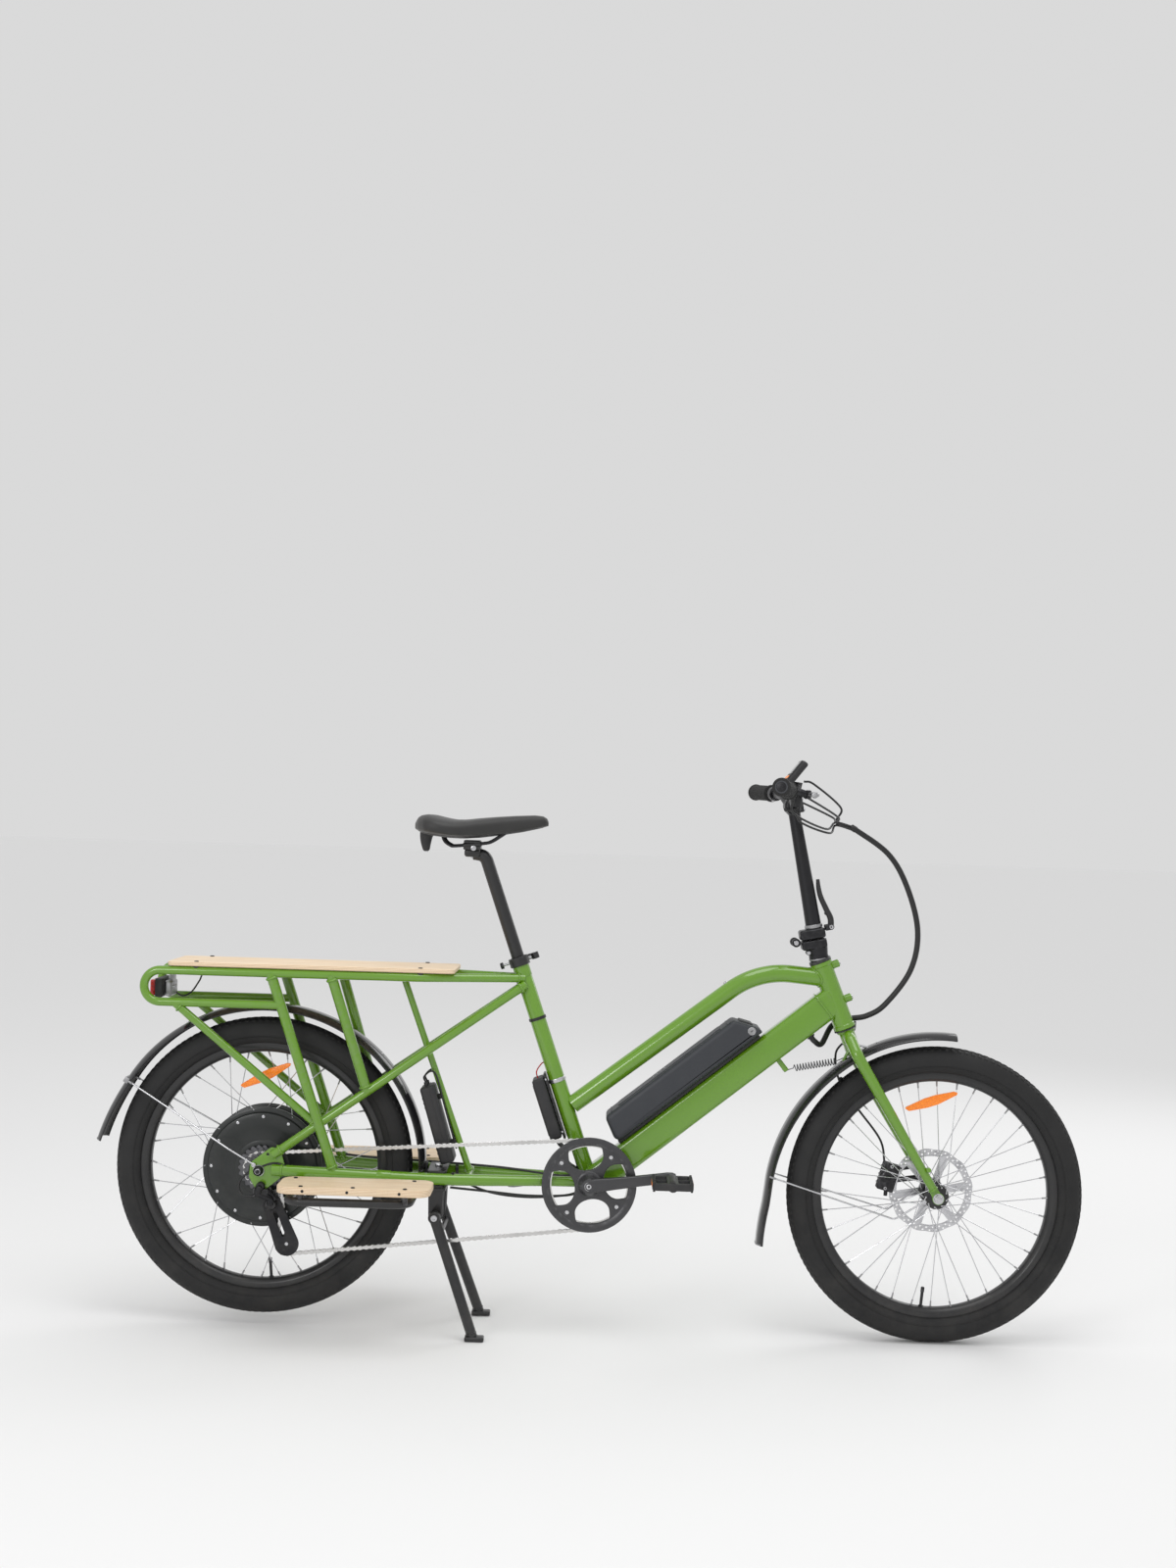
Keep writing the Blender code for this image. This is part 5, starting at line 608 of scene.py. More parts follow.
def plate(loops, thickness, bevel, place, resolution=2):
    # flat sheet with holes: loops of (x, y), thickness along local Z, made with a filled curve
    data = bpy.data.curves.new("sheetOutline", "CURVE")
    data.dimensions = "2D"
    data.fill_mode = "BOTH"
    data.extrude = thickness / 2 - bevel
    data.bevel_depth = bevel
    data.bevel_resolution = resolution
    data.offset = -bevel
    for loop in loops:
        spline = data.splines.new("POLY")
        spline.points.add(len(loop) - 1)
        spline.use_cyclic_u = True
        for point, (x, y) in zip(spline.points, loop):
            point.co = (x, y, 0, 1)
    holder = addObject("sheetOutline", data)
    graph = bpy.context.evaluated_depsgraph_get()
    mesh = bpy.data.meshes.new_from_object(holder.evaluated_get(graph))
    work = bmesh.new()
    work.from_mesh(mesh)
    bmesh.ops.remove_doubles(work, verts=work.verts, dist=1e-6)
    bpy.data.objects.remove(holder)
    bpy.data.curves.remove(data)
    bpy.data.meshes.remove(mesh)
    return fromBmesh(work, place)


def roundLoop(x, y, radius, steps=32):
    turns = [2 * pi * k / steps for k in range(steps)]
    return [(x + radius * cos(t), y + radius * sin(t)) for t in turns]


def facingSide(centre):
    # local X stays world X, local Y becomes world Z, local Z points to the drive side
    return axes(centre, (1, 0, 0), (0, 0, 1))


def bolt(spot, axis, radius, height, socket=True, ring=24):
    # cap screw: rounded head with a hexagon socket
    edge = min(radius, height) * 0.3
    profile = [(0, 0), (0, radius), (height - edge, radius), (height - edge * 0.3, radius - edge * 0.3),
               (height, radius - edge)]
    if socket:
        inner = radius * 0.5
        profile += [(height, inner), (height * 0.45, inner * 0.94), (height * 0.45, 0)]
    else:
        profile += [(height * 1.08, radius * 0.5), (height * 1.12, 0)]
    return lathe(spot, axis, profile, ring)


def hexNut(spot, axis, radius, height):
    shape = lathe(spot, axis, [(0, 0), (0, radius), (height, radius), (height, 0)], 6)
    return soften(shape, radius * 0.12, 2, above=40)


def beadRing(centre, axis, radius, thick=0.003):
    # weld ripple round a tube
    axis, first, second = squareTo(axis)
    steps, count = 144, max(8, round(2 * pi * radius / 0.005))
    turns = [2 * pi * k / steps for k in range(steps)]
    path = [Vector(centre) + radius * (cos(t) * first + sin(t) * second) for t in turns]
    radii = [thick * (0.84 + 0.16 * abs(sin(pi * count * k / steps))) for k in range(steps)]
    return sweep(path, [circle(r, 10) for r in radii], closed=True)


def piece(name, body, finish, shapes, replaces=(), smooth=38, between=None):
    mesh = bpy.data.meshes.new(name)
    points, faces, which, used = [], [], [], [finish]
    for entry in shapes:
        shape, own = entry if isinstance(entry[1], str) else (entry, finish)
        if own not in used:
            used.append(own)
        shift = len(points)
        points += list(shape[0])
        faces += [tuple(i + shift for i in face) for face in shape[1]]
        which += [used.index(own)] * len(shape[1])
    mesh.from_pydata(points, [], faces)
    for own in used:
        mesh.materials.append(finishes[own])
    mesh.polygons.foreach_set("material_index", which)
    work = bmesh.new()
    work.from_mesh(mesh)
    bmesh.ops.recalc_face_normals(work, faces=work.faces)
    work.to_mesh(mesh)
    work.free()
    mesh.shade_smooth()
    mesh.set_sharp_from_angle(angle=radians(smooth))
    mesh.update()
    shown = addObject(name, mesh)
    if between:
        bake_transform(shown)
    else:
        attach(shown, body)
    if replaces:
        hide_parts(*([replaces] if isinstance(replaces, str) else replaces))
    return shown


def pair(name, body, finish, shapesOf, node):
    # the right piece, then the left one; shapesOf takes the hand
    for hand, end in ((-1, "right"), (1, "left")):
        piece(name + end.capitalize(), body.format(end), finish, shapesOf(hand), node.format(end))


# Geometry Nodes tree: copies an item round an axle (Count times, about Y) and gives it one finish
def makeRingTree():
    tree, given, made = newGroup("ringRepeat", [
        ("Geometry", "Geometry", None), ("Item", "Object", None), ("Count", "Int", 9), ("Axle", "Vector", (0, 0, 0)),
        ("Finish", "Material", None)], [("Geometry", "Geometry")], "GeometryNodeTree")
    line = addNode(tree, "GeometryNodeMeshLine", {"Count": given["Count"], "Offset": (0, 0, 0)})
    item = addNode(tree, "GeometryNodeObjectInfo", {"Object": given["Item"]})
    copies = addNode(tree, "GeometryNodeInstanceOnPoints", {"Points": line, "Instance": item.outputs["Geometry"]})
    index = addNode(tree, "GeometryNodeInputIndex")
    turn = mathNode(tree, "MULTIPLY", index, mathNode(tree, "DIVIDE", 2 * pi, given["Count"]))
    angles = addNode(tree, "ShaderNodeCombineXYZ", {"Y": turn})
    spun = addNode(tree, "GeometryNodeRotateInstances",
                   {"Instances": copies, "Rotation": angles, "Local Space": False})
    whole = addNode(tree, "GeometryNodeRealizeInstances", {0: spun})
    put = addNode(tree, "GeometryNodeTransform", {"Geometry": whole, "Translation": given["Axle"]})
    coated = addNode(tree, "GeometryNodeSetMaterial", {"Geometry": put, "Material": given["Finish"]})
    feed(tree, made, {0: coated})
    return tree


# Geometry Nodes tree: lays two items by turns along a curve, turned about Y to follow it
def makeChainTree():
    tree, given, made = newGroup("linksAlongPath", [
        ("Geometry", "Geometry", None), ("Count", "Int", 100), ("First item", "Object", None),
        ("Second item", "Object", None), ("Finish", "Material", None)], [("Geometry", "Geometry")],
        "GeometryNodeTree")
    spaced = addNode(tree, "GeometryNodeResampleCurve", {"Curve": given["Geometry"], "Count": given["Count"]})
    heading = addNode(tree, "GeometryNodeInputTangent")
    aim = addNode(tree, "FunctionNodeAlignRotationToVector", {"Vector": heading}, axis="X", pivot_axis="Y")
    odd = mathNode(tree, "MODULO", addNode(tree, "GeometryNodeInputIndex"), 2.0)
    joined = addNode(tree, "GeometryNodeGeometryToInstance")
    for label in ("Second item", "First item"):
        item = addNode(tree, "GeometryNodeObjectInfo", {"Object": given[label]})
        feed(tree, joined, {0: item.outputs["Geometry"]})
    copies = addNode(tree, "GeometryNodeInstanceOnPoints", {
        "Points": spaced, "Instance": joined, "Pick Instance": True, "Instance Index": odd, "Rotation": aim})
    whole = addNode(tree, "GeometryNodeRealizeInstances", {0: copies})
    coated = addNode(tree, "GeometryNodeSetMaterial", {"Geometry": whole, "Material": given["Finish"]})
    feed(tree, made, {0: coated})
    return tree


ringTree, chainTree = makeRingTree(), makeChainTree()


def seedObject(name, shape):
    mesh = bpy.data.meshes.new(name)
    mesh.from_pydata(shape[0], [], shape[1])
    return addObject(name, mesh)


def nodeShape(tree, carrier, inputs):
    # runs a tree on a carrier, reads the plain mesh back and clears the carrier and its modifier
    modifier = carrier.modifiers.new("repeat", "NODES")
    modifier.node_group = tree
    sockets = {s.name: s.identifier for s in tree.interface.items_tree if getattr(s, "in_out", "") == "INPUT"}
    for label, value in inputs.items():
        modifier[sockets[label]] = value
    carrier.update_tag()
    bpy.context.view_layer.update()
    graph = bpy.context.evaluated_depsgraph_get()
    mesh = bpy.data.meshes.new_from_object(carrier.evaluated_get(graph))
    shape = ([v.co.copy() for v in mesh.vertices], [tuple(p.vertices) for p in mesh.polygons])
    carrier.modifiers.remove(modifier)
    bpy.data.objects.remove(carrier)
    bpy.data.meshes.remove(mesh)
    return shape


def ringOf(shape, count, axle, finish):
    item = seedObject("ringItem", shape)
    carrier = seedObject("ringCarrier", ([Vector((0, 0, 0))], []))
    result = nodeShape(ringTree, carrier, {"Item": item, "Count": count, "Axle": tuple(axle),
        "Finish": finishes[finish]})
    bpy.data.objects.remove(item)
    return result, finish


print("shape helpers ready")


# Wheels
tyreSizes = {"outer": 0.3125, "tread": 0.0013, "count": 132, "blocks": [
    # across, length, width, radius, tilt, shift along the tread
    (0.0, 0.0086, 0.0058, 0.3119, 0, 0.0), (0.0078, 0.009, 0.0056, 0.3107, 14, 0.007),
    (-0.0078, 0.009, 0.0056, 0.3107, -14, 0.007), (0.0163, 0.0082, 0.0076, 0.3071, 33, 0.001),
    (-0.0163, 0.0082, 0.0076, 0.3071, -33, 0.001)], "section": [
    (0.0178, 0.259), (0.0215, 0.2604), (0.0262, 0.266), (0.0294, 0.2745), (0.03, 0.2815), (0.0288, 0.2905),
    (0.024, 0.3004), (0.0172, 0.3066), (0.01, 0.3101), (0.0, 0.3113)]}


def tyreShapes(axle):
    right = [Vector((y, r, 0)) for y, r in tyreSizes["section"]]
    outline = smoothPath(right, 4)
    outline += [Vector((-p.x, p.y, 0)) for p in reversed(outline[:-1])]
    outline += [Vector((-0.012, 0.2575, 0)), Vector((0.0, 0.2568, 0)), Vector((0.012, 0.2575, 0))]
    shapes = [lathe(axle, side, [(p.x, p.y) for p in outline], 160, closed=True)]
    for y in (-0.0296, 0.0296):  # moulded line on each side wall
        shapes.append(lathe(axle, side, [(y, 0.272), (y * 1.02, 0.2724), (y * 1.02, 0.273), (y, 0.2734),
            (y * 0.97, 0.2727)], 160, closed=True))
    block = []
    for y, length, width, radius, tilt, shift in tyreSizes["blocks"]:
        place = turned(-degrees(shift / tyreSizes["outer"])) @ placed((radius - 0.0004, y, 0)) @ turned(tilt, "Z")
        block.append(box(place, (2 * tyreSizes["tread"], width, length), 0.0004, 1))
    return shapes + [ringOf(merged(block), tyreSizes["count"], axle, "tyreRubber")]


rimSizes = {"section": [
    (-0.014, 0.2592), (-0.0152, 0.2598), (-0.0166, 0.2594), (-0.017, 0.258), (-0.0169, 0.25), (-0.016, 0.2468),
    (-0.0098, 0.2408), (-0.0075, 0.2395), (-0.004, 0.2389), (0.0, 0.2388), (0.004, 0.2389), (0.0075, 0.2395),
    (0.0098, 0.2408), (0.016, 0.2468), (0.0169, 0.25), (0.017, 0.258), (0.0166, 0.2594), (0.0152, 0.2598),
    (0.014, 0.2592), (0.0138, 0.2545), (0.01, 0.2525), (0.0, 0.2505), (-0.01, 0.2525), (-0.0138, 0.2545)],
    "spokeRadius": 0.00098}


def rimShapes(axle, valveAngle):
    out = (polar(axle, valveAngle, 1) - axle).normalized()
    valve = lathe(axle + out * 0.2392, -out, [
        (0, 0), (0, 0.0055), (0.002, 0.0055), (0.0026, 0.0032), (0.03, 0.0032), (0.0302, 0.004), (0.0395, 0.004),
        (0.041, 0.003), (0.0412, 0)], 16)
    return [lathe(axle, side, rimSizes["section"], 180, closed=True), (valve, "darkMetal")]


def spokeShapes(axle, sizes):
    group, nipples = [], []
    zero, thin = Vector((0, 0, 0)), rimSizes["spokeRadius"]
    for k in range(4):
        hand, leading, rimTurn = (-1, 1)[k % 2], (1, -1)[k // 2], 10 * k
        start = polar(zero, rimTurn - leading * sizes["lead"], sizes["startRadius"],
                      hand * (sizes["flangeY"] + leading * sizes["lean"]))
        end = polar(zero, rimTurn, 0.2376, hand * (0.004 + leading * 0.0021))
        along = (end - start).normalized()
        group.append(tube([start, start + along * 0.02, end - along * 0.02, end], [thin * 1.15, thin, thin, thin], 8))
        group.append(lathe(start - Vector((0, hand * 0.0012, 0)), (0, 1, 0),
                           [(-0.0014, 0), (-0.0014, 0.0016), (0, 0.0022), (0.0014, 0.0016), (0.0014, 0)], 10))
        foot = end + along * 0.0018
        nipples.append(lathe(foot, -along, [(0, 0), (0, 0.0023), (0.0024, 0.0023), (0.003, 0.0018), (0.012, 0.0017),
            (0.0125, 0.0011), (0.0125, 0)], 10))
    return [ringOf(merged(group), 9, axle, "brightSteel"), ringOf(merged(nipples), 9, axle, "castAlloy")]


rotorSizes = {"front": {"outer": 0.09, "y": 0.039, "bore": 0.019, "turn": 10},
              "rear": {"outer": 0.08, "y": 0.0525, "bore": 0.0215, "turn": 0},
              "thickness": 0.002, "waves": 12, "arms": 6}


def rotorShapes(axle, sizes):
    outer, waves = sizes["outer"], rotorSizes["waves"]
    rim = [(outer - 0.0012 + 0.0012 * cos(waves * 2 * pi * k / 192), 2 * pi * k / 192) for k in range(192)]
    loops = [[(r * cos(t), r * sin(t)) for r, t in rim], roundLoop(0, 0, sizes["bore"], 48)]
    band, hub, arms = outer - 0.0165, sizes["bore"] + 0.0085, rotorSizes["arms"]
    for k in range(arms):  # slanting arms between the hub ring and the band
        window = []
        for radius, a, b in ((band, 6, 52), (hub, 38, 12)):
            for j in range(11):
                t = radians(60 * k + a + (b - a) * j / 10)
                window.append((radius * cos(t), radius * sin(t)))
        loops.append(window)
    for k in range(36):  # drilled band
        for row, radius in ((0, outer - 0.005), (1, outer - 0.0108)):
            t = radians(10 * k + 5 * row)
            loops.append(roundLoop(radius * cos(t), radius * sin(t), 0.00205, 10))
    sheet = plate(loops, rotorSizes["thickness"], 0.0003,
                  facingSide(axle + side * sizes["y"]) @ turned(sizes["turn"], "Z"), 1)
    bolts = [bolt(polar(axle, 60 * k + 25, sizes["bore"] + 0.0043, sizes["y"] + 0.001), side, 0.0027, 0.0022, ring=12)
             for k in range(6)]
    return [sheet, (merged(bolts), "darkMetal")]


reflectorSizes = {"halfLength": 0.058, "halfHeight": 0.0102,
                  "front": (93.5, 0.1976, 19, -0.0105, -0.0035), "rear": (90.4, 0.1898, 26, -0.0145, -0.007)}


def flatLoop(corners, radius, steps=4):
    # closed 2-D loop with rounded corners
    count = len(corners)
    loop = []
    for k in range(count):
        a, b, c = (Vector((*corners[(k + j) % count], 0)) for j in (-1, 0, 1))
        loop += [(p.x, p.y) for p in roundedPath([(a + b) / 2, b, (b + c) / 2], radius, steps)[1:-1]]
    return loop


def reflectorShapes(axle, sizes):
    angle, radius, tilt, low, high = sizes
    centre = polar(axle, angle, radius, low)
    turn = radians(tilt)
    place = axes(centre, (cos(turn), 0, sin(turn)), (-sin(turn), 0, cos(turn)))  # Z to the drive side
    length, height = reflectorSizes["halfLength"], reflectorSizes["halfHeight"]

    def pill(inset):  # long hexagon with slanting ends
        tip, low = length - inset * 1.4, (height - inset)
        return flatLoop([(-tip, low * 0.2), (-tip + 0.006, -low * 0.52), (-0.012, -low), (0.012, -low),
                         (tip - 0.003, -low * 0.3), (tip, low * 0.1),
                         (tip - 0.006, low * 0.52), (0.012, low), (-0.012, low), (-tip + 0.003, low * 0.45)], 0.003)

    depth = high - low
    shell = plate([pill(0), pill(0.0016)], depth, 0.0006, place @ placed((0, 0, -depth / 2)))
    lens = plate([pill(0.0015)], depth * 0.72, 0.0005, place @ placed((0, 0, -depth * 0.42)))
    ribs = [box(place @ placed((x * 0.0058, 0, -depth * 0.06)),
                (0.0008, 2 * height * (1 - 0.042 * abs(x)) - 0.005, 0.0007))
            for x in range(-8, 9)]
    clips = [box(place @ placed((x, 0, -depth + 0.0006)), (0.007, 0.012, 0.0042), 0.0008) for x in (-0.03, 0.03)]
    return [shell, lens, merged(ribs), (merged(clips), "blackPlastic")]


piece("frontTyre", "front_wheel", "tyreRubber", tyreShapes(frontAxle), "front_tyre", 50)
piece("rearTyre", "rear_wheel", "tyreRubber", tyreShapes(rearAxle), "rear_tyre", 50)
piece("frontRim", "front_wheel", "blackPaint", rimShapes(frontAxle, 265), "front_rim")
piece("rearRim", "rear_wheel", "blackPaint", rimShapes(rearAxle, 275), "rear_rim")
print("tyres and rims built")

hubSizes = {"profile": [(-0.05, 0), (-0.05, 0.0085), (-0.049, 0.0095), (-0.036, 0.0095), (-0.0345, 0.013),
                        (-0.0328, 0.0255), (-0.0322, 0.0262), (-0.03, 0.0262), (-0.0294, 0.0255), (-0.028, 0.019),
                        (-0.024, 0.0168), (-0.01, 0.0158), (0.0, 0.0156), (0.01, 0.0158), (0.024, 0.0168),
                        (0.028, 0.019), (0.0294, 0.0255), (0.03, 0.0262), (0.0322, 0.0262), (0.0328, 0.0255),
                        (0.0345, 0.019), (0.0375, 0.0185), (0.0378, 0.0165), (0.044, 0.0165), (0.045, 0.015),
                        (0.0455, 0.0095), (0.049, 0.0095), (0.05, 0.0085), (0.05, 0)],
            "lead": 58, "startRadius": 0.022, "flangeY": 0.031, "lean": 0.0028}
piece("frontHub", "front_wheel", "blackPaint",
      [lathe(frontAxle, side, hubSizes["profile"])] + spokeShapes(frontAxle, hubSizes), "front_hub")
piece("frontRotor", "front_wheel", "brightSteel", rotorShapes(frontAxle, rotorSizes["front"]), "front_rotor")
piece("rearRotor", "rear_wheel", "brightSteel", rotorShapes(rearAxle, rotorSizes["rear"]), "rear_rotor")
piece("frontReflector", "front_wheel", "orangeLens", reflectorShapes(frontAxle, reflectorSizes["front"]),
      "front_reflector")
piece("rearReflector", "rear_wheel", "orangeLens", reflectorShapes(rearAxle, reflectorSizes["rear"]),
      "rear_reflector")

motorSizes = {"profile": [
    (-0.0395, 0), (-0.0395, 0.0235), (-0.0385, 0.0245), (-0.0368, 0.03), (-0.0362, 0.04), (-0.0366, 0.041),
    (-0.0366, 0.056), (-0.036, 0.057), (-0.0352, 0.058), (-0.0352, 0.086), (-0.0358, 0.087), (-0.0358, 0.112),
    (-0.035, 0.1135), (-0.03, 0.1155), (-0.0298, 0.1245), (-0.029, 0.1255), (-0.024, 0.1255), (-0.0232, 0.1245),
    (-0.0228, 0.117), (-0.0215, 0.1158), (0.0215, 0.1158), (0.0228, 0.117), (0.0232, 0.1245), (0.024, 0.1255),
    (0.029, 0.1255), (0.0298, 0.1245), (0.03, 0.1155), (0.035, 0.1135), (0.0358, 0.112), (0.0358, 0.087),
    (0.0352, 0.086), (0.0352, 0.058), (0.036, 0.057), (0.036, 0.042), (0.037, 0.038), (0.042, 0.029),
    (0.044, 0.026), (0.051, 0.0255), (0.0512, 0.0205), (0.055, 0.02), (0.0555, 0.019), (0.0557, 0.0165),
    (0.0655, 0.016), (0.066, 0.015), (0.066, 0)],
    "bolts": 12, "boltCircle": 0.1064, "lead": 20, "startRadius": 0.12, "flangeY": 0.0265, "lean": 0.003}
coverBolts = [bolt((motorSizes["boltCircle"], hand * 0.035, 0), (0, hand, 0), 0.0034, 0.0026, ring=14)
              for hand in (-1, 1)]
piece("hubMotor", "rear_wheel", "motorBlack",
      [lathe(rearAxle, side, motorSizes["profile"], 128),
       ringOf(merged(coverBolts), motorSizes["bolts"], rearAxle, "brightSteel")]
      + spokeShapes(rearAxle, motorSizes), "hub_motor")
print("hubs, rotors and reflectors built")

# Main frame
tubeSizes = {"topTube": 0.019, "seatTube": 0.017, "headTube": 0.022, "shell": 0.0215, "downWidth": 0.056,
             "downTopWidth": 0.0431, "downHeight": 0.062, "edge": 0.012, "bend": 0.21}


def roundedSection(height, width, edge, steps=4):
    # (u, v) loop: u along the section's up, v across
    loop = []
    for cu, cv, start in ((1, 1, 0), (-1, 1, 90), (-1, -1, 180), (1, -1, 270)):
        for k in range(steps + 1):
            t = radians(start + 90 * k / steps)
            u, v = cos(t), sin(t)
            loop.append((cu * (height / 2 - edge) + edge * u, cv * (width / 2 - edge) + edge * v))
    return loop


def seamOn(path, thick=0.0034):
    # weld ripple that runs along a closed path
    count = len(path)
    length = sum((Vector(path[k]) - Vector(path[k - 1])).length for k in range(count))
    ripples = max(6, round(length / 0.0048))
    return sweep(path, [circle(thick * (0.82 + 0.18 * abs(sin(pi * ripples * k / count))), 8)
                        for k in range(count)], closed=True)


def meetingLoop(base, along, radius, target, targetLine, targetRadius, steps=72):
    # where a tube (base, along, radius) meets the skin of another round tube, found ray by ray
    (along, first, second), targetLine = squareTo(along), Vector(targetLine).normalized()
    loop = []
    for k in range(steps):
        t = 2 * pi * k / steps
        spot = Vector(base) + radius * (cos(t) * first + sin(t) * second)
        off = spot - Vector(target)
        off -= off.dot(targetLine) * targetLine
        way = along - along.dot(targetLine) * targetLine
        a, b, c = way.dot(way), 2 * off.dot(way), off.dot(off) - targetRadius ** 2
        inside = b * b - 4 * a * c
        if inside < 0 or a < 1e-9:
            return None
        loop.append(spot + along * ((-b - sqrt(inside)) / (2 * a)))
    return loop


def mainFrameShapes():
    headEnd = headTop - 0.037 * steerLine
    corner = headEnd + 0.146 * lineAt(5)
    topPath = roundedPath([bracket + 0.158 * seatLine, corner, headEnd], tubeSizes["bend"], 18)
    topPath[0] += (topPath[1] - topPath[0]).normalized() * 0.016  # ends in the seat tube's wall
    top = tube(topPath, tubeSizes["topTube"], 40)
    seat = tube([bracket, seatTop], tubeSizes["seatTube"], 40, edge=0.0012)
    sleeve = tube([bracket + 0.452 * seatLine, bracket + 0.4835 * seatLine], tubeSizes["seatTube"] + 0.0008, 40,
                  edge=0.001)
    head = lathe(headFoot, steerLine, [
        (0, 0.017), (0, 0.0222), (0.0015, 0.0236), (0.0085, 0.0236), (0.01, 0.0222), (0.016, 0.022), (0.134, 0.022),
        (0.14, 0.0222), (0.1415, 0.0236), (0.1485, 0.0236), (0.15, 0.0222), (0.15, 0.017)])
    count = 14
    downPath = [downFoot + (downTop - downFoot) * k / (count - 1) for k in range(count)]
    width, narrowing = tubeSizes["downWidth"], tubeSizes["downTopWidth"] - tubeSizes["downWidth"]
    sections = [roundedSection(tubeSizes["downHeight"], width + narrowing * k / (count - 1), tubeSizes["edge"], 6)
                for k in range(count)]
    down = sweep(downPath, sections, up=downUp)
    shell = lathe(bracket - side * 0.0365, side, [
        (0, 0.016), (0, 0.0203), (0.0012, 0.0215), (0.0718, 0.0215), (0.073, 0.0203), (0.073, 0.016)])
    bosses = []
    for lift in (0.0625, 0.139):
        base = crown + lift * steerLine + 0.016 * steerForward
        bosses.append(lathe(base, steerForward, [(0, 0), (0, 0.0085), (0.019, 0.0085), (0.02, 0.0075), (0.02, 0)],
                            28))
        bosses.append((bolt(base + 0.0196 * steerForward, steerForward, 0.0052, 0.0028), "brightSteel"))
    studs, studUp = [], Vector((-0.636, 0, 0.772))
    for spot in (Vector((0.1227, 0, 0.629)), Vector((0.0721, 0, 0.586))):  # cable bosses on the top tube
        nearest = min(topPath, key=lambda p: (p - spot).length)
        studs.append((bolt(nearest + studUp * 0.0183, studUp, 0.0042, 0.0034), "brightSteel"))
    seams = []
    for target, line, radius, base, along, own in (
            (bracket, seatLine, tubeSizes["seatTube"], topPath[0] + (topPath[1] - topPath[0]).normalized() * 0.06,
             (topPath[0] - topPath[1]), tubeSizes["topTube"] - 0.0004),
            (crown, steerLine, tubeSizes["headTube"], topPath[-1] + (topPath[-2] - topPath[-1]).normalized() * 0.08,
             (topPath[-1] - topPath[-2]), tubeSizes["topTube"] - 0.0004),
            (bracket, side, tubeSizes["shell"], bracket + 0.08 * seatLine, -seatLine,
             tubeSizes["seatTube"] - 0.0004)):
        loop = meetingLoop(base, along, own, target, line, radius)
        if loop:
            seams.append(seamOn(loop))
    spot = downTop - 0.028 * downLine
    loop = [spot + u * downUp + v * side for u, v in
            roundedSection(tubeSizes["downHeight"] + 0.0016, tubeSizes["downTopWidth"] + 0.0016, tubeSizes["edge"],
                           12)]
    seams.append(seamOn(loop, 0.0026))
    for lift in (0.0625, 0.139):
        seams.append(beadRing(crown + lift * steerLine + 0.0215 * steerForward, steerForward, 0.0085, 0.0018))
    tab = onDownTube(0.478, -0.027)
    hanger = tube([tab, springAnchor + (springAnchor - tab).normalized() * 0.004], 0.0055, 16, edge=0.001, flat=0.5)
    gusset = tube([bracket + 0.435 * seatLine + seatBack * 0.01, bracket + 0.455 * seatLine + seatBack * 0.017],
                  0.006, 16)
    return [top, seat, sleeve, head, down, shell, hanger, gusset] + bosses + studs + seams


piece("mainFrame", "frame", "greenPaint", mainFrameShapes(), "main_frame")


def fittingShapes():
    # head set cups, bottom bracket cups and the port where the cables enter the down tube
    lower = lathe(headFoot - 0.003 * steerLine, steerLine, [
        (0, 0), (0, 0.0225), (0.0006, 0.024), (0.003, 0.024), (0.0034, 0)], 48)
    upper = lathe(headTop, steerLine, [
        (-0.0006, 0), (-0.0006, 0.0238), (0.004, 0.024), (0.006, 0.0232), (0.0068, 0)], 48)
    cups = [lathe(bracket + side * hand * 0.036, side * hand, [
        (0, 0), (0, 0.0205), (0.0045, 0.0205), (0.0055, 0.0195), (0.0055, 0.0)], 48) for hand in (-1, 1)]
    collar = lathe(cablePort + 0.002 * downUp, -downUp, [
        (0, 0.006), (0, 0.0092), (0.004, 0.0092), (0.0062, 0.0082), (0.0066, 0.0062), (0.002, 0.0061)], 32,
        closed=True)
    return [lower, upper] + cups + [(collar, "blackPlastic")]


piece("headSetCups", "frame", "blackPaint", fittingShapes())
print("main frame built")

# Chainstays, side frames and rack rails
staySizes = {"path": [(0.028, 0.0762, 0.0025), (0.33, 0.064, -0.008), (0.466, 0.05, -0.0105), (0.598, 0.032, -0.0115),
                      (0.688, 0.025, -0.0125)], "radii": [0.0122, 0.0122, 0.0122, 0.0108, 0.0108],
             "plate": [(-0.02, -0.014), (-0.006, -0.038), (0.014, -0.04), (0.046, -0.014), (0.054, 0.012),
                       (0.044, 0.044), (0.026, 0.05), (-0.018, 0.016)], "plateLow": 0.0675, "plateHigh": 0.0735}


def chainstayShapes(hand):
    path = [rearAxle + Vector((x, hand * y, z)) for x, y, z in staySizes["path"]]
    dense = smoothPath(path)
    tubeShape = tube(dense, staySizes["radii"], 36)
    back = (dense[10] - dense[0]).normalized()
    sleeve = tube([dense[10] - back * 0.085, dense[10] - back * 0.055], 0.0131, 36, edge=0.0012)
    place = facingSide(rearAxle + side * hand * (staySizes["plateLow"] + staySizes["plateHigh"]) / 2)
    holes = [roundLoop(0, 0, 0.0062, 24), roundLoop(0.018, 0.034, 0.003, 16)]
    if hand < 0:
        holes.append(roundLoop(0.006, -0.031, 0.004, 16))
    sheet = plate([flatLoop(staySizes["plate"], 0.01, 6)] + holes, staySizes["plateHigh"] - staySizes["plateLow"],
                  0.0008, place)
    joint = dense[0] + (dense[1] - dense[0]).normalized() * 0.02
    seams = [beadRing(joint, dense[1] - dense[0], 0.0118, 0.0026)]
    along = dense[-1] - dense[-2]
    loop = meetingLoop(dense[-1] - along.normalized() * 0.06, along, 0.0104, bracket, side, 0.0215)
    if loop:
        seams.append(seamOn(loop, 0.0028))
    return [tubeShape, sleeve, sheet] + seams


pair("chainstay", "frame", "greenPaint", chainstayShapes, "chainstay_{}")

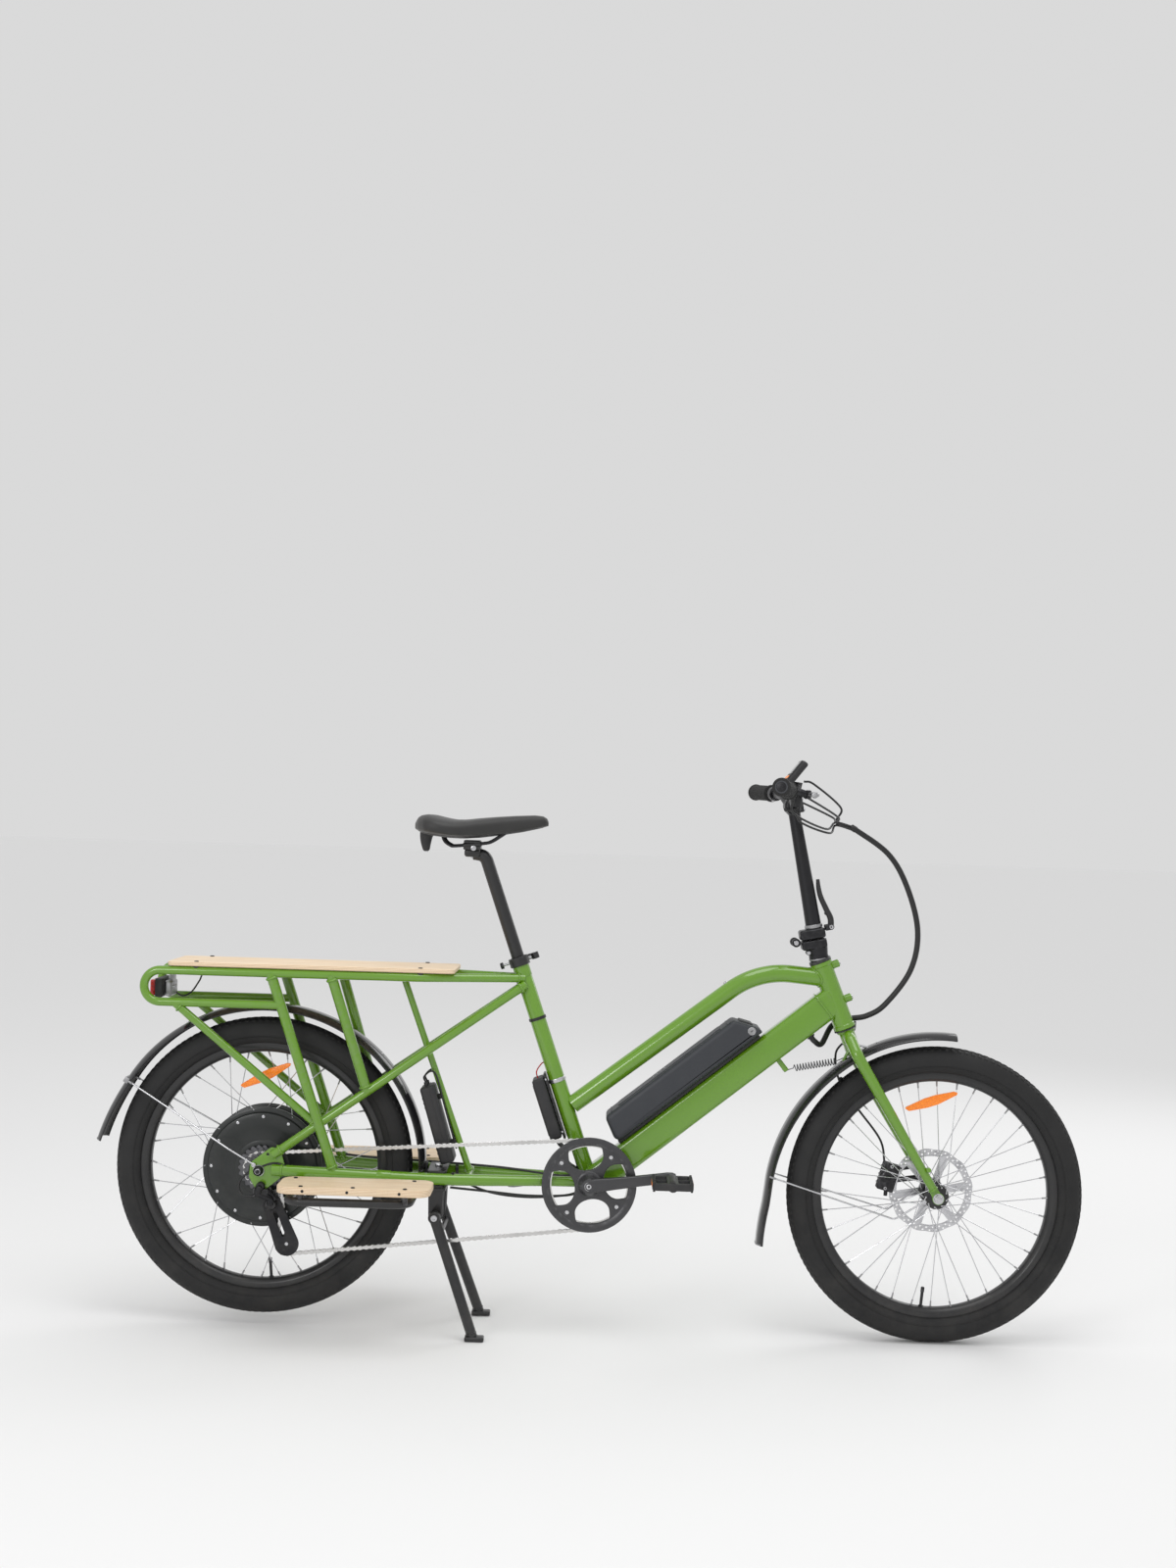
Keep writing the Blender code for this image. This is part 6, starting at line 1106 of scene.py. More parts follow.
rackSizes = {"stay": 0.0095, "rear": 0.0085, "upright": 0.0108, "rail": 0.009, "cross": 0.008, "y": 0.078,
             "loopRadius": 0.033}


def stayPoint(forward, hand):
    low = rearAxle + Vector((0.028, hand * 0.0775, 0.033))
    high = aside(stayTop, hand * 0.0185)
    share = (forward - 0.028) / (high.x - rearAxle.x - 0.028)
    return low + (high - low) * share


def sideFrameShapes(hand):
    low, high = stayPoint(0.028, hand), aside(stayTop, hand * 0.0185)
    shapes = [tube([low, high], rackSizes["stay"], 32, edge=0.001)]
    y = hand * rackSizes["y"]
    rows = [(stayPoint(0.118, hand), Vector((rearAxle.x - 0.186, y, 0.678)), rackSizes["rear"]),
            (rearAxle + Vector((0.156, hand * 0.0712, 0.001)), Vector((rearAxle.x + 0.0132, y, railHeight)),
             rackSizes["upright"]),
            (stayPoint(0.218, hand), Vector((rearAxle.x + 0.139, y, railHeight)), rackSizes["upright"])]
    stayAlong = (high - low).normalized()
    for foot, top, radius in rows:
        shapes.append(tube([foot, top], radius, 32))
        along = (top - foot).normalized()
        loop = meetingLoop(foot + along * 0.05, -along, radius - 0.0004, low, stayAlong, rackSizes["stay"])
        if loop and radius <= rackSizes["stay"]:
            shapes.append(seamOn(loop, 0.0026))
        shapes.append(beadRing(foot + along * 0.0115, along, radius, 0.0029))
        reach = 0.01 / max(0.3, abs(along.z))
        shapes.append(beadRing(top - along * reach, along, radius, 0.0029))
    shapes.append(beadRing(high - stayAlong * 0.012, stayAlong, rackSizes["stay"], 0.0027))
    shapes.append(beadRing(low + stayAlong * 0.02, stayAlong, rackSizes["stay"], 0.0027))
    return shapes


pair("sideFrame", "frame", "greenPaint", sideFrameShapes, "side_frame_{}")


def railShapes(hand):
    y = hand * rackSizes["y"]
    lowEnd = Vector((rearAxle.x + 0.036, y, railHeight - 0.066))
    loopCentre = Vector((loopX, y, railHeight - rackSizes["loopRadius"]))
    half = [polar(loopCentre, -90 - t, rackSizes["loopRadius"]) for t in range(0, 181, 9)]
    seatAtRail = bracket + seatLine * ((railHeight - bracket.z) / seatLine.z)
    front = roundedPath([half[-1], (rearAxle.x + 0.33, y, railHeight), aside(seatAtRail, hand * 0.012)], 0.12, 14)
    path = [lowEnd] + half + front[1:]
    shapes = [tube(path, rackSizes["rail"], 32)]
    end = front[-1] - (front[-1] - front[-2]).normalized() * 0.012
    shapes.append(beadRing(end, front[-1] - front[-2], rackSizes["rail"], 0.002))
    if hand < 0:
        for x in (loopX + 0.012, rearAxle.x + 0.04):
            ends = [Vector((x, s * rackSizes["y"], railHeight)) for s in (-1, 1)]
            shapes.append(tube(ends, rackSizes["cross"], 28))
            for s in (-1, 1):
                shapes.append(beadRing((x, s * 0.0695, railHeight), side, rackSizes["cross"], 0.0018))
    return shapes


pair("rackRail", "frame", "greenPaint", railShapes, "rack_rail_{}")

strutSizes = {"topX": 0.28, "foot": (0.4355, 0.326), "radius": 0.007, "cross": 0.008, "footY": 0.052}
strutTop = Vector((rearAxle.x + strutSizes["topX"], 0, railHeight))
strutFoot = Vector((rearAxle.x + strutSizes["foot"][0], 0, strutSizes["foot"][1]))
strutShapes = [tube([strutTop, strutFoot], strutSizes["radius"], 28)]
for spot, y in ((strutTop, rackSizes["y"]), (strutFoot, strutSizes["footY"])):
    strutShapes.append(tube([aside(spot, -y), aside(spot, y)], strutSizes["cross"], 28))
strutWay = (strutTop - strutFoot).normalized()
for spot in (strutTop - strutWay * 0.009, strutFoot + strutWay * 0.009):
    strutShapes.append(beadRing(spot, strutWay, strutSizes["radius"], 0.0018))
piece("centreStrut", "frame", "greenPaint", strutShapes, "centre_strut")
print("stays and rack built")

# Boards
boardParts = {"deckCentre": -0.591159, "deckLength": 0.597, "deckWidth": 0.172, "low": 0.754, "high": 0.763,
              "corner": 0.012, "spacerX": (-0.829959, -0.364299), "footX": (-0.624659, -0.316659),
              "footY": (0.13, 0.25), "footZ": (0.32, 0.334), "footCorner": 0.045}


def boardShape(x0, x1, y0, y1, z0, z1, corner, edge=0.0016):
    loop = flatLoop([(x0, y0), (x1, y0), (x1, y1), (x0, y1)], corner, 8)
    return plate([loop], z1 - z0, edge, placed((0, 0, (z0 + z1) / 2)), 3)


def screwHead(spot, radius=0.0046):
    return bolt(spot, (0, 0, 1), radius, 0.0022, ring=20)


half = boardParts["deckLength"] / 2
deckY, screwZ = boardParts["deckWidth"] / 2, boardParts["footZ"][1] - 0.0002
deckBolts = [Vector((x, y, boardParts["high"] - 0.0002)) for x in boardParts["spacerX"]
             for y in (-rackSizes["y"], rackSizes["y"])]
spacers = [rod((p.x, p.y, railHeight + 0.006), (p.x, p.y, boardParts["low"] + 0.001), 0.007, 20)
           for p in deckBolts]
piece("deckBoard", "frame", "birchPly",
      [boardShape(boardParts["deckCentre"] - half, boardParts["deckCentre"] + half, -deckY, deckY, boardParts["low"],
                  boardParts["high"], boardParts["corner"]),
       (merged(spacers), "blackPlastic"), (merged([screwHead(p) for p in deckBolts]), "darkMetal")],
      "deck_board")
for name, node, hand in (("footboardRight", "footboard_right", -1), ("footboardLeft", "footboard_left", 1)):
    x0, x1 = boardParts["footX"]
    ys = sorted(hand * y for y in boardParts["footY"])
    spots = [(x, 0.238) for x in (x0 + 0.05, (x0 + x1) / 2, x1 - 0.05)] + [(x0 + 0.026, 0.15), (x1 - 0.04, 0.15)]
    heads = [screwHead((x, hand * y, screwZ), 0.0042) for x, y in spots]
    edgeHeads = [bolt((x, hand * 0.2496, 0.327), (0, hand, 0), 0.003, 0.001, ring=16)
                 for x in (x0 + 0.055, (x0 + x1) / 2 - 0.01, x1 - 0.06)]
    piece(name, "frame", "birchPly",
          [boardShape(x0, x1, ys[0], ys[1], *boardParts["footZ"], boardParts["footCorner"]),
           (merged(heads), "darkMetal"), (merged(edgeHeads), "darkMetal")], node)

footFrame = {"z": 0.3035, "y": 0.238, "radius": 0.0085, "rear": boardParts["footX"][0] + 0.022,
             "front": boardParts["footX"][1] - 0.042}


def footboardFrameShapes():
    shapes = []
    z, rear, front = footFrame["z"], footFrame["rear"], footFrame["front"]
    for hand in (-1, 1):
        y = hand * footFrame["y"]
        path = roundedPath([(rear, hand * 0.0745, z), (rear, y, z), (front, y, z), (front, 0, z)], 0.03, 10)
        shapes.append(tube(path, footFrame["radius"], 28))
        for x in (boardParts["footX"][0] + 0.05, boardParts["footX"][1] - 0.05):
            shapes.append(rod((x, y, z), (x, y, 0.3203), 0.006, 20))
        shapes.append(beadRing((rear, hand * 0.08, z), side, footFrame["radius"], 0.0018))
    return shapes


piece("footboardFrame", "frame", "blackPaint", footboardFrameShapes(), "footboard_frame")

# Mudguards
guardSizes = {"halfWidth": 0.0345, "radius": 0.3425, "rivetRadius": 0.3423, "drop": 0.011, "sheet": 0.0014,
              "wire": 0.0019,
              "frontFlap": ((180, 0.3605), (184, 0.3645), (188, 0.372), (191, 0.3785), (194, 0.3855), (197, 0.3925)),
              "welt": ((0.0095, -0.033), (0.004, -0.025), (0.001, -0.013), (0.0005, 0), (0.001, 0.013),
                       (0.004, 0.025), (0.0095, 0.033)),
              "cross": ((0.3415, -0.034), (0.344, -0.018), (0.3448, 0), (0.344, 0.018), (0.3415, 0.034))}


def guardSection():
    # u towards the outside of the wheel, v across
    outer, inner = [], []
    steps = 16
    for k in range(-steps, steps + 1):
        share = k / steps
        drop = guardSizes["drop"] * max(0.0, (abs(share) - 0.15) / 0.85) ** 2.4
        v = guardSizes["halfWidth"] * share
        slope = copysign(min(1.0, abs(share) ** 3), share)
        outer.append((-drop, v))
        inner.append((-drop - guardSizes["sheet"] * (1 - 0.3 * abs(slope)), v - 0.0006 * slope))
    drop, width = guardSizes["drop"], guardSizes["halfWidth"]
    hemRight = [(-drop - 0.0022, width + 0.0002), (-drop - 0.0028, width - 0.001)]
    return outer + hemRight + inner[::-1] + [(u, -v) for u, v in reversed(hemRight)]


def guardShape(axle, spots):
    # spots: (angle, radius) along the wheel
    path = [polar(axle, a, r) for a, r in spots]
    return sweep(path, guardSection(), up=(path[0] - axle).normalized())


def rearGuardSpots():
    radius = guardSizes["radius"]
    spots = [(148.6 * k / 60, radius) for k in range(61)]
    return spots + [(148.6 + 23.7 * k / 14, radius + 0.0145 * (k / 14) ** 1.6) for k in range(1, 15)]


def frontGuardSpots():
    spots = [(84 + 92 * k / 48, guardSizes["radius"] + 0.016 * max(0.0, (k / 48 - 0.5) / 0.5) ** 1.5)
             for k in range(49)]
    return spots + list(guardSizes["frontFlap"])


def wireShape(points, bend=0.012):
    return tube(roundedPath(points, bend, 6), guardSizes["wire"], 12)


def flapEdge(axle, spots):
    # pale welt along the lower end of a guard
    angle, radius = spots[-1]
    return tube(smoothPath([polar(axle, angle, radius - drop, v) for drop, v in guardSizes["welt"]], 4), 0.0015, 12)


def wireClip(eye, knee):
    return box(axes(eye + (knee - eye).normalized() * 0.001, knee - eye, (0, 1, 0.01)), (0.014, 0.007, 0.0045),
               0.0014, 2)


def guardRivets(axle, angles, radius, height):
    return [bolt(polar(axle, a, guardSizes["rivetRadius"]), polar(axle, a, 1) - axle, radius, height) for a in angles]


def rearGuardShapes():
    wires, clips, screws = [], [], []
    for hand in (-1, 1):
        eye = polar(rearAxle, 149, 0.3315, hand * 0.0335)
        end = rearAxle + Vector((-0.01, hand * 0.0757, 0.012))
        knee = eye + (end - eye) * 0.3
        hip = eye + (end - eye) * 0.8
        knee.y, hip.y = hand * 0.047, hand * 0.0757
        wires.append(wireShape([eye, knee, hip, end], 0.02))
        clips.append(wireClip(eye, knee))
        screws.append(bolt(end + Vector((0, hand * 0.001, 0)), (0, hand, 0), 0.0048, 0.003))
    cross = tube([polar(rearAxle, 149, r, y) for r, y in guardSizes["cross"]], 0.0017, 10)
    clip = box(rearAxle + Vector((0.3423, 0, 0.005)), (0.006, 0.026, 0.022), 0.0015)
    clips += [box(axes(polar(rearAxle, 149, 0.3385, h * 0.0352), polar(rearAxle, 149, 1) - rearAxle, side),
                  (0.0105, 0.0036, 0.0125), 0.0012, 2) for h in (-1, 1)]
    screws += guardRivets(rearAxle, (90, 120, 150, 45), 0.004, 0.0016)
    return [guardShape(rearAxle, rearGuardSpots()), (merged(wires + [cross]), "brightSteel"),
            (merged(clips), "castAlloy"), (merged(screws), "brightSteel"), (clip, "blackPlastic"),
            (flapEdge(rearAxle, rearGuardSpots()), "castAlloy")]


def frontGuardShapes():
    wires, clips, screws = [], [], []
    for hand in (-1, 1):
        eye = polar(frontAxle, 175, 0.3475, hand * 0.0335)
        knee = frontAxle + Vector((-0.09, hand * 0.052, -0.046))
        end = frontAxle + Vector((-0.03, hand * 0.0585, -0.006))
        wires.append(wireShape([eye, knee, end], 0.016))
        clips.append(wireClip(eye, knee))
        screws.append(bolt(end + Vector((0, hand * 0.001, 0)), (0, hand, 0), 0.0046, 0.0028))
    foot, top = polar(frontAxle, 116, 0.3412), crown - 0.03 * steerLine
    strip = sweep([foot, foot + (top - foot) * 0.5, top], roundedSection(0.004, 0.014, 0.0015), up=(1, 0, 0))
    screws += guardRivets(frontAxle, (112, 120), 0.0036, 0.0015)
    return [guardShape(frontAxle, frontGuardSpots()), (merged(wires), "brightSteel"), (merged(clips), "castAlloy"),
            (merged(screws), "brightSteel"), (soften(strip, 0.0004, 1), "brightSteel"),
            (flapEdge(frontAxle, frontGuardSpots()), "castAlloy")]


piece("rearMudguard", "frame", "glossPlastic", rearGuardShapes(), "rear_mudguard")
piece("frontMudguard", "steering", "glossPlastic", frontGuardShapes(), "front_mudguard")
print("boards and mudguards built")

# Saddle and seat post
seatSizes = {"length": 0.279, "back": -0.1195, "halfWidth": 0.088, "post": 0.0136,
             "shares": [(0.0, 0.4), (0.03, 0.66), (0.08, 0.9), (0.14, 0.985), (0.2, 1.0), (0.27, 0.965), (0.34, 0.88),
                        (0.42, 0.73),
                        (0.5, 0.56), (0.58, 0.43), (0.66, 0.34), (0.76, 0.285), (0.86, 0.25), (0.94, 0.22),
                        (0.98, 0.17), (1.0, 0.09)],
             "tops": [(0.0, 0.049), (0.02, 0.059), (0.05, 0.064), (0.1, 0.0662), (0.15, 0.065), (0.22, 0.0608),
                      (0.3, 0.0574), (0.38, 0.058),
                      (0.48, 0.0614), (0.6, 0.065), (0.75, 0.0686), (0.9, 0.071), (0.96, 0.0694), (0.99, 0.0645),
                      (1.0, 0.058)],
             "bottoms": [(0.0, 0.034), (0.05, 0.0265), (0.12, 0.022), (0.25, 0.0182), (0.36, 0.0175), (0.5, 0.0208),
                         (0.65, 0.027), (0.8, 0.0345), (0.95, 0.0445), (1.0, 0.049)]}


def readTable(table, share):
    for (a, va), (b, vb) in zip(table, table[1:]):
        if share <= b:
            return va + (vb - va) * (share - a) / (b - a)
    return table[-1][1]


def cushionShape():
    # the padded top with its skirt, one closed skin
    rows, ring = 49, 40
    points, faces = [], []
    for i in range(rows):
        share = 0.5 - 0.5 * cos(pi * i / (rows - 1))
        x = saddleClamp.x + seatSizes["back"] + seatSizes["length"] * share
        width = seatSizes["halfWidth"] * readTable(seatSizes["shares"], share)
        top = saddleClamp.z + readTable(seatSizes["tops"], share)
        low = saddleClamp.z + readTable(seatSizes["bottoms"], share)
        rear = max(0.0, 1 - share / 0.45)
        for j in range(ring):
            t = 2 * pi * j / ring
            across, up = cos(t), sin(t)
            y = width * copysign(abs(across) ** 0.72, across)
            if up >= 0:
                crownShape = abs(up) ** 0.62
                z = low + (top - low) * (0.36 + 0.64 * crownShape)
                z -= 0.0055 * rear * exp(-(y / 0.016) ** 2)  # shallow channel at the back
                z += 0.002 * rear * exp(-((abs(y) - 0.045) / 0.022) ** 2)
            else:
                z = low + (top - low) * 0.36 * (1 - abs(up) ** 0.5)
                y *= 0.9 + 0.1 * (1 - abs(up))
            points.append(Vector((x, y, z)))
    for i in range(rows - 1):
        for j in range(ring):
            a, b = i * ring + j, i * ring + (j + 1) % ring
            faces.append((a, b, b + ring, a + ring))
    faces += [tuple(range(ring))[::-1], tuple(range((rows - 1) * ring, rows * ring))]
    return points, faces


def saddleFittings():
    rails = []
    for hand in (-1, 1):
        spots = [(-0.078, 0.036), (-0.066, 0.031), (-0.058, 0.012), (-0.046, 0.003), (-0.034, 0.0015),
                 (0.024, 0.0082), (0.04, 0.0125), (0.058, 0.024), (0.084, 0.042), (0.092, 0.046)]
        path = [saddleClamp + Vector((x, hand * (0.022 if x < 0.03 else 0.022 - 0.01 * (x - 0.03) / 0.08), z))
                for x, z in spots]
        rails.append(tube(smoothPath(path, 6), 0.0035, 16))
    shell = []
    for i in range(25):  # hard base under the cushion
        share = 0.03 + 0.93 * i / 24
        x = saddleClamp.x + seatSizes["back"] + seatSizes["length"] * share
        width = seatSizes["halfWidth"] * readTable(seatSizes["shares"], share) * 0.86
        low = saddleClamp.z + readTable(seatSizes["bottoms"], share)
        shell.append([Vector((x, width * cos(pi * j / 12),
                              low + 0.006 - 0.0065 * sin(pi * j / 12) ** 0.6)) for j in range(13)]
                     + [Vector((x, width * cos(pi * j / 12), low + 0.009)) for j in range(12, -1, -1)])
    points = [p for row in shell for p in row]
    count = len(shell[0])
    faces = [(i * count + j, i * count + (j + 1) % count, (i + 1) * count + (j + 1) % count, (i + 1) * count + j)
             for i in range(len(shell) - 1) for j in range(count)]
    faces += [tuple(range(count))[::-1], tuple(range((len(shell) - 1) * count, len(shell) * count))]
    bumper = tube(smoothPath([saddleClamp + Vector(p) for p in ((-0.092, 0, 0.036), (-0.098, 0, 0.024),
        (-0.099, 0, 0.007), (-0.0975, 0, -0.0115))], 6), [0.015, 0.0145, 0.0112, 0.0068], 28, edge=0.003)
    screw = bolt(saddleClamp + Vector((-0.0975, 0, -0.0108)), (0, 0, -1), 0.0036, 0.0026)
    return [(merged(rails), "darkMetal"), ((points, faces), "blackPlastic"), (bumper, "blackPlastic"),
            (screw, "brightSteel")]


cushion = piece("saddleCushion", "seat_assembly", "saddleVinyl", [cushionShape()], "saddle", 75)
piece("saddleFittings", "seat_assembly", "blackPlastic", saddleFittings())


def seatPostShapes():
    low, high = bracket + 0.264 * seatLine, bracket + 0.7215 * seatLine
    elbow = roundedPath([low, high, saddleClamp + Vector((0.003, 0, -0.0145))], 0.02, 10)
    post = tube(elbow, [seatSizes["post"], seatSizes["post"], 0.0128], 40, edge=0.001)
    cradle = box(saddleClamp + Vector((0.001, 0, -0.0125)), (0.034, 0.038, 0.017), 0.006, 5)
    upper = box(saddleClamp + Vector((0, 0, 0.0112)), (0.034, 0.054, 0.0064), 0.0022)
    lower = box(saddleClamp + Vector((0, 0, -0.0015)), (0.036, 0.05, 0.009), 0.0024)
    grooves = [rod(saddleClamp + Vector((-0.018, h * 0.022, 0.0034)),
                   saddleClamp + Vector((0.018, h * 0.022, 0.0076)), 0.0054, 20, 0.0008) for h in (-1, 1)]
    bolts = [bolt(saddleClamp + Vector((0.004, h * 0.0245, -0.002)), (0, h, 0), 0.0058, 0.004) for h in (-1, 1)]
    under = bolt(saddleClamp + Vector((0.001, 0, -0.0205)), (0, 0, -1), 0.004, 0.0036)
    return [post, cradle, upper, lower] + grooves + [(merged(bolts + [under]), "brightSteel")]


piece("seatPost", "seat_assembly", "blackPaint", seatPostShapes(), "seatpost")

clampSizes = {"inner": 0.0182, "height": 0.019, "pin": (-0.131174, 0.0275, 0.790416)}


def seatClampShapes():
    base = bracket + 0.4865 * seatLine
    h = clampSizes["height"] / 2
    band = lathe(base, seatLine, [(-h, clampSizes["inner"]), (-h, 0.0205), (-h + 0.001, 0.0215), (-0.002, 0.0213),
                                  (0.002, 0.0213),
                                  (h - 0.001, 0.0215), (h, 0.0205), (h, clampSizes["inner"])], closed=True)
    ears = [box(axes(base + side * 0.0262 + seatBack * off, seatBack, (0, 1, 0)), (0.0098, 0.015, 0.015), 0.0018)
            for off in (-0.0062, 0.0062)]
    pin = Vector(clampSizes["pin"])
    tip = base + side * 0.0275 + seatBack * 0.0362
    skewer = rod(pin, tip, 0.0028, 16)
    nut = lathe(tip, seatBack, [(0, 0), (0, 0.007), (0.0055, 0.007), (0.007, 0.0056), (0.007, 0.003), (0.0058, 0)],
                28)
    return [band] + ears + [(skewer, "brightSteel"), (nut, "darkMetal")]


piece("seatClamp", "frame", "blackPaint", seatClampShapes(), "seat_clamp")
pin = Vector(clampSizes["pin"])
leverPath = smoothPath([pin + side * 0.004, pin + side * 0.0155 + seatBack * 0.004,
                        pin + side * 0.018 + seatBack * 0.02,
                        pin + side * 0.0175 + seatBack * 0.038, pin + side * 0.0165 + seatBack * 0.055], 8)
piece("seatClampLever", "seat_lever", "blackPaint",
      [rod(pin - seatLine * 0.0068, pin + seatLine * 0.0068, 0.0085, 32, 0.0012),
       tube(leverPath, [0.004, 0.0044, 0.0046, 0.005, 0.0044], edge=0.0015, flat=1.35, up=seatLine.cross(side)),
       (rod(pin - seatLine * 0.0074, pin + seatLine * 0.0074, 0.0032, 20, 0.0005), "brightSteel")],
      "seat_clamp_lever")
print("saddle and seat post built")

# Fork
forkSizes = {"legTop": 0.0128, "legTip": 0.009, "crownRadius": 0.0165, "steerer": 0.0143, "eye": 0.0125,
             "tongue": (0.04, 0.0075)}
forkTab = Vector((0.530282, 0, 0.590446))


def forkShapes():
    shapes = []
    for hand in (-1, 1):
        tip = frontAxle + side * hand * 0.0593
        shoulder = crown - 0.05 * steerLine + side * hand * 0.058
        end = tip + (shoulder - tip).normalized() * 0.02
        path = roundedPath([crown - 0.01 * steerLine, crown - 0.014 * steerLine + side * hand * 0.03, shoulder, end],
                           0.03, 12)
        runs = [0.0]
        for a, b in zip(path, path[1:]):
            runs.append(runs[-1] + (b - a).length)
        thick, taper = forkSizes["legTop"], forkSizes["legTip"] - forkSizes["legTop"]
        radii = [thick + taper * (r / runs[-1]) ** 1.5 for r in runs]
        shapes.append(tube(path, radii, 36, edge=0.0012))
        place = facingSide(frontAxle + side * hand * 0.0533)
        lean = atan2((end - frontAxle).z, (end - frontAxle).x)
        turns = [lean + radians(50 + 260 * k / 20) for k in range(21)]
        loop = [(forkSizes["eye"] * cos(t), forkSizes["eye"] * sin(t)) for t in turns]
        (reach, wide), along, up = forkSizes["tongue"], cos(lean), sin(lean)
        # rounded dropout with a tongue towards the leg
        loop += [(reach * along + s * wide * up, reach * up - s * wide * along) for s in (1, -1)]
        shapes.append(plate([loop, roundLoop(0, 0, 0.0052, 24)], 0.006, 0.0008, place))
        shapes.append(beadRing(end + (shoulder - tip).normalized() * 0.004, shoulder - tip, 0.0094, 0.0018))
        shapes.append(beadRing(crown - 0.0125 * steerLine + side * hand * 0.017, side, 0.0124, 0.002))
        shapes.append(rod(tip + Vector((-0.024, 0, 0.062)), tip + Vector((-0.024, hand * 0.0115, 0.062)), 0.005, 20,
                          0.0006))
    shapes.append(rod(crown - 0.026 * steerLine, crown - 0.003 * steerLine, forkSizes["crownRadius"], 40, 0.002))
    shapes.append(lathe(crown, steerLine, [(-0.004, 0.0143), (-0.004, 0.0195), (-0.001, 0.0205), (0.0006, 0.0205),
        (0.0006, 0.0143)], 48, closed=True))
    shapes.append(rod(crown - 0.01 * steerLine, headTop + 0.036 * steerLine, forkSizes["steerer"], 36, 0.001))
    bridge = crown - 0.03 * steerLine
    shapes.append(tube([bridge - side * 0.04, bridge + side * 0.04], 0.0085, 28))
    tabEnd = forkTab + (forkTab - bridge).normalized() * 0.004
    shapes.append(tube([bridge - steerLine * 0.004, tabEnd], 0.0058, 16, edge=0.001, flat=0.55))
    shapes.append((bolt(bridge + steerForward * 0.008, steerForward, 0.0055, 0.0032), "brightSteel"))
    return shapes


piece("forkBlades", "steering", "greenPaint", forkShapes(), "fork")
axleSizes = {"front": {"rod": (0.0665, 0.0048, 0.001), "nut": (0.0568, 0.0094, 0.0068),
                       "washer": (0.0562, 0.005, 0.0112)},
             "rear": {"rod": (0.0895, 0.006, 0.0012), "nut": (0.074, 0.01, 0.0082),
                      "washer": (0.0736, 0.006, 0.0118)},
             "dome": [(0, 0), (0, 0.0106), (0.008, 0.0104), (0.0135, 0.008), (0.016, 0.004), (0.0165, 0)]}


def axleShapes(axle, sizes):
    (half, radius, edge), (nutY, nutRadius, nutHeight) = sizes["rod"], sizes["nut"]
    washerY, bore, outer = sizes["washer"]
    shapes = [rod(axle - side * half, axle + side * half, radius, 24, edge)]
    for hand in (-1, 1):
        shapes.append(hexNut(axle + side * hand * nutY, (0, hand, 0), nutRadius, nutHeight))
        washer = [(0, bore), (0, outer), (0.001, outer), (0.001, bore)]
        shapes.append(lathe(axle + side * hand * washerY, (0, hand, 0), washer, 32, closed=True))
    return shapes


piece("frontAxleBolt", "steering", "brightSteel", axleShapes(frontAxle, axleSizes["front"]), "front_axle")
domes = [(lathe(rearAxle + side * hand * 0.074, (0, hand, 0), axleSizes["dome"], 32), "darkMetal")
         for hand in (-1, 1)]
piece("rearAxleBolt", "frame", "brightSteel", axleShapes(rearAxle, axleSizes["rear"]) + domes, "rear_axle")

springSizes = {"coils": 14, "radius": 0.0068, "wire": 0.0011, "hook": 0.0034}


def springShape():
    # coil with a hook at each end, beside the tabs
    way = (forkTab - springAnchor).normalized()
    up = Vector((-way.z, 0, way.x))
    start, end = springAnchor + way * 0.02, forkTab - way * 0.02
    offset = side * springSizes["hook"]
    near, far = springAnchor + offset, forkTab + offset
    path = [near - way * 0.004 + up * 0.004, near - way * 0.006, near - up * 0.004, near + way * 0.006 - up * 0.002,
            start + offset * 0.5 - way * 0.003]
    turns = springSizes["coils"]
    steps = turns * 16
    for k in range(steps + 1):
        t = 2 * pi * k / 16
        path.append(start + (end - start) * k / steps + springSizes["radius"] * (cos(t) * up + sin(t) * side))
    path += [end + offset * 0.5 + way * 0.003, far - way * 0.006 + up * 0.002, far + up * 0.004, far + way * 0.006,
             far + way * 0.004 - up * 0.004]
    return tube(path, springSizes["wire"], 8)


piece("steeringSpring", ("frame", "steering"), "springSteel", [springShape()], "steering_spring",
      between=(springAnchor, forkTab))


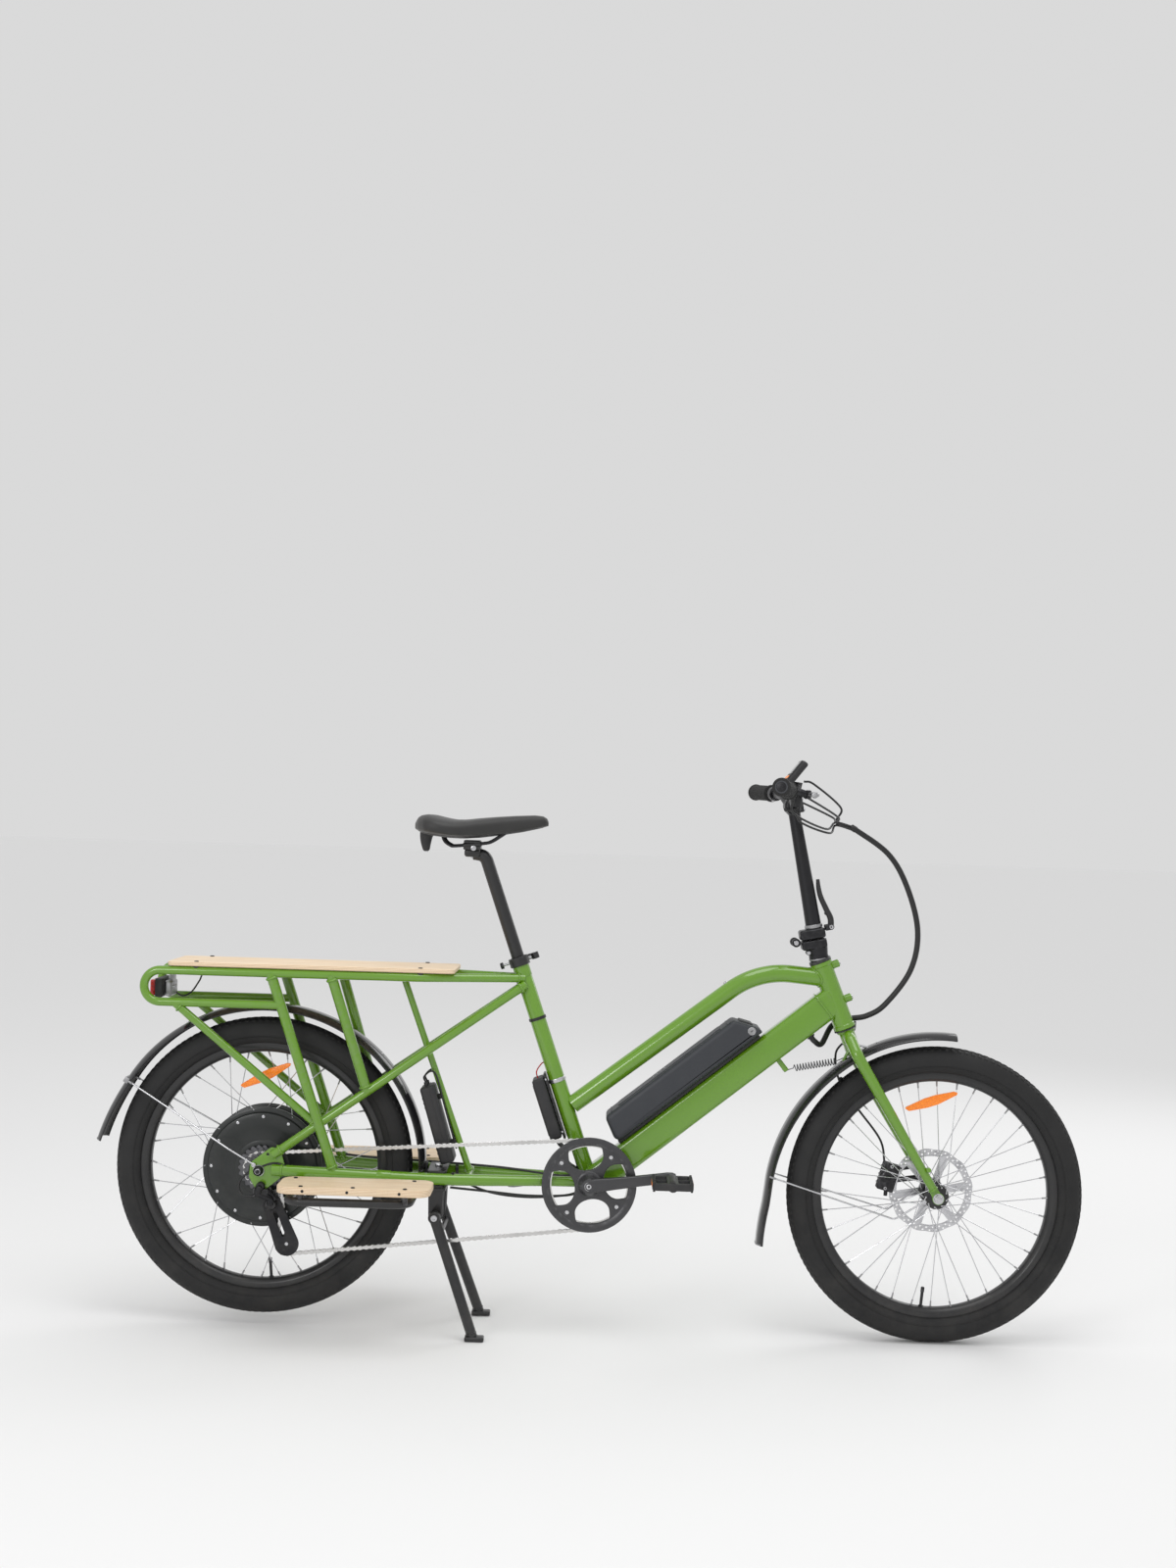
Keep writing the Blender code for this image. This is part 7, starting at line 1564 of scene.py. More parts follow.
def caliperShapes(centre, size, arms, lean):
    turn = radians(lean)
    place = axes(centre, (cos(turn), 0, sin(turn)), (-sin(turn), 0, cos(turn)))
    length, width, height = size
    halfGap = 0.0028
    half = width / 2 - halfGap
    cap = lathe((0, 0, 0), (0, 0, 1), [(0, 0), (0, length * 0.36), (0.0025, length * 0.36), (0.0036, length * 0.32),
        (0.0036, length * 0.14), (0.0026, length * 0.12), (0.0026, 0)], 32)
    shapes = []
    for hand in (-1, 1):
        shapes.append(box(place @ placed((0, 0, hand * (halfGap + half / 2))), (length * 0.92, height, half), 0.0034))
        outward = turned(180, "X") if hand < 0 else Matrix.Identity(4)
        shapes.append(moved(cap, place @ placed((0, 0, hand * (width / 2 - 0.0016))) @ outward))
    shapes.append(box(place @ placed((-length * 0.3, 0, 0)), (length * 0.34, height * 0.8, halfGap * 2.4), 0.001))
    for k in range(5):
        shapes.append(box(place @ placed((length * 0.44, height * (-0.3 + 0.15 * k), 0)),
                          (length * 0.1, height * 0.06, width * 0.96), 0.0008, 2))
    bolts = []
    for off in (-0.4, 0.4):
        for hand in (1, -1):
            spot = place @ Vector((0, height * off, hand * (width / 2 - 0.002)))
            bolts.append(bolt(spot, place.to_3x3() @ Vector((0, 0, hand)), 0.0036, 0.0036, ring=18))
    for start, end, radius in arms:
        shapes.append(rod(start, end, radius, 20, 0.001))
        bolts.append(bolt(end, side, radius * 0.8, 0.003, ring=16))
    banjo = place @ Vector((-length * 0.1, height * 0.5 - 0.001, width * 0.22))
    shapes.append(rod(banjo, banjo + (place.to_3x3() @ Vector((-0.2, 1, 0))).normalized() * 0.011, 0.0042, 18,
                      0.0008))
    return shapes + [(merged(bolts), "brightSteel")]


frontCaliperArms = [(polar(frontAxle, 156, 0.098, 0.0465), frontAxle + Vector((-0.028, 0.0465, 0.052)), 0.0058),
                    (polar(frontAxle, 170, 0.094, 0.0465), frontAxle + Vector((-0.012, 0.0465, 0.028)), 0.0058)]
hoseEnd = crown + Vector((-0.012, 0.062, -0.06))
hoseStart = polar(frontAxle, 152, 0.112, 0.046)
hosePath = smoothPath([hoseStart, hoseStart + Vector((-0.01, 0.01, 0.05)),
                       (hoseStart + hoseEnd) / 2 + Vector((-0.004, 0.014, 0.0)),
                       hoseEnd + Vector((0.012, 0.01, -0.06)), hoseEnd, crown + Vector((0.004, 0.05, -0.03)),
                       crown + Vector((0.022, 0.036, -0.004)), crown + Vector((0.024, 0.034, 0.016))])
piece("frontCaliper", "steering", "darkMetal",
      caliperShapes(polar(frontAxle, 164, 0.096, 0.0408), (0.04, 0.024, 0.06), frontCaliperArms, 164)
      + [(tube(hosePath, 0.0024, 14), "cableBlack"),
         (rod(hoseEnd + Vector((0.01, -0.004, -0.048)), hoseEnd + Vector((0.0135, -0.004, -0.06)), 0.0052, 18, 0.001),
          "blackPlastic")], "front_caliper")
rearCentre = polar(rearAxle, 26, 0.086, 0.0525)
rearHose = smoothPath([rearCentre + Vector((0.006, 0.004, 0.02)), rearCentre + Vector((0.02, 0.01, 0.022)),
                       rearAxle + Vector((0.14, 0.066, 0.02)), rearAxle + Vector((0.24, 0.058, 0.01)),
                       rearAxle + Vector((0.33, 0.052, 0.008)), rearAxle + Vector((0.5, 0.036, 0.002)),
                       bracket + Vector((-0.07, 0.02, 0.004)), bracket + Vector((-0.024, 0.012, 0.01))])
rearCaliperArm = (rearCentre + Vector((0.002, 0.009, -0.016)), rearAxle + Vector((0.074, 0.064, 0.016)), 0.0052)
piece("rearCaliper", "frame", "darkMetal",
      caliperShapes(rearCentre, (0.034, 0.021, 0.046), [rearCaliperArm], 26)
      + [(tube(rearHose, 0.0024, 14), "cableBlack")], "rear_caliper")
print("fork, axles and brakes built")

# Stem
stemSizes = {"block": (0.054, 0.046), "clampHalf": 0.024}


def stemBlock(lift, height):
    place = axes(stemFoot + lift * stemLine - 0.006 * stemForward, stemForward, (0, 1, 0))
    return box(place, (*stemSizes["block"], height), 0.0052, 4)


def stemBaseShapes():
    collar = lathe(stemFoot, stemLine, [(-0.006, 0.0148), (-0.006, 0.0195), (-0.003, 0.0203), (0.002, 0.0205),
        (0.006, 0.02), (0.008, 0.0206), (0.022, 0.0222), (0.038, 0.0225), (0.038, 0.0148)], 56, closed=True)
    shapes = [collar, stemBlock(0.03, 0.0196)]
    for hand in (-1, 1):
        shapes.append(rod(foldPin + side * hand * 0.0145, foldPin + side * hand * 0.025, 0.0092, 28, 0.0012))
        shapes.append((bolt(foldPin + side * hand * 0.0236, (0, hand, 0), 0.005, 0.0024, ring=20), "brightSteel"))
    spot = stemFoot + 0.014 * stemLine - 0.0205 * stemForward
    shapes.append(rod(spot - side * 0.012, spot + side * 0.012, 0.0052, 20, 0.001))
    shapes.append((bolt(spot - side * 0.0118, (0, -1, 0), 0.004, 0.0028, ring=18), "brightSteel"))
    shapes.append((lathe(stemFoot - 0.0042 * stemLine, stemLine,
                         [(0, 0.0146), (0, 0.0212), (0.0018, 0.0216), (0.003, 0.0212), (0.003, 0.0146)], 56,
                         closed=True), "castAlloy"))
    return shapes


piece("stemBase", "steering", "darkMetal", stemBaseShapes(), "stem_base")


def stemPostShapes():
    low, high = stemFoot + 0.052 * stemLine, stemFoot + 0.322 * stemLine
    post = tube([low, low + 0.006 * stemLine, low + 0.05 * stemLine, high - 0.03 * stemLine, high],
                [0.0178, 0.017, 0.016, 0.0128, 0.0125], 44)
    shapes = [post, stemBlock(0.052, 0.0216)]
    shapes.append((lathe(stemFoot + 0.064 * stemLine, stemLine, [(0, 0.015), (0, 0.0186), (0.0012, 0.019),
        (0.0062, 0.0188), (0.007, 0.018), (0.007, 0.015)], 56, closed=True), "castAlloy"))
    shapes.append(lathe(barCentre - side * stemSizes["clampHalf"], side, [
        (0, 0.0113), (0, 0.0182), (0.0013, 0.0195), (0.0467, 0.0195), (0.048, 0.0182), (0.048, 0.0113)], 56,
        closed=True))
    shapes.append(tube([high - 0.014 * stemLine, barCentre - 0.012 * stemLine], [0.0132, 0.0165], 40))
    shapes.append(box(axes(barCentre + stemForward * 0.0165, stemForward, (0, 1, 0)), (0.007, 0.04, 0.033), 0.0022))
    for hand in (-1, 1):
        for lift in (-0.0115, 0.0115):
            spot = barCentre + stemForward * 0.019 + side * hand * 0.0135 + stemLine * lift
            shapes.append((bolt(spot, stemForward, 0.0038, 0.0036, ring=18), "brightSteel"))
        shapes.append(rod(latchPin + side * hand * 0.0065, latchPin + side * hand * 0.0128, 0.006, 24, 0.001))
        ear = axes(latchPin - stemForward * 0.006 + side * hand * 0.0118, stemForward, (0, 1, 0))
        shapes.append(box(ear, (0.014, 0.005, 0.012), 0.0016))
    shapes.append((rod(foldPin - side * 0.0255, foldPin + side * 0.0255, 0.0042, 20, 0.0008), "brightSteel"))
    return shapes


piece("stemPost", "folding_stem", "darkMetal", stemPostShapes(), "stem_post")


latchSizes = {"spots": ((0, 0), (0.018, 0.002), (0.04, -0.004), (0.065, -0.0105), (0.085, -0.012), (0.104, -0.0105)),
              "wide": [0.008, 0.0082, 0.008, 0.0076, 0.0074, 0.0066],
              "thick": [0.0066, 0.0064, 0.006, 0.0056, 0.005, 0.0036]}


def squircle(height, width):
    # rounded section between an ellipse and a box
    turns = [(cos(t), sin(t)) for t in (2 * pi * j / 28 for j in range(28))]
    return [(height * copysign(abs(c) ** 0.7, c), width * copysign(abs(s) ** 0.7, s)) for c, s in turns]


def latchShapes():
    path = smoothPath([latchPin + lift * stemLine + out * stemForward for lift, out in latchSizes["spots"]], 8)
    wide, thick = spread(latchSizes["wide"], len(path)), spread(latchSizes["thick"], len(path))
    lever = sweep(path, [squircle(t, w) for t, w in zip(thick, wide)], up=stemForward)
    boss = rod(latchPin - side * 0.0086, latchPin + side * 0.0086, 0.0066, 28, 0.001)
    heads = [bolt(latchPin + side * h * 0.0128, (0, h, 0), 0.0044, 0.0024, ring=18) for h in (-1, 1)]
    spot = latchPin + 0.03 * stemLine - 0.004 * stemForward
    catch = rod(spot - side * 0.006, spot + side * 0.006, 0.005, 18, 0.0008)
    return [lever, boss, catch, (merged(heads), "brightSteel")]


piece("stemLatch", "latch", "blackPaint", latchShapes(), "stem_latch")

# Handlebar with grips, levers, shifter and display
barSizes = {"radius": 0.0111, "spots": [(0, 0, 0), (0.05, 0, 0), (0.112, 0.012, 0.026), (0.32, 0.055, 0.032)],
            "bend": 0.05, "perch": 0.168, "grip": 0.13}


def barSpot(hand, k):
    y, back, rise = barSizes["spots"][k]
    return barCentre + Vector((-back, hand * y, rise))


def barPath(hand):
    return roundedPath([barSpot(hand, k) for k in range(4)], barSizes["bend"], 12)


barLine = barPath(-1)[::-1] + barPath(1)[1:]
barHeading = {h: (barSpot(h, 3) - barSpot(h, 2)).normalized() for h in (-1, 1)}


def onBar(hand, y):
    low, high = barSpot(hand, 2), barSpot(hand, 3)
    return low + (high - low) * ((y - 0.112) / 0.208)


def handlebarShapes():
    shapes = [tube(barLine, barSizes["radius"], 32, edge=0.001)]
    shapes += [lathe(barCentre + side * y, side, [(0, 0.0109), (0, 0.01145), (0.0006, 0.01145), (0.0006, 0.0109)], 32,
                     closed=True)
               for y in (-0.03, 0.0294)]
    for hand in (-1, 1):
        heading, spot = barHeading[hand], onBar(hand, barSizes["perch"])
        shapes.append(lathe(spot - heading * 0.009, heading, [(0, 0.0111), (0, 0.015), (0.0012, 0.016),
            (0.0168, 0.016), (0.018, 0.015), (0.018, 0.0111)], 40, closed=True))
        pin = leverPin(hand)
        shapes.append(tube([spot + Vector((0.012, 0, 0)), pin + Vector((-0.004, 0, 0))], [0.0085, 0.0078],
                           edge=0.001))
        shapes.append(rod(pin + Vector((0, 0, -0.0085)), pin + Vector((0, 0, 0.0085)), 0.0062, 24, 0.001))
        shapes.append(tube(smoothPath([pin + Vector((-0.006, 0, 0)),
            pin - heading * 0.018 + Vector((-0.006, 0, -0.001)), pin - heading * 0.036 + Vector((-0.008, 0, -0.003))],
            6), [0.0074, 0.007, 0.0052], edge=0.0012))
        shapes.append((bolt(spot + Vector((-0.004, 0, -0.015)), (0, 0, -1), 0.0036, 0.0022, ring=18), "brightSteel"))
        shapes.append((bolt(pin + Vector((0, 0, 0.0082)), (0, 0, 1), 0.0034, 0.0018, ring=18), "brightSteel"))
    shapes.append((lathe(shiftPod + Vector((0, 0, -0.006)), (0, 0, 1), [
        (0, 0), (0, 0.0095), (0.0015, 0.011), (0.02, 0.012), (0.033, 0.0118), (0.036, 0.01), (0.0365, 0)], 40),
        "blackPlastic"))
    shapes.append((lathe(shiftPod + Vector((0, 0, 0.03)), (0, 0, 1), [
        (0, 0), (0, 0.0078), (0.0012, 0.0078), (0.0016, 0.0068), (0.0016, 0)], 36), "castAlloy"))
    throttle = onBar(-1, 0.182)
    shapes.append((lathe(throttle, barHeading[-1], [(-0.004, 0.0112), (-0.004, 0.015), (0.0, 0.016), (0.004, 0.016),
        (0.0065, 0.015), (0.0065, 0.0112)], 36, closed=True), "blackPlastic"))
    return shapes


piece("handlebarTube", "folding_stem", "darkMetal", handlebarShapes(), "handlebar")


def gripShapes(hand):
    heading = barHeading[hand]
    end = barSpot(hand, 3)
    start = end - heading * barSizes["grip"]
    profile = [(0, 0.0113), (0, 0.018), (0.001, 0.019), (0.0035, 0.0192), (0.005, 0.0182), (0.006, 0.0166)]
    for k in range(14):  # shallow rings
        x = 0.008 + 0.0082 * k
        profile += [(x, 0.017), (x + 0.0052, 0.017), (x + 0.006, 0.0161), (x + 0.0074, 0.0161)]
    profile += [(0.124, 0.0168), (0.125, 0.018), (0.1275, 0.0186), (0.1298, 0.018), (0.1304, 0.015), (0.13, 0.01),
                (0.1294, 0.0)]
    body = lathe(start, heading, profile, 48)
    ringEnd = lathe(end, heading, [(-0.0006, 0.0098), (-0.0006, 0.0128), (0.0008, 0.0126), (0.001, 0.0112),
                                   (0.0008, 0.01)], 48, closed=True)
    cap = bolt(end - heading * 0.0008, heading, 0.0056, 0.0014, ring=24)
    return [body, (ringEnd, "caseGrey"), (cap, "darkMetal")]


pair("grip", "folding_stem", "gripRubber", gripShapes, "grip_{}")


def brakeLeverShapes(hand):
    pin, heading = leverPin(hand), barHeading[hand]
    spots = [pin, pin + 0.012 * heading + Vector((0.01, 0, 0)), pin + 0.045 * heading + Vector((0.022, 0, -0.002)),
             pin + 0.08 * heading + Vector((0.0215, 0, -0.004)), pin + 0.115 * heading + Vector((0.024, 0, -0.006))]
    path = smoothPath(spots, 8)
    blade = tube(path, [0.0048, 0.0046, 0.0048, 0.0052, 0.006], edge=0.002)
    hub = rod(pin + Vector((0, 0, -0.0058)), pin + Vector((0, 0, 0.0058)), 0.006, 28, 0.001)
    ball = lathe(path[-1], heading, [(-0.0065, 0), (-0.005, 0.0048), (-0.0015, 0.0066), (0.0015, 0.0066),
        (0.0035, 0.005), (0.0042, 0)], 28)
    return [blade, hub, ball]


pair("brakeLever", "{}_brake_lever", "castAlloy", brakeLeverShapes, "brake_lever_{}")
piece("shiftLever", "gear_lever", "blackPlastic",
      [lathe(shiftPod + Vector((0, 0, -0.012)), (0, 0, 1), [
          (0, 0), (0, 0.0088), (0.001, 0.0098), (0.004, 0.0098), (0.005, 0.009), (0.005, 0)], 36),
       tube(smoothPath(around(shiftPod, (0, 0, -0.0095), (-0.01, -0.006, -0.01), (-0.018, -0.013, -0.0105),
                              (-0.0245, -0.0185, -0.0105)), 6),
            [0.004, 0.004, 0.0044, 0.0042], 20, edge=0.0014)], "shift_lever")

displaySizes = {"centre": (0.004, 0, 0.0695), "tilt": 38}


def displayShapes():
    turn = radians(displaySizes["tilt"])
    place = axes(barCentre + Vector(displaySizes["centre"]), (sin(turn), 0, cos(turn)), side)
    case = box(place, (0.058, 0.076, 0.015), 0.005, 5)
    lip = box(place @ placed((0, 0, 0.0075)), (0.054, 0.072, 0.003), 0.0014)
    screen = box(place @ placed((0.0075, 0, 0.0088)), (0.033, 0.06, 0.0012), 0.0005, 2)
    keys = [box(place @ placed((-0.0185, y, 0.0092)), (0.0075, 0.011, 0.0024), 0.001) for y in (-0.022, 0.0, 0.022)]
    neckTop, neckFoot = barCentre + Vector((0.008, 0, 0.05)), barCentre + Vector((0.003, 0, 0.012))
    neck = sweep([neckFoot, (neckFoot + neckTop) / 2, neckTop], [roundedSection(0.02, 0.026, 0.005),
        roundedSection(0.017, 0.022, 0.005), roundedSection(0.02, 0.028, 0.005)], up=(1, 0, 0))
    straps = [lathe(barCentre + side * y, side, [(-0.0055, 0.0112), (-0.0055, 0.015), (-0.0045, 0.0158),
        (0.0045, 0.0158), (0.0055, 0.015), (0.0055, 0.0112)], 36, closed=True) for y in (-0.033, 0.033)]
    arms = [tube(smoothPath(around(barCentre, (0.0, y * 33, 0.013), (0.004, y * 30, 0.03), (0.008, y * 12, 0.046)),
                            6), 0.0055, 18) for y in (-0.001, 0.001)]
    return [case, lip, (screen, "screenGlass"), (merged(keys), "orangeLens"), neck] + straps + arms


piece("displayUnit", "folding_stem", "blackPlastic", displayShapes(), "display")
print("stem, handlebar and controls built")

# Cables: thin ones gather into the sleeve that swings round the head tube
loomSizes = {"sleeve": 0.006, "strand": 0.0023}
gather = barCentre + Vector((0.134, 0.006, -0.046))
turnPoint, lowTurn = crown + Vector((0.1355, 0.01, 0.131)), crown + Vector((0.0858, 0.018, 0.0568))
routeSpots = [gather + Vector((-0.006, 0, 0.004)), gather, barCentre + Vector((0.206, 0.008, -0.096)),
              barCentre + Vector((0.248, 0.008, -0.165)), crown + Vector((0.1475, 0.008, 0.2145)), turnPoint, lowTurn,
              crown + Vector((0.048, 0.029, 0.029)), crown + Vector((0.008, 0.0345, 0.02)),
              crown + Vector((-0.025, 0.0345, 0.005)), cablePort + Vector((0.026, 0.014, -0.018)),
              cablePort - 0.014 * downUp, cablePort]
route = smoothPath(routeSpots, 14)
split = 14 * 5  # the sleeve is two pieces that share this stretch
piece("loomUpper", ("folding_stem", "steering"), "cableBlack", [tube(route[:split + 2], loomSizes["sleeve"], 20)], (),
      between=(gather, turnPoint))
piece("loomLower", ("steering", "frame"), "cableBlack", [tube(route[split - 1:], loomSizes["sleeve"], 20)],
      "cable_loom", between=(lowTurn, cablePort + Vector((0.01, 0.01, -0.01))))


def strandShapes():
    strands = []
    starts = [(Vector((0.4155, -0.135, 1.144)), Vector((0.03, 0.03, -0.012)), (-0.0026, -0.002)),
              (Vector((0.4155, 0.135, 1.144)), Vector((0.03, -0.03, -0.012)), (0.003, -0.0016)),
              (Vector((0.408, -0.124, 1.12)), Vector((0.004, 0.014, -0.05)), (0.0, -0.0042)),
              (barCentre + Vector((0.02, -0.012, 0.052)), Vector((0.04, 0.002, -0.01)), (-0.0004, 0.003)),
              (onBar(-1, 0.178) + Vector((0.01, 0.0, -0.012)), Vector((0.004, 0.04, -0.06)), (0.0026, 0.0024))]
    for start, lean, (across, up) in starts:
        end = gather + Vector((0.004, across, up))
        mid = (start + end) / 2 + lean * 0.55
        path = smoothPath([start, start + lean * 0.55, mid, end - Vector((0.045, 0, -0.014)) + lean * 0.05, end])
        strands.append(tube(path, loomSizes["strand"], 12))
    sleeveMouth = lathe(gather - Vector((0.01, 0, -0.0052)), (0.88, 0.01, -0.47),
                        [(0, 0), (0, 0.0052), (0.002, 0.0066), (0.012, 0.0068), (0.014, 0.006), (0.014, 0)], 24)
    return strands + [sleeveMouth]


piece("controlCables", "folding_stem", "cableBlack", strandShapes())
print("cables built")

# Drive train
driveSizes = {"ring": 0.0931, "cog": 0.0326, "pulley": 0.0225, "pitch": 0.0127, "teeth": 46}


def beltPath(circles, gap=0.0015):
    # closed loop round (centre, radius, sign) circles; sign 1 keeps the centre on the left, seen from the drive side
    runs, headings, count = [], [], len(circles)
    for k in range(count):
        (a, ra, sa), (b, rb, sb) = circles[k], circles[(k + 1) % count]
        gapLine = b - a
        phi = atan2(gapLine.z, gapLine.x)
        headings.append(phi - asin((sb * rb - sa * ra) / hypot(gapLine.x, gapLine.z)))
    for k in range(count):
        centre, radius, sign = circles[k]
        before, after = headings[k - 1], headings[k]
        turn = (after - before) % (2 * pi) if sign > 0 else -((before - after) % (2 * pi))
        steps = max(3, int(abs(turn) * radius / gap))
        arc = []
        for j in range(steps + 1):
            t = before + turn * j / steps
            arc.append(centre + Vector((sign * radius * sin(t), 0, -sign * radius * cos(t))))
        runs.append(arc)
    return runs


beltRuns = beltPath([(bracket, driveSizes["ring"], -1), (tensionPulley, driveSizes["pulley"], -1),
                     (guidePulley, driveSizes["pulley"], 1), (rearAxle, driveSizes["cog"], -1)])


def linkItem(wide):
    # one link between two pins, lying along X
    pitch = driveSizes["pitch"]
    loop = []
    for end in (-1, 1):  # round ends and a narrow waist
        for k in range(9):
            t = radians((90 if end < 0 else -90) + 22.5 * k)
            loop.append((end * pitch / 2 + 0.0042 * cos(t), 0.0042 * sin(t)))
        loop.append((0, end * 0.0027))
    y = 0.0029 if wide else 0.0018
    shapes = [plate([loop], 0.0009, 0.0002, facingSide((0, hand * y, 0)), 0) for hand in (-1, 1)]
    for end in (-1, 1):
        spot = Vector((end * pitch / 2, 0, 0))
        if wide:
            shapes.append(rod(spot - side * 0.0037, spot + side * 0.0037, 0.0018, 10))
        else:
            shapes.append(rod(spot - side * 0.0016, spot + side * 0.0016, 0.0038, 12))
    return merged(shapes)


def chainShape(path, name):
    path = [aside(p, chainY) for p in path]
    length = sum((b - a).length for a, b in zip(path, path[1:]))
    count = round(length / driveSizes["pitch"])
    curve = bpy.data.curves.new(name, "CURVE")
    curve.dimensions = "3D"
    spline = curve.splines.new("POLY")
    spline.points.add(len(path) - 1)
    for point, spot in zip(spline.points, path):
        point.co = (*spot, 1)
    carrier = addObject(name, curve)
    inner, outer = seedObject("linkInner", linkItem(False)), seedObject("linkOuter", linkItem(True))
    shape = nodeShape(chainTree, carrier, {"Count": count + 1, "First item": inner, "Second item": outer,
        "Finish": finishes["chainSteel"]})
    bpy.data.objects.remove(inner)
    bpy.data.objects.remove(outer)
    return shape


middleLink = len(beltRuns[2]) // 2
upperRun = beltRuns[2][middleLink:] + beltRuns[3] + beltRuns[0]
lowerSpan = beltRuns[1][0] - beltRuns[0][-1]
lowerRun = [beltRuns[0][-1] + lowerSpan * k / 40 for k in range(40)] + beltRuns[1] + beltRuns[2][:middleLink]
piece("chainUpper", "frame", "chainSteel", [chainShape(upperRun, "chainUpperPath")], "chain")
piece("chainLower", ("frame", "cage"), "chainSteel", [chainShape(lowerRun, "chainLowerPath")], (),
      between=(beltRuns[1][0] - lowerSpan.normalized() * 0.11, beltRuns[1][0]))
print("chain built")


def gearLoop(radius, teeth, depth):
    # outline with rounded teeth
    loop = []
    for k in range(teeth * 8):
        t = 2 * pi * k / (teeth * 8)
        reach = radius + depth * ((0.5 + 0.5 * cos(teeth * t)) ** 0.8 - 0.5)
        loop.append((reach * cos(t), reach * sin(t)))
    return loop


cassetteSizes = {"cogs": [(-0.0435, 0.046, 22), (-0.0475, 0.0415, 20), (-0.0515, 0.0366, 17), (-0.0555, 0.0326, 15),
                          (-0.0595, 0.029, 13), (-0.0635, 0.0262, 12)], "thickness": 0.0018}
cogs = [plate([gearLoop(radius, teeth, 0.0046), roundLoop(0, 0, 0.02, 40)], cassetteSizes["thickness"], 0.0002,
              facingSide(rearAxle + side * y), 0)
        for y, radius, teeth in cassetteSizes["cogs"]]
spacer = lathe(rearAxle, side, [(-0.0665, 0.0195), (-0.0665, 0.0216), (-0.0655, 0.0226), (-0.0425, 0.0226),
                                (-0.0415, 0.0216), (-0.0415, 0.0195)], 48, closed=True)
lockRing = lathe(rearAxle, side, [(-0.067, 0.014), (-0.067, 0.0185), (-0.065, 0.02), (-0.064, 0.02), (-0.064, 0.014)],
                 48, closed=True)
piece("cassetteCogs", "sprockets", "springSteel", cogs + [(spacer, "darkMetal"), (lockRing, "castAlloy")], "cassette")

crankSizes = {"arms": 4, "firstArm": 53, "ringInner": 0.079, "windowOuter": 0.0815, "windowCorner": 27,
              "reach": 0.1705, "bowl": (0.058, 0.0275, 0.036), "length": 0.1725, "sections": (
                  # share of the arm, height, width
                  (-0.1, 0.012, 0.012), (-0.06, 0.024, 0.0135), (0.0, 0.03, 0.015), (0.1, 0.029, 0.015),
                  (0.3, 0.0255, 0.014), (0.6, 0.023, 0.013), (0.85, 0.0225, 0.013), (0.97, 0.0225, 0.013),
                  (1.03, 0.0195, 0.012), (1.07, 0.012, 0.01))}


def petalLoop(angle):
    # wide window: an arc on the outside, half an ellipse towards the hub
    middle, deep, half = crankSizes["bowl"]
    outer, corner = crankSizes["windowOuter"], crankSizes["windowCorner"]
    turns = [radians(t) for t in range(-corner + 6, corner - 5, 3)]
    points = [Vector((outer * cos(t), outer * sin(t), 0)) for t in turns]
    points += [Vector((middle + 0.015, half - 0.001, 0))]
    turns = [radians(t) for t in range(0, 181, 15)]
    points += [Vector((middle - deep * sin(t), half * cos(t), 0)) for t in turns]
    points += [Vector((middle + 0.015, -half + 0.001, 0))]
    c, s = cos(radians(angle)), sin(radians(angle))
    return [(p.x * c - p.y * s, p.x * s + p.y * c) for p in smoothPath(points + points[:1], 3)[:-1]]


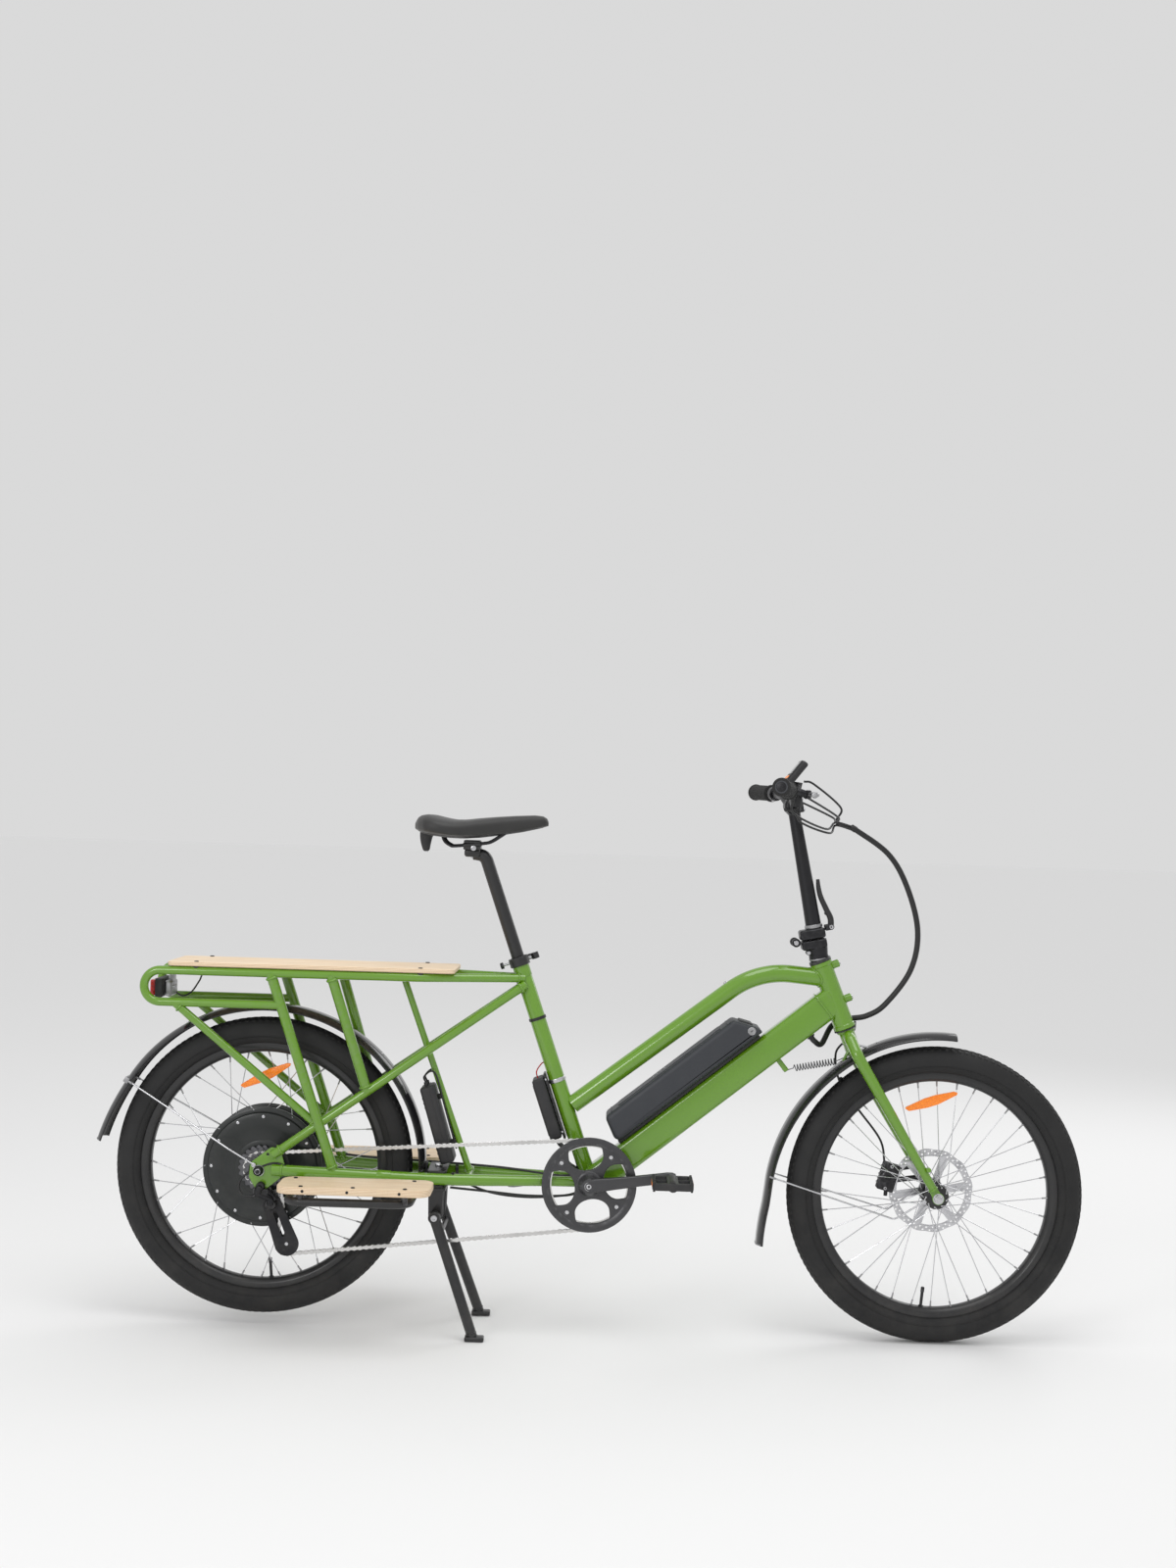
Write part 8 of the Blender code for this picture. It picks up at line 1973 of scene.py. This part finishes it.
def crankShapes():
    place = facingSide(bracket + side * chainY)
    ring = plate([gearLoop(driveSizes["ring"] + 0.0004, driveSizes["teeth"], 0.0042),
                  roundLoop(0, 0, crankSizes["ringInner"], 96)], 0.0026, 0.0004, place, 1)
    windows = [petalLoop(crankSizes["firstArm"] + 45 + 90 * k) for k in range(crankSizes["arms"])]
    spider = plate([roundLoop(0, 0, 0.093, 120)] + windows, 0.0066, 0.0022, facingSide(bracket + side * -0.0533), 3)
    guard = lathe(bracket + side * -0.0555, -side, [
        (0, 0.0838), (0, 0.0985), (0.0006, 0.0993), (0.0028, 0.0993), (0.0036, 0.0985), (0.004, 0.093),
        (0.0038, 0.09), (0.0012, 0.0838)], 144, closed=True)
    armTurns = [crankSizes["firstArm"] + 90 * k for k in range(crankSizes["arms"])]
    pads = [lathe(polar(bracket, t, 0.0735, -0.0556), (0, -1, 0), [
        (0, 0), (0, 0.0078), (0.0014, 0.007), (0.0016, 0.0052), (0.0006, 0.0048), (0.0006, 0)], 32) for t in armTurns]
    bolts = [bolt(polar(bracket, t, 0.0735, -0.056), (0, -1, 0), 0.0042, 0.0016, ring=20) for t in armTurns]
    hub = lathe(bracket + side * -0.05, -side, [(0, 0), (0, 0.031), (0.005, 0.03), (0.0085, 0.0262), (0.0095, 0.02),
        (0.0095, 0)])
    shapes = [(ring, "chainSteel"), (spider, "guardGrey"), (guard, "guardGrey"), (hub, "guardGrey"),
              (merged(pads), "guardGrey"), (merged(bolts), "brightSteel")]
    for hand in (-1, 1):
        way = crankTurn if hand < 0 else -crankTurn
        sections, path = [], []
        for share, height, width in crankSizes["sections"]:
            out = 0.0725 if share > 0.2 else 0.0705
            path.append(bracket + way * crankSizes["reach"] * share + side * hand * out)
            sections.append(roundedSection(height, width, min(height, width) * 0.36, 5))
        shapes.append((sweep(path, sections, up=(-way.z, 0, way.x)), "guardGrey"))
        shapes.append((lathe(bracket + side * hand * (0.047 if hand < 0 else 0.052), (0, hand, 0), [
            (0, 0), (0, 0.019), (0.004, 0.0225), (0.014, 0.0235), (0.02, 0.019), (0.028, 0.0165), (0.03, 0.015),
            (0.0305, 0.011), (0.028, 0.01), (0.028, 0)], 48), "guardGrey"))
        shapes.append((lathe(bracket + side * hand * (0.074 if hand < 0 else 0.079), (0, hand, 0), [
            (0, 0), (0, 0.0098), (0.0034, 0.0098), (0.004, 0.009), (0.0036, 0.0076), (0.002, 0.0072), (0.002, 0)],
            40), "castAlloy"))
        shapes.append((bolt(bracket + side * hand * (0.0755 if hand < 0 else 0.0805), (0, hand, 0), 0.0056, 0.0026,
                            ring=28), "brightSteel"))
        pedalSpot = bracket + way * crankSizes["length"]
        shapes.append((lathe(pedalSpot + side * hand * 0.064, (0, hand, 0),
                             [(0, 0), (0, 0.0058), (0.003, 0.0062), (0.003, 0)], 24), "brightSteel"))
        shapes.append((rod(pedalSpot + side * hand * 0.078, pedalSpot + side * hand * 0.1745, 0.0042, 20, 0.001),
                       "brightSteel"))
        shapes.append((hexNut(pedalSpot + side * hand * 0.0795, (0, hand, 0), 0.0074, 0.005), "brightSteel"))
    shapes.append((rod(bracket - side * 0.07, bracket + side * 0.07, 0.01, 28, 0.001), "darkMetal"))
    return shapes


piece("crankArms", "cranks", "darkMetal", crankShapes(), "crankset")

pedalSizes = {"length": 0.084, "width": 0.095, "height": 0.022, "centreY": 0.1375}


def pedalShapes(hand):
    way = crankTurn if hand < 0 else -crankTurn
    centre = bracket + way * crankSizes["length"] + side * hand * pedalSizes["centreY"]
    length, width, height = pedalSizes["length"], pedalSizes["width"], pedalSizes["height"]
    loops = [flatLoop([(-length / 2, -width / 2), (length / 2, -width / 2), (length / 2, width / 2),
                       (-length / 2, width / 2)], 0.012, 6)]
    for sx in (-1, 1):
        loops.append(flatLoop([(sx * 0.0115, -width / 2 + 0.01), (sx * 0.0345, -width / 2 + 0.01),
                               (sx * 0.0345, width / 2 - 0.01), (sx * 0.0115, width / 2 - 0.01)][::sx], 0.005, 5))
    frameTop = plate(loops, 0.015, 0.0018, placed(centre))
    barrel = lathe(centre - side * (width / 2 - 0.002), side, [(0, 0.0052), (0, 0.0098), (0.0015, 0.0108),
        (0.03, 0.0098), (0.061, 0.0098), (0.0895, 0.0108), (0.091, 0.0098), (0.091, 0.0052)], 36, closed=True)
    studs = []
    for sx in (-1, 1):
        for k in range(6):
            y = -width / 2 + 0.008 + (width - 0.016) * k / 5
            studs.append(box(centre + Vector((sx * 0.0383, y, 0)), (0.0052, 0.005, height - 0.0006), 0.0014, 2))
        studs.append(box(centre + Vector((sx * 0.023, 0, 0)), (0.023, 0.004, 0.013), 0.001, 2))
    lens = [box(centre + Vector((sx * (length / 2 - 0.0006), 0, 0)), (0.003, 0.044, 0.0085), 0.001, 2)
            for sx in (-1, 1)]
    return [frameTop, barrel, merged(studs), (merged(lens), "orangeLens")]


pair("pedal", "{}_pedal", "blackPlastic", pedalShapes, "pedal_{}")
print("cranks and pedals built")

# Derailleur: knuckles on the frame, cage with two pulleys
derailSizes = {"outerY": -0.0568, "innerY": -0.0445}


def derailleurShapes():
    mount = rearAxle + Vector((0.006, 0, -0.031))
    shapes = [lathe(aside(mount, -0.0738), (0, -1, 0),
                    [(0, 0), (0, 0.0088), (0.01, 0.0088), (0.0118, 0.0074), (0.0118, 0.0036), (0.0095, 0.0034),
                     (0.0095, 0)], 32)]
    knuckle = [aside(mount, -0.0795), aside(mount + Vector((-0.004, 0, -0.014)), -0.08),
               aside(guidePulley + Vector((-0.002, 0, 0.014)), -0.074), aside(guidePulley, -0.069)]
    shapes.append(tube(smoothPath(knuckle, 6), [0.0105, 0.0102, 0.0098, 0.0105], 28, edge=0.0016, flat=0.8))
    shapes.append(lathe(aside(guidePulley, -0.0582), (0, -1, 0),
                        [(0, 0), (0, 0.0115), (0.001, 0.0125), (0.014, 0.0125), (0.0172, 0.0105), (0.0174, 0)], 36))
    link = [aside(mount + Vector((0.01, 0, -0.008)), -0.077), aside(guidePulley + Vector((0.01, 0, 0.01)), -0.069)]
    shapes.append(tube(link, [0.0064, 0.0064], 20, edge=0.001, flat=0.7))
    shapes.append(box(axes(aside(mount + Vector((0.0, 0, -0.012)), -0.078), (1, 0, -0.12), (0, 1, 0)),
                      (0.034, 0.012, 0.015), 0.0035))
    barrel = lathe(aside(mount + Vector((-0.01, 0, -0.02)), -0.078), (-0.8, 0, -0.3),
                   [(0, 0), (0, 0.0036), (0.008, 0.0034), (0.0086, 0.0028), (0.0086, 0)], 20)
    screws = [bolt(aside(guidePulley + Vector((x, 0, 0.0105)), -0.0752), (0, -1, 0), 0.002, 0.0012, ring=12)
              for x in (-0.004, 0.003)]
    start = aside(mount + Vector((-0.0165, 0, -0.0225)), -0.078)
    cable = smoothPath([start, start + Vector((-0.02, 0.0, 0.002)), start + Vector((-0.03, 0.004, 0.022)),
                        start + Vector((-0.014, 0.008, 0.045)),
                        rearAxle + Vector((0.03, -0.0745, 0.016)), rearAxle + Vector((0.08, -0.079, 0.006)),
                        rearAxle + Vector((0.2, -0.0745, -0.004))], 8)
    return shapes + [barrel, (merged(screws), "brightSteel"), (tube(cable, 0.0023, 12), "cableBlack")]


piece("derailleurBody", "frame", "darkMetal", derailleurShapes(), "derailleur_body")


def cageShapes():
    shapes = []
    for y, thick, widen in ((derailSizes["outerY"], 0.0016, 0.015), (derailSizes["innerY"], 0.0014, 0.0)):
        a, b = guidePulley, tensionPulley
        way = (b - a).normalized()
        turn = atan2(way.z, way.x)
        loop = []
        for centre, radius, start in ((b, 0.0105 + widen, -90), (a, 0.0118 + widen * 0.5, 90)):
            for k in range(13):
                t = turn + radians(start + 15 * k)
                loop.append((centre.x - a.x + radius * cos(t), centre.z - a.z + radius * sin(t)))
        slot = []
        for centre, start in ((b - way * 0.02, -90), (a + way * 0.022, 90)):
            for k in range(9):
                t = turn + radians(start + 22.5 * k)
                slot.append((centre.x - a.x + 0.004 * cos(t), centre.z - a.z + 0.004 * sin(t)))
        shapes.append(plate([loop, slot], thick, 0.0003, facingSide(aside(a, y)), 1))
    for centre in (guidePulley, tensionPulley):
        wheel = plate([gearLoop(0.0218, 11, 0.0046), roundLoop(0, 0, 0.004, 20)]
                      + [roundLoop(0.0125 * cos(radians(60 * k)), 0.0125 * sin(radians(60 * k)), 0.003, 12)
                         for k in range(6)],
                      0.0034, 0.0006, facingSide(aside(centre, chainY)), 1)
        shapes.append((wheel, "blackPlastic"))
        shapes.append((rod(aside(centre, -0.0452), aside(centre, -0.056), 0.0046, 20), "darkMetal"))
        shapes.append((bolt(aside(centre, -0.0574), (0, -1, 0), 0.0036, 0.0014, ring=18), "brightSteel"))
    return shapes


piece("derailleurCage", "cage", "darkMetal", cageShapes(), "derailleur_cage")
print("derailleur built")

# Kickstand
standSizes = {"knee": 0.0125, "axle": 0.009, "hipY": 0.077, "foot": (0.088, 0.104, 0.008), "barShare": 0.145}


def standShapes():
    shapes, heads, barEnds = [], [], []
    forward, footY, footZ = standSizes["foot"]
    for hand in (-1, 1):
        top, low = aside(standPivot, hand * standSizes["hipY"]), Vector((standPivot.x + forward, hand * footY, footZ))
        way = (low - top).normalized()
        shapes.append(tube([top, top + way * 0.02, low], [0.0116, 0.0112, 0.0108], 28, edge=0.001))
        shapes.append(rod(top - side * hand * 0.0105, top + side * hand * 0.0105, standSizes["knee"], 32, 0.0016))
        heads.append(bolt(top + side * hand * 0.0102, (0, hand, 0), 0.0068, 0.0036, ring=24))
        shapes.append(box((low.x + 0.004, hand * footY, 0.0052), (0.04, 0.024, 0.01), 0.003, 4))
        shapes.append(beadRing(low + Vector((-0.003, 0, 0.006)) - way * 0.001, way, 0.0106, 0.0018))
        barEnds.append(top + (low - top) * standSizes["barShare"])
    shapes.append(rod(aside(standPivot, -0.07), aside(standPivot, 0.07), standSizes["axle"], 28, 0.001))
    return shapes + [tube(barEnds, 0.0055), (merged(heads), "brightSteel")]


piece("kickstandLegs", "stand", "blackPaint", standShapes(), "kickstand")


def standBracketShapes():
    low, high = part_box("stand_bracket")
    shapes, x = [], (low.x + high.x) / 2
    for reach, thickness, depth in ((0.06, 0.0058, 0.008), (0.065, 0.006, 0.044)):
        loop = flatLoop([(-0.02, -reach), (0.02, -reach), (0.02, reach), (-0.02, reach)], 0.006, 6)
        shapes.append(plate([loop], thickness, 0.001, placed((x, 0, high.z - depth))))
    drop = high.z - 0.045 - (standPivot.z - 0.01)
    lug = flatLoop([(-0.016, 0.04), (0.016, 0.04), (0.014, -0.01), (-0.014, -0.01)], 0.009, 8)
    lug = [(u, v if v < 0 else v * drop / 0.04) for u, v in lug]
    for y in (-0.058, 0.058, -0.03, 0.03):
        shapes.append(plate([lug, roundLoop(0, 0, 0.0092, 24)], 0.005, 0.0008, facingSide(aside(standPivot, y)), 1))
    shapes.append(rod((x, 0, high.z - 0.047), (x, 0, high.z - 0.0045), 0.0055, 20, 0.0008))
    heads = [hexNut((x, 0, high.z - 0.0052), (0, 0, 1), 0.009, 0.0052),
             bolt((x, 0, high.z - 0.047), (0, 0, -1), 0.0085, 0.005)]
    return shapes + [(merged(heads), "brightSteel")]


piece("standBracket", "frame", "blackPaint", standBracketShapes(), "stand_bracket")
print("kickstand built")

# Battery, controller, converter and tail light
batterySizes = {"outline": [(0.101, 0.0396), (0.487, 0.0396), (0.487, 0.0516), (0.453, 0.0976), (0.115, 0.0976)],
                "width": 0.085, "railMiddle": (0.291, 0.0353), "railSize": (0.372, 0.046, 0.008)}


def batteryShapes():
    loop = flatLoop(batterySizes["outline"], 0.012, 6)
    place = axes(downFoot, downLine, downUp)
    body = plate([loop], batterySizes["width"], 0.0105, place, 5)
    lid = plate([flatLoop([(0.15, -0.026), (0.42, -0.026), (0.42, 0.026), (0.15, 0.026)], 0.008, 6)], 0.003, 0.0012,
                axes(onDownTube(0, 0.0978), downLine, side), 3)
    grooves = [box(axes(onDownTube(a, 0.0978), downLine, side), (0.0022, batterySizes["width"] - 0.02, 0.0016),
                   0.0006, 2)
               for a in (0.132, 0.437)]
    handle = box(axes(onDownTube(0.469, 0.0745), (downUp * 0.8 - downLine * 0.59).normalized(), side),
                 (0.03, 0.052, 0.0085), 0.003)
    lock = lathe(onDownTube(0.47, 0.056, -batterySizes["width"] / 2 + 0.0006), (0, -1, 0),
                 [(0, 0), (0, 0.0085), (0.001, 0.0085), (0.0016, 0.0074), (0.001, 0.0044), (0.0008, 0)], 32)
    slit = box(axes(onDownTube(0.47, 0.056, -batterySizes["width"] / 2 - 0.0008), downLine, side),
               (0.005, 0.0014, 0.0012))
    charge = lathe(onDownTube(0.15, 0.058, batterySizes["width"] / 2 - 0.0004), (0, 1, 0),
                   [(0, 0), (0, 0.009), (0.0014, 0.0086), (0.0016, 0.006), (0.0012, 0)], 32)
    lights = [bolt(onDownTube(0.245 + 0.01 * k, 0.0992), downUp, 0.0018, 0.001, socket=False, ring=12)
              for k in range(4)]
    return [body, lid, merged(grooves), (handle, "blackPlastic"), (lock, "castAlloy"), (slit, "blackPlastic"),
            (charge, "blackPlastic"), (merged(lights), "clearLens")]


piece("batteryCase", "battery_pack", "caseGrey", batteryShapes(), "battery")


def batteryRailShapes():
    middle = onDownTube(*batterySizes["railMiddle"])
    length, width, height = batterySizes["railSize"]
    shapes = [box(axes(middle, downLine, side), (length, width, height), 0.0018)]
    shapes.append(box(axes(onDownTube(0.132, 0.0368), downLine, side), (0.052, 0.04, 0.0125), 0.0024))
    bolts = [bolt(onDownTube(a, 0.0388), downUp, 0.004, 0.001, ring=16) for a in (0.2, 0.29, 0.38)]
    return shapes + [(merged(bolts), "brightSteel")]


piece("batteryRail", "frame", "blackPlastic", batteryRailShapes(), "battery_rail")


def controllerShapes():
    base = bracket + 0.1735 * seatLine
    place = axes(base + 0.0378 * seatBack, seatLine, side)
    case = box(place, (0.133, 0.064, 0.0255), 0.005, 4)
    fins = [box(axes(base + 0.0504 * seatBack + side * y, seatLine, side), (0.112, 0.003, 0.003), 0.0008, 2)
            for y in (-0.024, -0.016, -0.008, 0, 0.008, 0.016, 0.024)]
    sheet = box(axes(base + 0.0213 * seatBack, seatLine, side), (0.145, 0.044, 0.0046), 0.0012, 2)
    strap = lathe(base + 0.05 * seatLine, seatLine, [(-0.004, 0.017), (-0.004, 0.0182), (-0.003, 0.0187),
        (0.003, 0.0187), (0.004, 0.0182), (0.004, 0.017)], 40, closed=True)
    studs = [bolt(base + 0.0218 * seatBack + lift * seatLine - side * 0.0222, (0, -1, 0), 0.0022, 0.0012, ring=14)
             for lift in (-0.056, 0.06)]
    bolts = [bolt(base + lift * seatLine + seatBack * 0.0498 + side * y, seatBack, 0.0028, 0.0014, ring=14)
             for lift in (-0.0605, 0.0605) for y in (-0.025, 0.025)]
    mouth = base + 0.0378 * seatBack - 0.066 * seatLine
    wires = []
    for k, y in enumerate((-0.02, -0.01, 0.0, 0.01, 0.02)):
        start = mouth + side * y
        path = smoothPath([start + seatLine * 0.004, start - seatLine * 0.012,
                           start - seatLine * 0.026 - seatBack * 0.006,
                           aside(bracket, y * 0.6) + Vector((-0.046, 0, 0.036)),
                           aside(bracket, y * 0.5) + Vector((-0.02, 0, 0.02))], 8)
        wires.append(tube(path, 0.0022, 12))
    red = smoothPath([base + 0.0378 * seatBack + 0.062 * seatLine + side * -0.006,
                      base + 0.036 * seatBack + 0.08 * seatLine + side * -0.008,
                      base + 0.022 * seatBack + 0.092 * seatLine - side * 0.004,
                      base + 0.013 * seatBack + 0.094 * seatLine], 6)
    return [case] + fins + [(sheet, "blackPaint"), (strap, "brightSteel"), (merged(studs + bolts), "brightSteel"),
                            (merged(wires), "cableBlack"), (tube(red, 0.0014, 10), "redLens")]


piece("controllerCase", "frame", "blackPlastic", controllerShapes(), "controller_case")

converterSizes = {"top": (0.354, 0, 0.183), "line": (0.2981, 0, -0.9545), "back": (-0.9545, 0, -0.2981),
                  "length": 0.168, "depth": 0.031, "width": 0.06}


def converterShapes():
    top, line, back = (Vector(converterSizes[k]) for k in ("top", "line", "back"))
    top += rearAxle
    centre = top + line * converterSizes["length"] / 2 + back * converterSizes["depth"] / 2
    place = axes(centre, line, side)
    case = box(place, (converterSizes["length"], converterSizes["width"], converterSizes["depth"]), 0.006, 4)
    lip = box(place @ placed((0, 0, 0.004)), (converterSizes["length"] + 0.0012, converterSizes["width"] + 0.0012,
        0.002), 0.0009, 2)
    ribs = [box(axes(centre + back * 0.0157 + line * off, line, side),
                (0.0022, converterSizes["width"] - 0.014, 0.0022), 0.0007, 2)
            for off in (-0.06, -0.05, -0.04, 0.04, 0.05, 0.06)]
    feet = [rod(top + line * along + back * 0.002, top + line * along - back * 0.012, 0.006, 20, 0.0008)
            for along in (0.03, 0.13)]
    plugs = [rod(top + line * 0.004 + back * 0.016 + side * y, top - line * 0.0085 + back * 0.016 + side * y, 0.0044,
                 18, 0.0008) for y in (-0.014, 0.014)]
    wires = []
    for y, sway in ((-0.014, -0.006), (0.014, 0.004)):
        start = top - line * 0.008 + back * 0.016 + side * y
        path = smoothPath([start, start - line * 0.012, start - line * 0.02 - back * 0.018 + side * sway,
                           start - line * 0.004 - back * 0.026 + side * sway * 0.4,
                           top + line * 0.06 - back * 0.0085 + side * y * 0.8,
                           top + line * 0.145 - back * 0.0085 + side * y * 0.8], 8)
        wires.append(tube(path, 0.002, 12))
    return [case, lip, merged(ribs), merged(plugs), (merged(feet), "blackPaint"), (merged(wires), "cableBlack")]


piece("converterCase", "frame", "blackPlastic", converterShapes(), "converter_case")

tailSizes = {"house": (-0.907659, 0, 0.703), "lens": (-0.928459, 0, 0.703), "lensSize": (0.011, 0.084, 0.034)}


def tailLightShapes():
    house = box((-0.914659, 0, 0.703), (0.016, 0.09, 0.04), 0.005, 4)
    holder = box((-0.899659, 0, 0.701), (0.017, 0.058, 0.033), 0.005, 4)
    fin = plate([flatLoop([(-0.008, -0.014), (0.0085, -0.014), (0.0065, 0.004), (-0.002, 0.024), (-0.0045, 0.024)],
                          0.002)], 0.004, 0.0008, facingSide((-0.898659, 0, 0.708)))
    rim = box(Vector(tailSizes["house"]) + Vector((-0.0135, 0, 0)), (0.003, 0.09, 0.04), 0.0012, 2)
    strip = box((-0.893659, 0, 0.717), (0.003, 0.03, 0.06), 0.0008, 2)
    top = box((-0.893659, 0, 0.735), (0.014, 0.026, 0.004), 0.001, 2)
    screws = [bolt((-0.8918, y, 0.705), (1, 0, 0), 0.0032, 0.002, ring=16) for y in (-0.01, 0.01)]
    ribs = [box((-0.9063, y, 0.703), (0.0016, 0.0024, 0.026), 0.0005, 2) for y in (-0.038, -0.034, 0.034, 0.038)]
    wire = smoothPath([(-0.8935, 0.018, 0.69), (-0.878, 0.02, 0.682), (-0.862, 0.03, 0.69), (-0.85, 0.048, 0.712),
                       (-0.842, 0.066, 0.7295), (-0.8, 0.0675, 0.735), (-0.7, 0.0675, 0.735), (-0.6, 0.0675, 0.735)],
                       8)
    return [house, rim, merged(ribs), (merged([holder, fin, strip, top]), "castAlloy"),
            (merged(screws), "brightSteel"), (tube(wire, 0.0018, 12), "cableBlack")]


piece("tailLightHouse", "frame", "blackPlastic", tailLightShapes(), "tail_light")


def tailLensShapes():
    lens = box(tailSizes["lens"], tailSizes["lensSize"], 0.0036, 4)
    mirror = box(Vector(tailSizes["lens"]) + Vector((-0.0052, 0, -0.0095)), (0.0016, 0.07, 0.009), 0.0006, 2)
    ribs = [box(Vector(tailSizes["lens"]) + Vector((-0.0054, y, 0.0045)), (0.0012, 0.002, 0.016), 0.0004, 2)
            for y in [-0.033 + 0.006 * k for k in range(12)]]
    return [lens, merged(ribs), (mirror, "clearLens")]


piece("tailLens", "frame", "redLens", tailLensShapes(), "tail_lens")

# Cables that hang below the chainstays, their clips, a clip on the seat tube and the motor lead along the left
# chainstay
routeSizes = {"radius": 0.0025}


def frameCableShapes():
    low = []
    for y, dip in ((-0.01, 0.012), (0.004, 0.018)):
        path = around(bracket, (-0.016, y, -0.0235), (-0.05, y - 0.004, -0.027 - dip * 0.4),
                      (-0.13, y - 0.016, -0.02 - dip), (-0.21, y - 0.03, -0.016 - dip * 0.6),
                      (-0.29, -0.056 if y < 0 else 0.052, -0.014))
        low.append(tube(smoothPath(path), routeSizes["radius"], 12))
    clips = [lathe(bracket + Vector((-0.285, h * 0.0545, 0.0032)), (1, 0.1 * h, 0),
                   [(-0.003, 0.0123), (-0.003, 0.0138), (0.003, 0.0138), (0.003, 0.0123)], 28,
                   closed=True) for h in (-1, 1)]
    clips.append(lathe(bracket + 0.36 * seatLine, seatLine,
                       [(-0.003, 0.017), (-0.003, 0.0186), (0.003, 0.0186), (0.003, 0.017)], 36, closed=True))
    motorLead = smoothPath(around(rearAxle, (0.004, 0.072, -0.006), (0.02, 0.08, -0.018), (0.06, 0.086, -0.022),
                                  (0.12, 0.083, -0.018), (0.24, 0.072, -0.022), (0.36, 0.062, -0.024)))
    return low + clips + [tube(motorLead, 0.0032, 14)]


piece("frameCables", "frame", "cableBlack", frameCableShapes())
print("electrics and cables built")

# The CAD's own nodes take these finishes, for a view without the pieces
nodeFinishes = {
    "greenPaint": ["main_frame", "side_frame_right", "side_frame_left", "rack_rail_right", "rack_rail_left", "fork",
                   "chainstay_right", "chainstay_left"],
    "blackPaint": ["centre_strut", "footboard_frame", "kickstand", "stand_bracket", "seatpost", "stem_post",
                   "handlebar",
                   "stem_base", "stem_latch", "front_rim", "rear_rim", "seat_clamp", "seat_clamp_lever", "front_hub"],
    "birchPly": ["deck_board", "footboard_right", "footboard_left"],
    "glossPlastic": ["rear_mudguard", "front_mudguard"],
    "blackPlastic": ["tail_light", "controller_case", "converter_case", "battery_rail", "display", "cable_loom",
                     "pedal_right", "pedal_left", "brake_lever_right", "brake_lever_left", "shift_lever"],
    "caseGrey": ["battery"], "saddleVinyl": ["saddle"],
    "gripRubber": ["grip_right", "grip_left"],
    "tyreRubber": ["front_tyre", "rear_tyre"],
    "motorBlack": ["hub_motor"], "redLens": ["tail_lens"],
    "orangeLens": ["front_reflector", "rear_reflector"],
    "chainSteel": ["chain", "cassette"], "brightSteel": ["front_rotor", "rear_rotor", "rear_axle", "front_axle"],
    "darkMetal": ["crankset", "derailleur_body", "derailleur_cage", "rear_caliper", "front_caliper",
                  "steering_spring"],
}
for finishName, nodes in nodeFinishes.items():
    for node in nodes:
        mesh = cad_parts[node].data
        mesh.materials.clear()
        mesh.materials.append(finishes[finishName])
print("CAD nodes finished")
